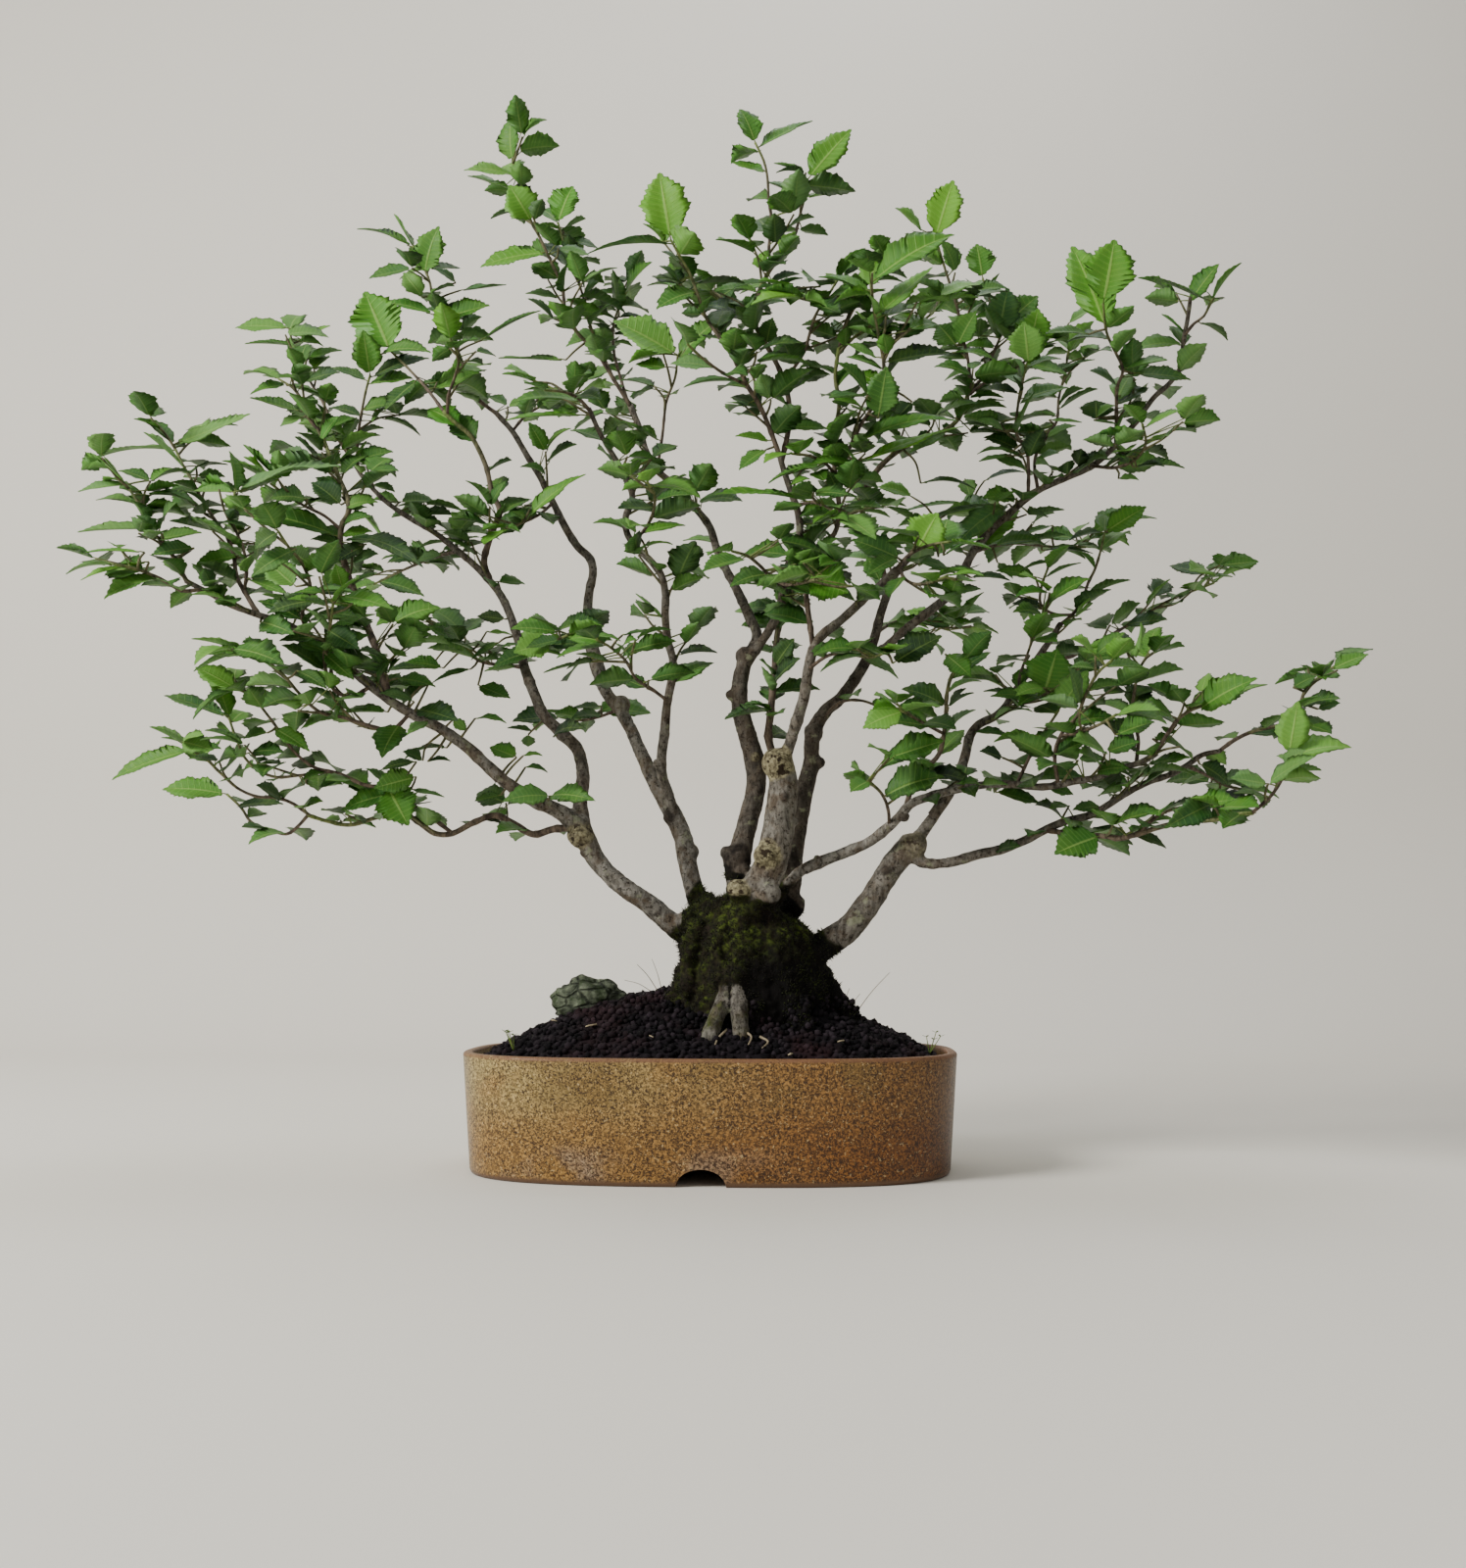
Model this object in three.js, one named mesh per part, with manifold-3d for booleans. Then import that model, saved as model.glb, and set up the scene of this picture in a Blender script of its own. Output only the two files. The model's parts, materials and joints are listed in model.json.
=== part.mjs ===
// English elm bonsai: a tree of several stems on a mossy stump, in an oval glazed pot.
// Millimetres, +Z up. The origin is on the surface that the pot stands on, under the pot's centre.
import * as THREE from "three";
import { mergeVertices } from "three/addons/utils/BufferGeometryUtils.js";
import Module from "manifold-3d";

const wasm = await Module();
wasm.setup();

// Driving sizes
const POT = {
  halfLength: 185.5,
  halfDepth: 110,
  height: 88,
  taper: 6,
  wall: 7,
  floorFrom: 13,
  floorTo: 21,
  rim: 2.2,
  ring: 16,
  corner: 3,
  segments: 24,
};
const NOTCH = { x: 0, halfWidth: 17.5, height: 12.5 };
const DRAIN = { radius: 9, x: 90 };
const SEAT = 0.3; // gap between pieces that touch
const GROW = 0.35; // what stands in or against wood keeps this distance
const SOIL = { edge: 80, crest: 136, rings: [1, 0.9, 0.74, 0.54, 0.3], along: 1.75, across: 1.15, round: 0.9 };
const STONE = { x: -96, y: 8, z: 122, size: [29, 20, 20] };
const MESH = { half: 13, thick: 1.4, hole: 5, pitch: 10 }; // square mesh over each drain hole

// A branch sways in depth along its route: by a share of its length up to a most, one turn in so much.
const SWAY = { share: 1 / 40, most: 5, turn: 21, settle: 4 };
const WOOD_TOLERANCE = 1.8; // how far a thinned route may leave the drawn one
const TWIG_TOLERANCE = 2.4;

// Leaves
const BLADE = 0.7; // thickness
const FOLD = 0.24; // rise of a leaf's halves from its midrib
const CLEAR = 1.5; // least distance between a leaf and what it doesn't grow from
const OWN_TWIG = 7; // a leaf's own twig may be nearer than that up to here from its foot
const ROW_STEP = 3; // spacing of the points at which a limb is tried against leaves
const LEAF_STEP = 94; // mean distance between leaves along a twig
const LEAF_FROM = 14; // bare foot of each twig
const TRIES = 6;
const LEAF = {
  length: [28, 40],
  width: [0.55, 0.68],
  turn: [0.8, 1.25],
  endTurn: [-0.4, 0.4],
  droop: [-0.3, 0.12],
  faceX: [-0.4, 0.4],
  faceY: [-1.4, 0.5],
};
// Half of a leaf's edge from stalk to tip, as shares of its length and half width, with forward teeth.
const SMALL_EDGE = [[0.24, 0.84], [0.54, 1], [0.62, 0.74]];
const LARGE_EDGE = [[0.22, 0.82], [0.46, 1], [0.52, 0.8], [0.76, 0.66]];
const RIB = 0.42; // share of a leaf's length at which its ribs meet
const ENVELOPE = [[0, 0.06], [0.25, 0.88], [0.5, 1], [0.75, 0.72], [1, 0.04]];

// Branch routes are drawn as [x, z] on the front plane y = 0, as seen from this viewing point.
// A branch keeps its place in that view while it leans forwards (y < 0) or back (y > 0).
const VIEW = new THREE.Vector3(78, -1139, 164);
function seen(x, z, y) {
  const share = (y - VIEW.y) / -VIEW.y;
  return new THREE.Vector3(VIEW.x + (x - VIEW.x) * share, y, VIEW.z + (z - VIEW.z) * share);
}

// One seeded draw for every random choice, so that the tree is the same each time.
let state = 20240;
function draw(low, high) {
  state = (Math.imul(state, 1664525) + 1013904223) >>> 0;
  return low + ((high - low) * state) / 4294967296;
}

// Stems and thick branches: [name, parent, [radii from base to tip], [depth at base, at tip], route].
// A depth of null starts where the parent is.
const WOOD = [
  ["stump", null, [50, 60, 65, 63, 54, 44, 28], [6, 4],
    [[34, 66], [34, 90], [34, 112], [33, 134], [29, 157], [22, 180], [21, 201]]],
  ["low_left", "stump", [13, 8.8, 7.6, 7.2, 8.2], [-4, -30],
    [[12, 167], [-22, 177], [-38, 190], [-52, 201], [-66, 210], [-80, 222], [-92, 236], [-104, 262]]],
  ["left_arm", "low_left", [6.6, 4.6, 3.4, 2.6, 1.9], [null, -95],
    [[-101, 258], [-120, 271], [-142, 281], [-162, 294], [-178, 308], [-195, 323], [-215, 337],
     [-240, 350], [-262, 364], [-282, 380], [-300, 396], [-322, 411], [-342, 423], [-366, 431],
     [-388, 439], [-408, 450], [-427, 460]]],
  ["left_fork", "low_left", [6, 4.6, 3.4, 2.4, 1.7], [null, 80],
    [[-101, 259], [-103, 282], [-101, 300], [-106, 320], [-120, 334], [-134, 349], [-141, 365],
     [-149, 386], [-154, 407], [-161, 428], [-170, 446], [-186, 465], [-204, 481], [-224, 497],
     [-244, 509], [-264, 523], [-283, 543], [-293, 559]]],
  ["second", "stump", [9.5, 7.8, 7.6, 7.4, 5.9, 5.3, 5.2, 6.2, 4.2, 3.6, 3.4, 3.1, 2.8, 2.5, 2.2], [12, 95],
    [[4, 180], [-9, 198], [-15, 216], [-20, 236], [-22, 250], [-28, 264], [-38, 282], [-48, 300],
     [-56, 318], [-64, 336], [-73, 352], [-84, 366], [-91, 386], [-96, 406], [-99, 426],
     [-98, 446], [-95, 462], [-98, 474], [-108, 484], [-118, 500], [-128, 520], [-138, 540],
     [-150, 560], [-162, 580], [-176, 596]]],
  ["third", "second", [4.4, 3.4, 2.6, 1.7], [null, -70],
    [[-27, 262], [-33, 282], [-39, 300], [-39, 316], [-37, 332], [-36, 348], [-34, 362],
     [-31, 378], [-31, 392], [-35, 406], [-37, 424], [-37, 442], [-40, 458], [-48, 470],
     [-60, 482], [-68, 494], [-69, 508], [-64, 524], [-72, 545], [-82, 562], [-92, 580],
     [-100, 598]]],
  ["mid_left", "stump", [11, 10, 8.6, 7.6, 8, 7.2, 6.4, 6], [-10, -14],
    [[26, 186], [20, 222], [24, 245], [30, 268], [35, 290], [34, 308], [28, 330], [23, 350],
     [22, 368], [25, 386], [30, 398]]],
  ["mid_back", "mid_left", [4.6, 3.4, 2.8, 2.2], [null, 65],
    [[27, 388], [36, 408], [30, 424], [22, 442], [12, 462], [4, 480], [-2, 498], [-12, 512],
     [-28, 530], [-44, 546], [-53, 562], [-59, 582], [-66, 600]]],
  ["mid_front", "mid_left", [4.2, 3, 2.2], [null, -55],
    [[27, 384], [43, 410], [53, 428], [57, 446], [60, 464], [69, 486], [69, 506], [63, 526],
     [57, 545], [54, 556]]],
  ["centre", "stump", [17, 13.5, 12.4, 12.2, 11.6, 10.5], [-26, -34],
    [[24, 182], [36, 208], [46, 229], [51, 250], [54, 272], [56, 292], [53, 311]]],
  ["centre_right", "centre", [5, 3.8, 2.6], [null, -75],
    [[57, 300], [62, 326], [68, 344], [73, 362], [76, 382], [81, 400], [88, 410], [102, 421],
     [118, 436], [134, 450], [146, 462]]],
  ["back_right", "stump", [13, 9.4, 7, 5.2, 3.8, 2.6], [30, 80],
    [[46, 176], [58, 208], [62, 235], [67, 262], [73, 288], [78, 308], [79, 330], [88, 347],
     [102, 360], [114, 376], [123, 392], [129, 410], [134, 428], [140, 446], [147, 460],
     [160, 474]]],
  ["right_arch", "back_right", [4, 3.4, 2.8, 2.2, 1.6], [null, 30],
    [[121, 388], [140, 402], [155, 415], [172, 428], [188, 441], [198, 458], [206, 474],
     [218, 489], [236, 506], [254, 521], [274, 531], [294, 539], [308, 548], [322, 562],
     [336, 578], [350, 597], [364, 610], [373, 624], [375, 642], [379, 662], [382, 680]]],
  ["thin_right", "stump", [4.6, 4, 3.2, 2.6, 2], [0, -85],
    [[46, 198], [66, 221], [86, 231], [104, 238], [122, 246], [138, 258], [148, 268], [156, 276],
     [172, 282], [192, 287], [212, 290], [234, 290], [256, 288], [280, 292], [300, 296],
     [316, 302], [332, 307], [344, 314]]],
  ["low_right", "stump", [17, 11, 9.8, 9.4, 9.6], [4, -12],
    [[58, 148], [86, 166], [104, 178], [118, 194], [130, 212], [142, 230], [156, 246]]],
  ["right_up", "low_right", [5.2, 4, 3, 2.2], [null, 60],
    [[152, 240], [164, 254], [175, 270], [184, 283], [192, 297], [197, 312], [201, 328],
     [208, 337], [220, 343], [229, 351], [236, 362], [246, 377], [256, 391], [266, 405],
     [273, 416]]],
  ["right_low", "low_right", [4.4, 3.4, 2.6, 1.8], [null, -60],
    [[150, 237], [168, 229], [188, 231], [206, 236], [224, 240], [240, 246], [256, 254],
     [272, 261], [292, 266], [306, 274], [320, 283], [336, 291], [354, 297], [366, 304],
     [378, 312], [392, 315]]],
];

// Leafy branches and their twigs, in the same form. Each that grows from the wood above starts a piece
// of its own.
const TWIGS = [
  ["left_whip", "low_left", [3.2, 1.6], [null, 30],
    [[-104, 258], [-124, 257], [-140, 253], [-155, 261], [-170, 268], [-186, 263], [-204, 254],
     [-218, 254], [-230, 262], [-248, 272], [-268, 266], [-286, 261], [-304, 264], [-320, 269]]],
  ["whip_tip", "left_whip", [1.5, 1], [null, 10],
    [[-318, 268], [-332, 278], [-346, 283], [-362, 284], [-378, 291], [-392, 303], [-404, 314],
     [-416, 322]]],
  ["whip_drop", "left_whip", [1.5, 1], [null, 55],
    [[-320, 269], [-328, 260], [-337, 254], [-352, 258], [-366, 264], [-374, 275], [-386, 286]]],
  ["low_run", "left_whip", [1.8, 1], [null, -35],
    [[-204, 254], [-220, 266], [-238, 278], [-256, 290], [-276, 293], [-300, 303], [-325, 301],
     [-350, 300], [-370, 312], [-380, 330], [-387, 348]]],
  ["low_run_up", "low_run", [1.4, 1], [null, -60],
    [[-300, 303], [-318, 308], [-334, 321], [-345, 336], [-356, 350], [-368, 364], [-382, 371]]],
  ["mid_run", "left_arm", [1.7, 1], [null, -130],
    [[-240, 350], [-254, 337], [-272, 340], [-294, 347], [-312, 351], [-325, 361], [-336, 373],
     [-347, 385], [-360, 394], [-374, 399]]],
  ["arm_loop", "left_arm", [1.6, 1], [null, -125],
    [[-272, 372], [-288, 364], [-302, 369], [-309, 384], [-311, 400], [-307, 420], [-305, 440]]],
  ["arm_tip", "left_arm", [1.8, 1], [null, -95],
    [[-426, 460], [-434, 473], [-442, 486], [-455, 500], [-464, 513], [-471, 528], [-480, 541]]],
  ["arm_riser", "left_arm", [2, 1], [null, -30],
    [[-366, 431], [-376, 447], [-385, 463], [-388, 480], [-394, 496], [-404, 509], [-416, 527],
     [-426, 545], [-434, 558], [-442, 574]]],
  ["arm_riser_low", "arm_riser", [1.4, 1], [null, -85],
    [[-378, 451], [-377, 470], [-381, 488], [-389, 505], [-391, 520], [-389, 534]]],
  ["arm_middle", "left_arm", [1.6, 1], [null, -150],
    [[-322, 411], [-330, 430], [-324, 452], [-331, 472], [-344, 488], [-352, 500]]],
  ["arm_left", "left_arm", [1.7, 1], [null, -140],
    [[-400, 446], [-413, 452], [-430, 452], [-448, 462], [-468, 470], [-486, 474]]],
  ["left_riser", "left_arm", [3.4, 1.7], [null, 10],
    [[-258, 361], [-264, 385], [-270, 405], [-279, 425], [-286, 443], [-294, 465], [-300, 485],
     [-300, 503], [-294, 520], [-303, 543], [-313, 566], [-320, 584]]],
  ["riser_tip", "left_riser", [1.5, 1], [null, 10],
    [[-319, 582], [-330, 594], [-335, 608], [-344, 620], [-356, 628]]],
  ["riser_side", "left_riser", [1.4, 1], [null, -40],
    [[-300, 500], [-314, 512], [-330, 520], [-346, 530], [-360, 540]]],
  ["fork_tip", "left_fork", [1.6, 1], [null, 110],
    [[-292, 558], [-303, 573], [-311, 590], [-319, 608], [-329, 624], [-338, 642], [-345, 657],
     [-349, 671]]],
  ["fork_side", "left_fork", [1.5, 1], [null, 55],
    [[-288, 551], [-289, 575], [-286, 600], [-283, 618], [-280, 630]]],
  ["fork_back", "left_fork", [1.6, 1], [null, 168],
    [[-204, 481], [-222, 477], [-240, 470], [-258, 462], [-272, 455]]],
  ["fork_low", "left_fork", [1.7, 1], [null, 130],
    [[-149, 386], [-166, 388], [-184, 391], [-198, 402], [-210, 415], [-224, 424], [-240, 432]]],
  ["fork_short", "left_fork", [1.5, 1], [null, -20],
    [[-153, 400], [-140, 401], [-127, 406], [-114, 412]]],
  ["left_bow", "left_fork", [3, 1.8], [null, 25],
    [[-178, 456], [-183, 472], [-180, 487], [-175, 502], [-171, 514], [-178, 530], [-182, 548],
     [-189, 565], [-197, 578], [-208, 587], [-219, 598]]],
  ["bow_tip", "left_bow", [1.5, 1], [null, 55], [[-218, 597], [-232, 616], [-248, 634], [-264, 650]]],
  ["bow_up", "left_bow", [1.5, 1], [null, -15],
    [[-216, 594], [-215, 611], [-210, 627], [-207, 643], [-214, 658]]],
  ["second_tip", "second", [2, 1], [null, 125],
    [[-175, 595], [-188, 605], [-199, 616], [-202, 632], [-208, 648], [-216, 664], [-224, 680],
     [-230, 696], [-234, 712], [-247, 739]]],
  ["second_right", "second", [1.5, 1], [null, 165],
    [[-162, 580], [-152, 592], [-138, 601], [-122, 606], [-106, 612]]],
  ["second_mid", "second", [1.5, 1], [null, 20], [[-128, 520], [-138, 511], [-152, 504], [-166, 499]]],
  ["second_low", "second", [1.6, 1], [null, 90], [[-73, 352], [-88, 346], [-104, 343], [-122, 346]]],
  ["third_side", "third", [1.5, 1], [null, -85],
    [[-35, 358], [-48, 368], [-60, 376], [-68, 390], [-80, 401], [-92, 408]]],
  ["third_tip", "third", [1.5, 1], [null, -115], [[-99, 596], [-108, 606], [-120, 612], [-136, 614]]],
  ["third_mid", "third", [1.5, 1], [null, -120],
    [[-65, 488], [-56, 494], [-48, 508], [-46, 524], [-52, 536]]],
  ["back_tip", "mid_back", [2, 1], [null, 45],
    [[-65, 598], [-80, 622], [-94, 645], [-110, 662], [-120, 682], [-123, 702], [-132, 722],
     [-142, 744], [-149, 757], [-154, 775], [-160, 795], [-166, 811]]],
  ["back_tip_side", "back_tip", [1.5, 1], [null, 105],
    [[-80, 622], [-92, 650], [-101, 672], [-106, 694], [-113, 714], [-121, 736], [-127, 756]]],
  ["back_low", "mid_back", [1.6, 1], [null, 130],
    [[-56, 572], [-66, 596], [-74, 622], [-80, 646], [-80, 670], [-72, 692], [-64, 708]]],
  ["lone_riser", "mid_back", [1.5, 1], [null, 10],
    [[-44, 546], [-40, 575], [-37, 602], [-30, 622], [-28, 641]]],
  ["crown_left", "mid_front", [2.2, 1], [null, -80],
    [[54, 555], [46, 579], [38, 598], [28, 615], [18, 636], [6, 655], [-5, 672], [-12, 692],
     [-18, 709], [-25, 722], [-34, 739]]],
  ["crown_left_low", "crown_left", [1.4, 1], [null, -130],
    [[28, 615], [14, 622], [2, 630], [-10, 640], [-20, 650]]],
  ["crown", "mid_front", [2.4, 1.7], [null, 0],
    [[55, 550], [61, 576], [62, 598], [57, 620], [48, 640], [38, 658], [33, 673], [37, 691],
     [44, 706], [50, 716]]],
  ["crown_right", "crown", [1.5, 1], [null, -50],
    [[58, 618], [67, 630], [75, 643], [79, 658], [84, 673], [93, 687], [101, 701]]],
  ["crown_top", "crown", [1.5, 1], [null, -15],
    [[49, 714], [46, 727], [47, 741], [48, 756], [46, 772], [45, 790], [42, 805], [35, 821]]],
  ["crown_top_side", "crown", [1.4, 1], [null, 30],
    [[46, 709], [58, 726], [67, 740], [71, 756], [75, 771], [78, 788]]],
  ["crown_back", "crown", [1.5, 1], [null, 110],
    [[36, 664], [24, 672], [10, 680], [-4, 688], [-20, 694]]],
  ["crown_front", "crown", [1.4, 1], [null, -70], [[36, 690], [50, 691], [66, 688], [80, 684]]],
  ["front_low", "mid_front", [1.6, 1], [null, -150],
    [[57, 446], [48, 455], [38, 466], [28, 474], [16, 478]]],
  ["front_low_side", "front_low", [1.4, 1], [null, -165], [[48, 455], [60, 450], [74, 452], [90, 456]]],
  ["front_up", "mid_front", [1.5, 1], [null, -120], [[67, 514], [80, 517], [92, 512], [104, 505]]],
  ["centre_thin", "centre", [3.4, 1.6], [null, 40],
    [[50, 300], [45, 325], [46, 345], [48, 365], [50, 388], [52, 412], [58, 432], [66, 452],
     [74, 475], [86, 492], [100, 503], [118, 510]]],
  ["centre_whip", "centre_right", [2.4, 1.5], [null, -40],
    [[80, 397], [78, 415], [75, 438], [75, 455], [80, 470], [90, 482], [99, 495], [101, 515],
     [98, 538], [98, 558], [99, 578], [102, 598], [99, 620], [102, 644]]],
  ["whip_left", "centre_whip", [1.4, 1], [null, -90], [[98, 540], [90, 549], [78, 555], [64, 557]]],
  ["whip_up", "centre_whip", [1.4, 1], [null, -30], [[102, 640], [106, 660], [112, 676], [118, 690]]],
  ["whip_stem", "centre_whip", [1.8, 1], [null, -95],
    [[99, 532], [108, 556], [118, 578], [129, 595], [136, 611], [138, 628], [135, 648], [131, 672],
     [128, 698]]],
  ["whip_stem_side", "whip_stem", [1.4, 1], [null, -60],
    [[138, 636], [150, 652], [165, 662], [178, 672]]],
  ["right_mid", "back_right", [3.2, 1.8], [null, 75],
    [[139, 444], [132, 470], [122, 495], [120, 520], [130, 540], [146, 556], [164, 566],
     [184, 573], [197, 584], [204, 602], [208, 612]]],
  ["mid_up", "right_mid", [1.5, 1], [null, 55],
    [[207, 609], [205, 632], [201, 652], [198, 672], [193, 691], [187, 712], [181, 735]]],
  ["mid_up_back", "right_mid", [1.5, 1], [null, 130],
    [[206, 606], [219, 620], [224, 634], [230, 648], [234, 662], [224, 680], [218, 700]]],
  ["mid_right", "right_mid", [1.5, 1], [null, 90],
    [[204, 602], [220, 614], [237, 622], [252, 631], [264, 641]]],
  ["arch_up", "right_arch", [1.6, 1], [null, 20],
    [[250, 518], [251, 545], [249, 560], [242, 570], [244, 595], [248, 613], [251, 627]]],
  ["arch_up_back", "right_arch", [1.6, 1], [null, 120],
    [[258, 523], [256, 548], [265, 566], [274, 580], [276, 598], [281, 618], [285, 638]]],
  ["arch_rise", "right_arch", [1.7, 1], [null, -20],
    [[320, 560], [321, 586], [322, 606], [327, 621], [321, 637], [315, 653], [313, 676]]],
  ["arch_tip", "right_arch", [1.4, 1], [null, 20], [[376, 648], [384, 658], [392, 664], [398, 676]]],
  ["arch_under", "right_arch", [1.5, 1], [null, -40],
    [[300, 543], [318, 541], [334, 547], [343, 560], [341, 576]]],
  ["arch_low", "right_arch", [1.6, 1], [null, 150],
    [[206, 474], [222, 479], [240, 481], [258, 479], [276, 477], [294, 477]]],
  ["heart", "centre_right", [1.6, 1], [null, -120],
    [[145, 461], [154, 471], [163, 477], [174, 481], [188, 483]]],
  ["heart_low", "heart", [1.4, 1], [null, -140],
    [[154, 471], [150, 458], [158, 450], [172, 450], [186, 456]]],
  ["centre_low", "centre_right", [1.5, 1], [null, -125],
    [[76, 382], [92, 393], [108, 394], [124, 391], [138, 395]]],
  ["back_short", "back_right", [1.6, 1], [null, 10],
    [[84, 341], [100, 355], [116, 357], [132, 352], [148, 350]]],
  ["back_out", "back_right", [1.6, 1], [null, 165],
    [[129, 410], [142, 418], [156, 421], [170, 417], [186, 412]]],
  ["back_end", "back_right", [1.7, 1], [null, 170],
    [[159, 473], [168, 488], [178, 500], [192, 509], [206, 514]]],
  ["right_spur", "thin_right", [2.2, 1.3], [null, -80],
    [[150, 270], [156, 288], [166, 302], [177, 314], [181, 330], [183, 350], [184, 362],
     [188, 376], [198, 388]]],
  ["right_spur_left", "right_spur", [1.3, 1], [null, -110],
    [[181, 330], [170, 336], [158, 343], [146, 350]]],
  ["right_short", "thin_right", [1.5, 1], [null, -70],
    [[138, 258], [137, 272], [132, 284], [122, 294]]],
  ["rise_a", "thin_right", [1.5, 1], [null, -35],
    [[236, 290], [244, 306], [252, 322], [262, 336], [270, 348]]],
  ["rise_b", "thin_right", [1.6, 1], [null, -135],
    [[268, 290], [266, 312], [272, 330], [284, 343], [290, 358], [300, 376], [312, 387]]],
  ["rise_b_side", "rise_b", [1.4, 1], [null, -155], [[271, 328], [284, 330], [300, 336], [314, 344]]],
  ["rise_tip", "thin_right", [1.6, 1], [null, -105],
    [[343, 313], [352, 328], [362, 341], [376, 349], [392, 353]]],
  ["rise_c", "thin_right", [1.5, 1], [null, -60],
    [[328, 306], [330, 326], [326, 344], [328, 360], [332, 378], [340, 392]]],
  ["up_tip", "right_up", [1.7, 1], [null, 85],
    [[272, 415], [282, 423], [290, 434], [295, 448], [301, 460], [306, 476], [309, 489]]],
  ["up_tip_left", "up_tip", [1.4, 1], [null, 20],
    [[282, 423], [268, 424], [258, 432], [259, 446], [264, 460]]],
  ["up_long", "right_up", [1.7, 1], [null, 125],
    [[258, 394], [276, 389], [292, 396], [310, 406], [328, 416], [344, 426], [360, 435],
     [376, 441], [392, 447]]],
  ["up_low", "right_up", [1.5, 1], [null, -20], [[228, 350], [242, 353], [255, 358], [268, 365]]],
  ["up_low_back", "up_low", [1.4, 1], [null, 20],
    [[242, 353], [240, 372], [246, 390], [252, 406], [258, 420]]],
  ["low_tip", "right_low", [1.7, 1], [null, -18],
    [[391, 315], [404, 324], [420, 331], [438, 335], [452, 344], [458, 362], [472, 374],
     [484, 382]]],
  ["low_side", "right_low", [1.5, 1], [null, 0], [[366, 304], [382, 296], [396, 288], [412, 284]]],
  ["low_front", "right_low", [2.4, 1.5], [null, -160],
    [[258, 255], [280, 251], [300, 250], [314, 248], [330, 252], [346, 257], [366, 261],
     [386, 262], [402, 266], [415, 267]]],
  ["low_front_tip", "low_front", [1.4, 1], [null, -175],
    [[414, 267], [427, 278], [436, 290], [441, 302], [444, 312]]],
  ["low_front_mid", "low_front", [1.4, 1], [null, -130],
    [[329, 252], [340, 263], [354, 270], [370, 273]]],
];

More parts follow.
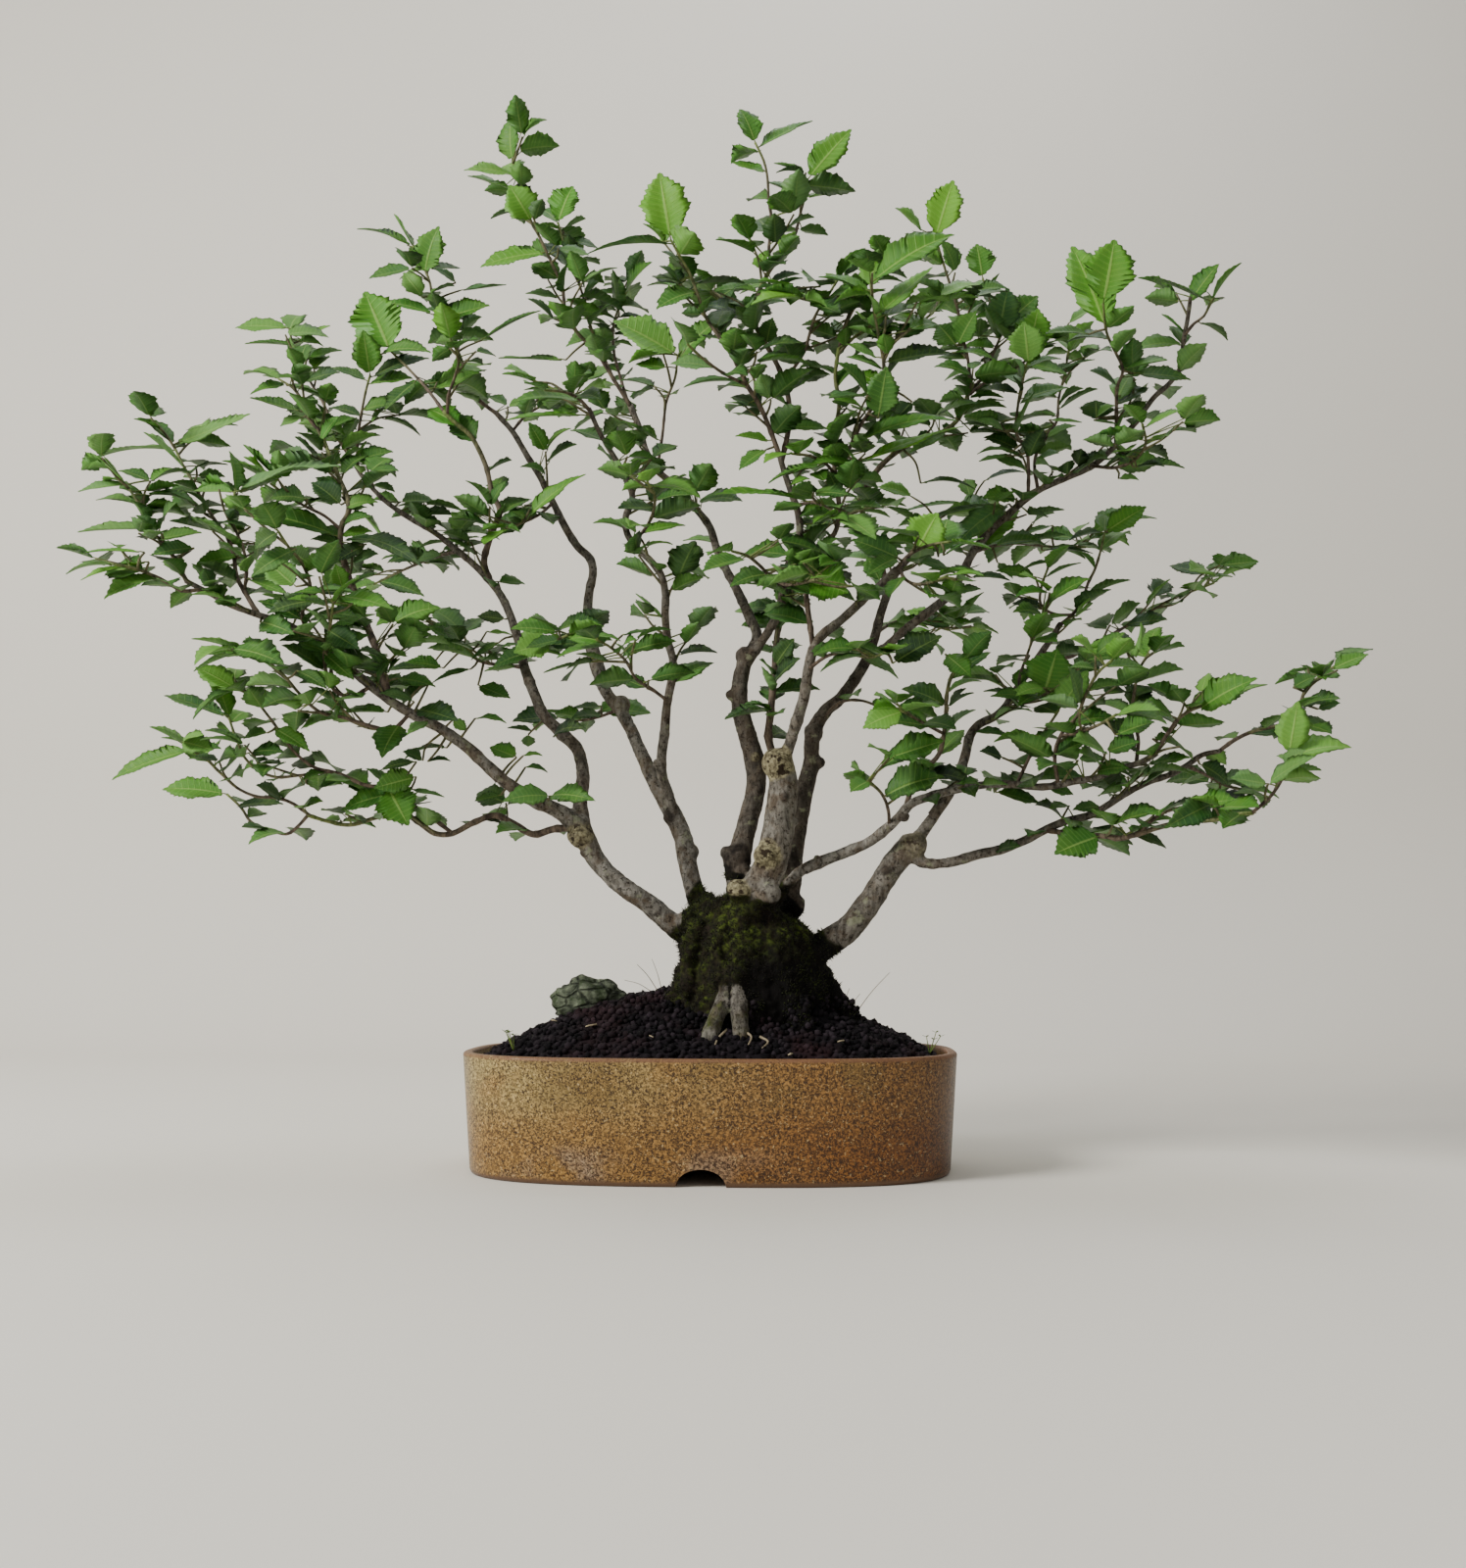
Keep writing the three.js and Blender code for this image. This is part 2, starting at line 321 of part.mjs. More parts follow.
// Leaves that stand out in the view: [twig, [foot x, z], [tip x, z], width, tilt from face-on to flat in
// degrees, depth of tip past foot].
const SHOWN_LEAVES = [
  ["crown_top", [41, 818], [82, 841], 18, 50, 10],
  ["crown_top_side", [78, 789], [114, 831], 27, 15, 0],
  ["crown_left", [-34, 740], [-44, 799], 36, 8, -6],
  ["crown_left", [-31, 736], [-103, 738], 24, 72, -10],
  ["crown_left", [-22, 718], [18, 734], 18, 50, -8],
  ["back_tip", [-149, 758], [-168, 791], 30, 12, -8],
  ["back_tip_side", [-127, 757], [-115, 788], 28, 15, 4],
  ["back_tip", [-160, 797], [-206, 809], 16, 40, 0],
  ["back_tip", [-136, 731], [-192, 724], 30, 35, -8],
  ["second_tip", [-235, 715], [-227, 757], 28, 20, 0],
  ["second_tip", [-246, 738], [-295, 757], 13, 55, 6],
  ["second_tip", [-222, 677], [-184, 690], 26, 30, -8],
  ["bow_tip", [-264, 651], [-287, 702], 44, 8, -8],
  ["bow_tip", [-240, 626], [-268, 600], 20, 60, -20],
  ["fork_tip", [-349, 672], [-396, 678], 24, 38, 0],
  ["fork_tip", [-344, 656], [-386, 660], 20, 60, -10],
  ["arm_riser", [-442, 575], [-380, 601], 22, 35, -8],
  ["arm_riser", [-440, 569], [-512, 566], 16, 78, 6],
  ["arm_riser_low", [-389, 533], [-304, 556], 26, 50, -12],
  ["left_riser", [-300, 494], [-393, 521], 30, 42, -30],
  ["left_riser", [-300, 490], [-236, 482], 22, 68, -20],
  ["arm_tip", [-480, 541], [-521, 537], 15, 48, 0],
  ["arm_tip", [-458, 503], [-520, 506], 20, 58, -14],
  ["arm_left", [-486, 474], [-528, 470], 18, 70, -4],
  ["arm_left", [-448, 462], [-496, 452], 26, 50, -22],
  ["low_run", [-387, 348], [-441, 369], 20, 58, 0],
  ["low_run_up", [-382, 371], [-420, 352], 18, 65, -12],
  ["whip_drop", [-386, 286], [-440, 294], 26, 38, -8],
  ["whip_tip", [-416, 322], [-484, 303], 24, 45, -6],
  ["low_run", [-256, 290], [-240, 262], 32, 25, -10],
  ["low_run", [-250, 287], [-296, 276], 22, 30, -14],
  ["fork_short", [-126, 406], [-158, 398], 28, 22, -8],
  ["lone_riser", [-28, 642], [-80, 674], 36, 28, -10],
  ["lone_riser", [-29, 636], [4, 674], 24, 30, -14],
  ["front_up", [80, 517], [2, 525], 22, 58, -24],
  ["whip_left", [90, 549], [44, 540], 18, 62, -8],
  ["whip_stem", [110, 562], [192, 592], 24, 48, -26],
  ["whip_stem", [128, 699], [195, 742], 30, 32, -8],
  ["whip_stem", [129, 690], [88, 712], 18, 58, 10],
  ["whip_stem", [132, 670], [178, 712], 20, 48, 10],
  ["mid_up", [181, 736], [196, 785], 30, 12, 0],
  ["mid_up_back", [218, 700], [214, 731], 26, 8, 0],
  ["mid_up_back", [233, 657], [262, 686], 30, 25, 10],
  ["mid_right", [253, 632], [262, 675], 32, 15, -10],
  ["arch_rise", [313, 677], [324, 731], 38, 8, -10],
  ["arch_rise", [315, 655], [290, 728], 38, 12, 12],
  ["arch_tip", [398, 676], [352, 700], 20, 60, -10],
  ["arch_tip", [386, 660], [411, 646], 16, 60, 0],
  ["up_tip", [309, 490], [342, 511], 22, 22, -6],
  ["up_tip", [304, 472], [330, 494], 18, 50, 10],
  ["low_tip", [478, 378], [507, 391], 16, 45, 0],
  ["rise_tip", [376, 349], [420, 373], 24, 38, -10],
  ["low_front", [300, 250], [264, 238], 32, 40, -10],
  ["right_short", [124, 295], [108, 286], 18, 50, -8],
  ["right_short", [142, 284], [178, 300], 32, 40, -14],
  ["front_low", [28, 474], [-8, 464], 22, 55, -10],
  ["front_low_side", [76, 452], [108, 444], 34, 22, -6],
  ["heart", [163, 477], [179, 507], 30, 12, -8],
  ["heart", [172, 480], [216, 492], 16, 62, -10],
  ["arch_low", [210, 476], [242, 512], 28, 38, -12],
  ["up_low", [260, 361], [270, 396], 40, 15, -8],
  ["right_spur_left", [150, 348], [118, 336], 22, 30, -6],
  ["second_mid", [-150, 505], [-102, 544], 18, 42, -14],
];

// Surface roots, as true points [x, y, z], with their radii.
const ROOTS = [
  [[5, 6, 8], [[18, -46, 152], [13, -57, 128], [4.5, -64, 104], [0, -64, 84]]],
  [[6.5, 6.5, 6], [[23, -48, 150], [24, -59, 126], [26, -65, 100], [28, -65, 84]]],
  [[13, 10, 6], [[2, -14, 148], [-18, -18, 132], [-30, -24, 112], [-36, -28, 96]]],
  [[13, 10, 7], [[70, -8, 152], [87, -14, 134], [104, -18, 112], [112, -20, 96]]],
  [[11, 8, 6], [[52, -34, 146], [66, -50, 120], [76, -58, 96]]],
  [[12, 9, 6], [[70, 28, 144], [92, 42, 120], [104, 50, 98]]],
  [[12, 9, 6], [[4, 32, 144], [-16, 48, 120], [-26, 58, 98]]],
];

function manifoldFrom(points, faces) {
  const vertProperties = new Float32Array(points.flatMap((p) => [p.x, p.y, p.z]));
  const triVerts = new Uint32Array(faces.flat());
  return new wasm.Manifold(new wasm.Mesh({ numProp: 3, vertProperties, triVerts }));
}

function solid(geometry) {
  geometry.deleteAttribute("normal");
  geometry.deleteAttribute("uv");
  const merged = mergeVertices(geometry, 1e-4);
  const vertProperties = new Float32Array(merged.attributes.position.array);
  const triVerts = new Uint32Array(merged.index.array);
  return new wasm.Manifold(new wasm.Mesh({ numProp: 3, vertProperties, triVerts }));
}

// A closed solid through a list of rings, each with the same number of points.
function loft(rings) {
  const count = rings[0].length;
  const points = rings.flat();
  const faces = [];
  for (let r = 0; r + 1 < rings.length; r++) {
    for (let i = 0; i < count; i++) {
      const a = r * count + i;
      const b = r * count + ((i + 1) % count);
      faces.push([a, b, b + count], [a, b + count, a + count]);
    }
  }
  const last = (rings.length - 1) * count;
  for (const [first, turned] of [[0, false], [last, true]]) {
    const middle = new THREE.Vector3();
    for (let i = 0; i < count; i++) middle.addScaledVector(points[first + i], 1 / count);
    points.push(middle);
    for (let i = 0; i < count; i++) {
      const a = first + i;
      const b = first + ((i + 1) % count);
      faces.push(turned ? [a, b, points.length - 1] : [b, a, points.length - 1]);
    }
  }
  return manifoldFrom(points, faces);
}

// A tapering tube. A grown one is larger all round, and is used to cut what stands against it.
function tube(line, radii, sides, grow) {
  const rings = [];
  let across = new THREE.Vector3(0.31, 0.87, 0.39);
  line.forEach((point, i) => {
    const before = line[Math.max(i - 1, 0)];
    const after = line[Math.min(i + 1, line.length - 1)];
    const along = after.clone().sub(before).normalize();
    across = across.clone().addScaledVector(along, -across.dot(along)).normalize();
    const side = along.clone().cross(across);
    const end = i === 0 ? -grow : i === line.length - 1 ? grow : 0;
    const ring = [];
    for (let k = 0; k < sides; k++) {
      const angle = (2 * Math.PI * k) / sides;
      const p = point.clone().addScaledVector(along, end);
      p.addScaledVector(across, (radii[i] + grow) * Math.cos(angle));
      p.addScaledVector(side, (radii[i] + grow) * Math.sin(angle));
      ring.push(p);
    }
    rings.push(ring);
  });
  return loft(rings);
}

function spread(values, share) {
  const place = share * (values.length - 1);
  const low = Math.min(Math.floor(place), values.length - 2);
  return values[low] + (values[low + 1] - values[low]) * (place - low);
}

// The place on a drawn route that is nearest to (x, z), as [x, z, depth].
function nearestOn(route, x, z) {
  let best = null;
  let bestGap = Infinity;
  for (let i = 0; i + 1 < route.length; i++) {
    const [ax, az, ay] = route[i];
    const [bx, bz, by] = route[i + 1];
    const length = (bx - ax) ** 2 + (bz - az) ** 2;
    const share = Math.min(Math.max(((x - ax) * (bx - ax) + (z - az) * (bz - az)) / length, 0), 1);
    const near = [ax + (bx - ax) * share, az + (bz - az) * share, ay + (by - ay) * share];
    const gap = (near[0] - x) ** 2 + (near[1] - z) ** 2;
    if (gap < bestGap) {
      bestGap = gap;
      best = near;
    }
  }
  return best;
}

function closestOn(line, point) {
  let best = line[0];
  for (let i = 0; i + 1 < line.length; i++) {
    const near = new THREE.Line3(line[i], line[i + 1]).closestPointToPoint(point, true, new THREE.Vector3());
    if (near.distanceTo(point) < best.distanceTo(point)) best = near;
  }
  return best;
}

// Points of a route that it can lose without moving more than a tolerance are left out.
function thinned(indices, line, tolerance) {
  const first = indices[0];
  const last = indices[indices.length - 1];
  const chord = new THREE.Line3(line[first], line[last]);
  let worst = 0;
  let gap = tolerance;
  for (let i = 1; i + 1 < indices.length; i++) {
    const foot = chord.closestPointToPoint(line[indices[i]], true, new THREE.Vector3());
    if (foot.distanceTo(line[indices[i]]) > gap) {
      worst = i;
      gap = foot.distanceTo(line[indices[i]]);
    }
  }
  if (worst === 0) return [first, last];
  const left = thinned(indices.slice(0, worst + 1), line, tolerance);
  return [...left.slice(0, -1), ...thinned(indices.slice(worst), line, tolerance)];
}

// Lays a drawn route out in depth, and keeps it with its thinned line and radii.
const limbs = new Map();
function grow([name, parent, radii, [from, to], drawn], tolerance) {
  const route = drawn.map(([x, z]) => [x, z]);
  let base = from;
  if (from === null) {
    const [x, z, depth] = nearestOn(limbs.get(parent).route, ...drawn[0]);
    route[0] = [x, z];
    base = depth;
  }
  const lengths = [0];
  for (let i = 1; i < route.length; i++) {
    const step = Math.hypot(route[i][0] - route[i - 1][0], route[i][1] - route[i - 1][1]);
    lengths.push(lengths[i - 1] + step);
  }
  const total = lengths[lengths.length - 1];
  const phase = draw(0, 6.28);
  const wave = Math.min(total * SWAY.share, SWAY.most);
  route.forEach((point, i) => {
    const share = lengths[i] / total;
    const turn = Math.sin(phase + lengths[i] / SWAY.turn) - Math.sin(phase) * (1 - share);
    const swing = wave * Math.min(share * SWAY.settle, 1) * turn;
    point.push(base + (to - base) * share + (i === 0 ? 0 : swing));
  });
  const line = route.map(([x, z, y]) => seen(x, z, y));
  const sizes = lengths.map((length) => spread(radii, length / total));
  const kept = thinned(line.map((_, i) => i), line, tolerance);
  const limb = {
    name,
    parent,
    route,
    line: kept.map((i) => line[i]),
    radii: kept.map((i) => sizes[i]),
  };
  limbs.set(name, limb);
  return limb;
}

function sidesOf(radii) {
  if (radii[0] > 20) return 10;
  if (radii[0] > 7) return 6;
  if (radii[0] > 3.5) return 5;
  return radii[0] > 1.75 ? 4 : 3;
}

const woodLimbs = WOOD.map((entry) => grow(entry, WOOD_TOLERANCE));
const twigLimbs = TWIGS.map((entry) => grow(entry, TWIG_TOLERANCE));
const rootLimbs = ROOTS.map(([radii, points]) => ({
  line: points.map((p) => new THREE.Vector3(...p)),
  radii: points.map((_, i) => spread(radii, i / (points.length - 1))),
}));

// Leaves: a folded blade, with its foot on the axis of its twig.
function pointOn(leaf, u, v) {
  const across = v * leaf.half;
  return leaf.foot
    .clone()
    .addScaledVector(leaf.along, u * leaf.length)
    .addScaledVector(leaf.across, across)
    .addScaledVector(leaf.up, Math.abs(across) * FOLD);
}

function bladeOf(leaf) {
  const loop = [[0, 0], ...leaf.edge, [1, 0]];
  for (const [u, v] of [...leaf.edge].reverse()) loop.push([u, -v]);
  const count = loop.length;
  const points = [];
  for (const side of [0.5, -0.5]) {
    for (const [u, v] of loop) points.push(pointOn(leaf, u, v).addScaledVector(leaf.up, side * BLADE));
  }
  for (const side of [0.5, -0.5]) points.push(pointOn(leaf, RIB, 0).addScaledVector(leaf.up, side * BLADE));
  const faces = [];
  for (let i = 0; i < count; i++) {
    const next = (i + 1) % count;
    faces.push([2 * count, next, i], [2 * count + 1, i + count, next + count]);
  }
  for (let i = 0; i < count; i++) {
    const next = (i + 1) % count;
    faces.push([i, next + count, i + count], [i, next, next + count]);
  }
  return manifoldFrom(points, faces);
}

function envelope(u) {
  for (let i = 1; i < ENVELOPE.length; i++) {
    const [u0, v0] = ENVELOPE[i - 1];
    const [u1, v1] = ENVELOPE[i];
    if (u <= u1) return v0 + ((v1 - v0) * (u - u0)) / (u1 - u0);
  }
  return 0;
}

// Where a point lies against a leaf: along it, across it, and its height over the blade.
function against(leaf, point) {
  const offset = point.clone().sub(leaf.foot);
  const across = offset.dot(leaf.across);
  const rise = offset.dot(leaf.up) - Math.abs(across) * FOLD;
  return { u: offset.dot(leaf.along) / leaf.length, across, rise };
}

function passes(leaf, line, thick) {
  let last = null;
  for (const point of line) {
    const here = against(leaf, point);
    const margin = thick + CLEAR;
    const reach = margin / leaf.length;
    const inside = here.u > -reach && here.u < 1 + reach;
    const blade = leaf.half * envelope(Math.min(Math.max(here.u, 0), 1));
    const near = inside && Math.abs(here.across) < blade + margin;
    const crossed = last !== null && last.near && near && last.rise * here.rise < 0;
    if (near && (Math.abs(here.rise) < margin || crossed)) return true;
    last = { near, rise: here.rise };
  }
  return false;
}

function wires(leaf) {
  return [-1, 0, 1].map((side) => {
    const line = [];
    for (let u = 0.1; u <= 1.001; u += 0.09) line.push(pointOn(leaf, u, side * envelope(u)));
    return line;
  });
}

// Every limb as a row of points ROW_STEP apart, against which leaves are tried.
const rows = [...woodLimbs, ...twigLimbs, ...rootLimbs].map((limb) => {
  const points = [];
  for (let i = 0; i + 1 < limb.line.length; i++) {
    const steps = Math.ceil(limb.line[i].distanceTo(limb.line[i + 1]) / ROW_STEP);
    for (let k = 0; k < steps; k++) points.push(limb.line[i].clone().lerp(limb.line[i + 1], k / steps));
  }
  points.push(limb.line[limb.line.length - 1]);
  return { name: limb.name, points, box: new THREE.Box3().setFromPoints(points), thick: limb.radii[0] };
});

const leaves = [];
function fits(leaf) {
  const middle = leaf.foot.clone().addScaledVector(leaf.along, leaf.length / 2);
  const reach = Math.hypot(leaf.length / 2, leaf.half) + CLEAR;
  for (const other of leaves) {
    if (other.middle.distanceTo(middle) > reach + other.reach) continue;
    if (other.lines.some((line) => passes(leaf, line, 0))) return false;
    if (leaf.lines.some((line) => passes(other, line, 0))) return false;
  }
  for (const row of rows) {
    if (row.box.distanceToPoint(middle) > reach + row.thick) continue;
    const own = row.name === leaf.twig;
    const clearOf = own ? row.points.filter((p) => p.distanceTo(leaf.foot) > OWN_TWIG) : row.points;
    const close = clearOf.filter((p) => p.distanceTo(middle) < reach + row.thick + ROW_STEP);
    if (passes(leaf, close, row.thick)) return false;
  }
  leaf.middle = middle;
  leaf.reach = reach;
  return true;
}

function makeLeaf(twig, foot, tip, facing, half) {
  const along = tip.clone().sub(foot);
  const length = along.length();
  along.normalize();
  const up = facing.clone().addScaledVector(along, -facing.dot(along)).normalize();
  const across = up.clone().cross(along);
  const leaf = { twig, foot, along, across, up, length, half };
  leaf.lines = wires(leaf);
  return leaf;
}

// The point at a distance along a line, and the line's direction there.
function pointAlong(line, distance) {
  let left = distance;
  for (let i = 0; i + 1 < line.length; i++) {
    const step = line[i + 1].clone().sub(line[i]);
    const length = step.length();
    if (left <= length || i + 2 === line.length) {
      step.divideScalar(length);
      return [line[i].clone().addScaledVector(step, left), step];
    }
    left -= length;
  }
}

// The large leaves. One that meets another leaf is turned in depth until it is clear.
const EASES = [0, 8, -8, 16, -16, 26, -26];
for (const [twig, [fx, fz], [tx, tz], width, tilt, lean] of SHOWN_LEAVES) {
  const [x, z, y] = nearestOn(limbs.get(twig).route, fx, fz);
  const foot = closestOn(limbs.get(twig).line, seen(x, z, y));
  for (const ease of EASES) {
    const angle = ((tilt + ease / 2) * Math.PI) / 180;
    const facing = new THREE.Vector3(0, -Math.cos(angle), Math.sin(angle));
    const leaf = makeLeaf(twig, foot, seen(tx, tz, y + lean + ease), facing, width / 2);
    if (!fits(leaf)) continue;
    leaf.edge = LARGE_EDGE;
    leaves.push(leaf);
    break;
  }
}

// Ordinary leaves stand left and right of each twig in turn, near level, with one at its end.
const UP = new THREE.Vector3(0, 0, 1);
for (const twig of twigLimbs) {
  const total = twig.line.reduce((sum, p, i) => sum + (i > 0 ? p.distanceTo(twig.line[i - 1]) : 0), 0);
  const bearing = draw(0, Math.PI);
  let side = 1;
  for (let place = total - 0.5; place > LEAF_FROM; place -= LEAF_STEP * draw(0.8, 1.2)) {
    const [foot, along] = pointAlong(twig.line, place);
    side = -side;
    for (let attempt = 0; attempt < TRIES; attempt++) {
      const level = along.clone().cross(UP);
      if (level.length() < 0.5) level.set(Math.cos(bearing), Math.sin(bearing), 0);
      level.normalize();
      const turn = place > total - 1 ? draw(...LEAF.endTurn) : side * draw(...LEAF.turn);
      const way = along.clone().multiplyScalar(Math.cos(turn)).addScaledVector(level, Math.sin(turn));
      way.z += draw(...LEAF.droop);
      const length = draw(...LEAF.length);
      const half = (length * draw(...LEAF.width)) / 2;
      const tip = foot.clone().addScaledVector(way.normalize(), length);
      const facing = new THREE.Vector3(draw(...LEAF.faceX), draw(...LEAF.faceY), 1);
      const leaf = makeLeaf(twig.name, foot, tip, facing, half);
      if (!fits(leaf)) continue;
      leaf.edge = SMALL_EDGE;
      leaves.push(leaf);
      break;
    }
  }
}

function joined(parts) {
  return parts.reduce((whole, part) => whole.add(part));
}

// The outer skin of the largest body: sealed pockets are filled and loose scraps dropped.
function largest(body) {
  return body.decompose().reduce((best, part) => (part.volume() > best.volume() ? part : best));
}

const grownWood = [...woodLimbs, ...rootLimbs];
const wood = joined(grownWood.map(({ line, radii }) => tube(line, radii, sidesOf(radii), 0)));
const woodSpace = joined(grownWood.map(({ line, radii }) => tube(line, radii, sidesOf(radii), GROW)));

// Pot: a rounded oblong bowl with a soft rim, a foot ring with a notch front and back, and two drain holes.
function plan(inset, z) {
  const ring = [];
  for (let i = 0; i < POT.segments; i++) {
    const angle = (2 * Math.PI * i) / POT.segments;
    const x = Math.sign(Math.cos(angle)) * Math.abs(Math.cos(angle)) ** (2 / POT.corner);
    const y = Math.sign(Math.sin(angle)) * Math.abs(Math.sin(angle)) ** (2 / POT.corner);
    ring.push(new THREE.Vector3((POT.halfLength - inset) * x, (POT.halfDepth - inset) * y, z));
  }
  return ring;
}

function potSolid() {
  const outside = loft([
    plan(POT.taper + 2, 0),
    plan(POT.taper, 3),
    plan(POT.taper / 2, POT.height * 0.45),
    plan(0, POT.height - POT.rim),
    plan(POT.rim / 3, POT.height - POT.rim / 3),
    plan(POT.rim, POT.height),
  ]);
  const inside = loft([
    plan(POT.wall + POT.taper + 4, POT.floorTo),
    plan(POT.wall + POT.taper, POT.floorTo + 4),
    plan(POT.wall, POT.height + 1),
  ]);
  const under = loft([plan(POT.taper + POT.ring, -1), plan(POT.taper + POT.ring + 2, POT.floorFrom)]);
  const notch = new THREE.CylinderGeometry(NOTCH.halfWidth, NOTCH.halfWidth, 4 * POT.halfDepth, 20);
  notch.scale(1, 1, NOTCH.height / NOTCH.halfWidth).translate(NOTCH.x, 0, 0);
  let pot = outside.subtract(inside).subtract(under).subtract(solid(notch));
  for (const side of [-1, 1]) {
    const hole = new THREE.CylinderGeometry(DRAIN.radius, DRAIN.radius, 4 * POT.floorTo, 16);
    hole.rotateX(Math.PI / 2).translate(side * DRAIN.x, 0, 0);
    pot = pot.subtract(solid(hole));
  }
  return pot;
}

function padSolid(side, margin) {
  const width = 2 * (MESH.half + margin);
  const depth = MESH.thick + 2 * margin;
  const height = POT.floorTo + SEAT + MESH.thick / 2;
  const plate = new THREE.BoxGeometry(width, width, depth).translate(side * DRAIN.x, 0, height);
  let pad = solid(plate);
  if (margin > 0) return pad;
  for (const x of [-MESH.pitch / 2, MESH.pitch / 2]) {
    for (const y of [-MESH.pitch / 2, MESH.pitch / 2]) {
      const hole = new THREE.BoxGeometry(MESH.hole, MESH.hole, 2 * MESH.thick);
      hole.translate(side * DRAIN.x + x, y, height);
      pad = pad.subtract(solid(hole));
    }
  }
  return pad;
}

// Soil: level with the rim at the wall, and heaped up to the stump.
function soilHeight(share, angle, rise) {
  const fall = SOIL.along * Math.cos(angle) ** 2 + SOIL.across * Math.sin(angle) ** 2;
  return SOIL.edge + rise + (SOIL.crest - SOIL.edge) * (1 - share ** fall) ** SOIL.round;
}

function soilSolid(rise) {
  const inset = POT.wall + 2 * SEAT;
  const rings = [
    plan(inset + POT.taper + 4, POT.floorTo + SEAT),
    plan(inset + POT.taper + SEAT, POT.floorTo + 5),
  ];
  for (const share of SOIL.rings) {
    rings.push(plan(inset + 2 * SEAT, 0).map((p, i) => {
      const angle = (2 * Math.PI * i) / POT.segments;
      return new THREE.Vector3(p.x * share, p.y * share, soilHeight(share, angle, rise));
    }));
  }
  return loft(rings);
}

const pads = [-1, 1].map((side) => padSolid(side, 0));
let soil = soilSolid(0).subtract(woodSpace);
for (const side of [-1, 1]) soil = soil.subtract(padSolid(side, SEAT));

// Stone: a low wrinkled lump that beds on the soil.
function stoneSolid() {
  const lump = new THREE.IcosahedronGeometry(1, 2);
  const place = lump.attributes.position;
  for (let i = 0; i < place.count; i++) {
    const p = new THREE.Vector3().fromBufferAttribute(place, i);
    const wrinkle = 1 + 0.07 * Math.sin(7 * p.x + 3 * p.z) + 0.05 * Math.sin(9 * p.z - 4 * p.y);
    p.multiplyScalar(wrinkle);
    place.setXYZ(i, p.x * STONE.size[0], p.y * STONE.size[1], p.z * STONE.size[2]);
  }
  lump.translate(STONE.x, STONE.y, STONE.z);
  return solid(lump).subtract(soilSolid(SEAT)).subtract(woodSpace);
}

const bonsai = new THREE.Group();
function place(name, body, color, roughness) {
  const { vertProperties, triVerts } = body.getMesh();
  const geometry = new THREE.BufferGeometry();
  geometry.setAttribute("position", new THREE.BufferAttribute(new Float32Array(vertProperties), 3));
  geometry.setIndex(new THREE.BufferAttribute(new Uint32Array(triVerts), 1));
  geometry.computeVertexNormals();
  const mesh = new THREE.Mesh(geometry, new THREE.MeshStandardMaterial({ color, roughness, metalness: 0 }));
  mesh.name = name;
  bonsai.add(mesh);
}

place("pot", potSolid(), 0xa5824b, 0.25);
place("drain_mesh_left", pads[0], 0x2c2f2e, 0.6);
place("drain_mesh_right", pads[1], 0x2c2f2e, 0.6);
place("soil", soil, 0x2d2022, 0.95);
place("stone", stoneSolid(), 0x8f9686, 0.9);
place("tree", wood, 0x5f564a, 0.9);

// One spray for each leafy branch that grows from the wood, with all its side twigs and leaves.
const sprayOf = new Map();
for (const twig of twigLimbs) {
  const home = sprayOf.get(twig.parent) ?? twig.name;
  sprayOf.set(twig.name, home);
}
for (const home of new Set(sprayOf.values())) {
  const twigs = twigLimbs.filter((twig) => sprayOf.get(twig.name) === home);
  const blades = leaves.filter((leaf) => sprayOf.get(leaf.twig) === home);
  const parts = twigs.map(({ line, radii }) => tube(line, radii, sidesOf(radii), 0));
  for (const leaf of blades) parts.push(bladeOf(leaf));
  place("spray_" + home, largest(joined(parts).subtract(woodSpace)), 0x5b8a34, 0.6);
}

export default bonsai;
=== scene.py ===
"""English elm bonsai in a glazed pot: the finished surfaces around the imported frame."""
import json
import math

import bmesh
import bpy
import numpy as np
from mathutils import Matrix, Vector, noise

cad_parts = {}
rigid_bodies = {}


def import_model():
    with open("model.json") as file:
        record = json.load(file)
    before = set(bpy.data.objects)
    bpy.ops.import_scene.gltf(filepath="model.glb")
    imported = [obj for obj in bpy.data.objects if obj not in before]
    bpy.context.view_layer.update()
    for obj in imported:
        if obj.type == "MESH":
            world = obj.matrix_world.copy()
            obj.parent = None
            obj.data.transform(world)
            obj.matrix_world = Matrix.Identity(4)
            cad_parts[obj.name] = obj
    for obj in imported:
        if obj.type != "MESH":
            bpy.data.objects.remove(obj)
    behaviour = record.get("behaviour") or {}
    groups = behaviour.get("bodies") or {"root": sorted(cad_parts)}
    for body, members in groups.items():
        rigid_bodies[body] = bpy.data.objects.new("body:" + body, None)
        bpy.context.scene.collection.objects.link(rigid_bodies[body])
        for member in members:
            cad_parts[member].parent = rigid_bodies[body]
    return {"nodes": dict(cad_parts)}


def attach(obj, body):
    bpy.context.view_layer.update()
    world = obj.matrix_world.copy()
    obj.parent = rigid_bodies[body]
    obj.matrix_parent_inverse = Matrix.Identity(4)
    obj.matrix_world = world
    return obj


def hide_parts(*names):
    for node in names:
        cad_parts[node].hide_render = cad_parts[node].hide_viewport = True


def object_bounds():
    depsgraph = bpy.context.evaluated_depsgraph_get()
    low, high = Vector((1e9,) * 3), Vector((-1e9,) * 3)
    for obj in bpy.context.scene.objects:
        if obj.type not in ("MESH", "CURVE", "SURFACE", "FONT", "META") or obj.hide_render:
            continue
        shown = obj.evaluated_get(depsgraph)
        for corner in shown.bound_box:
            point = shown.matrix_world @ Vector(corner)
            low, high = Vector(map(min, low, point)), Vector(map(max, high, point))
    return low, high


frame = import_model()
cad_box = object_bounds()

MM = 0.001

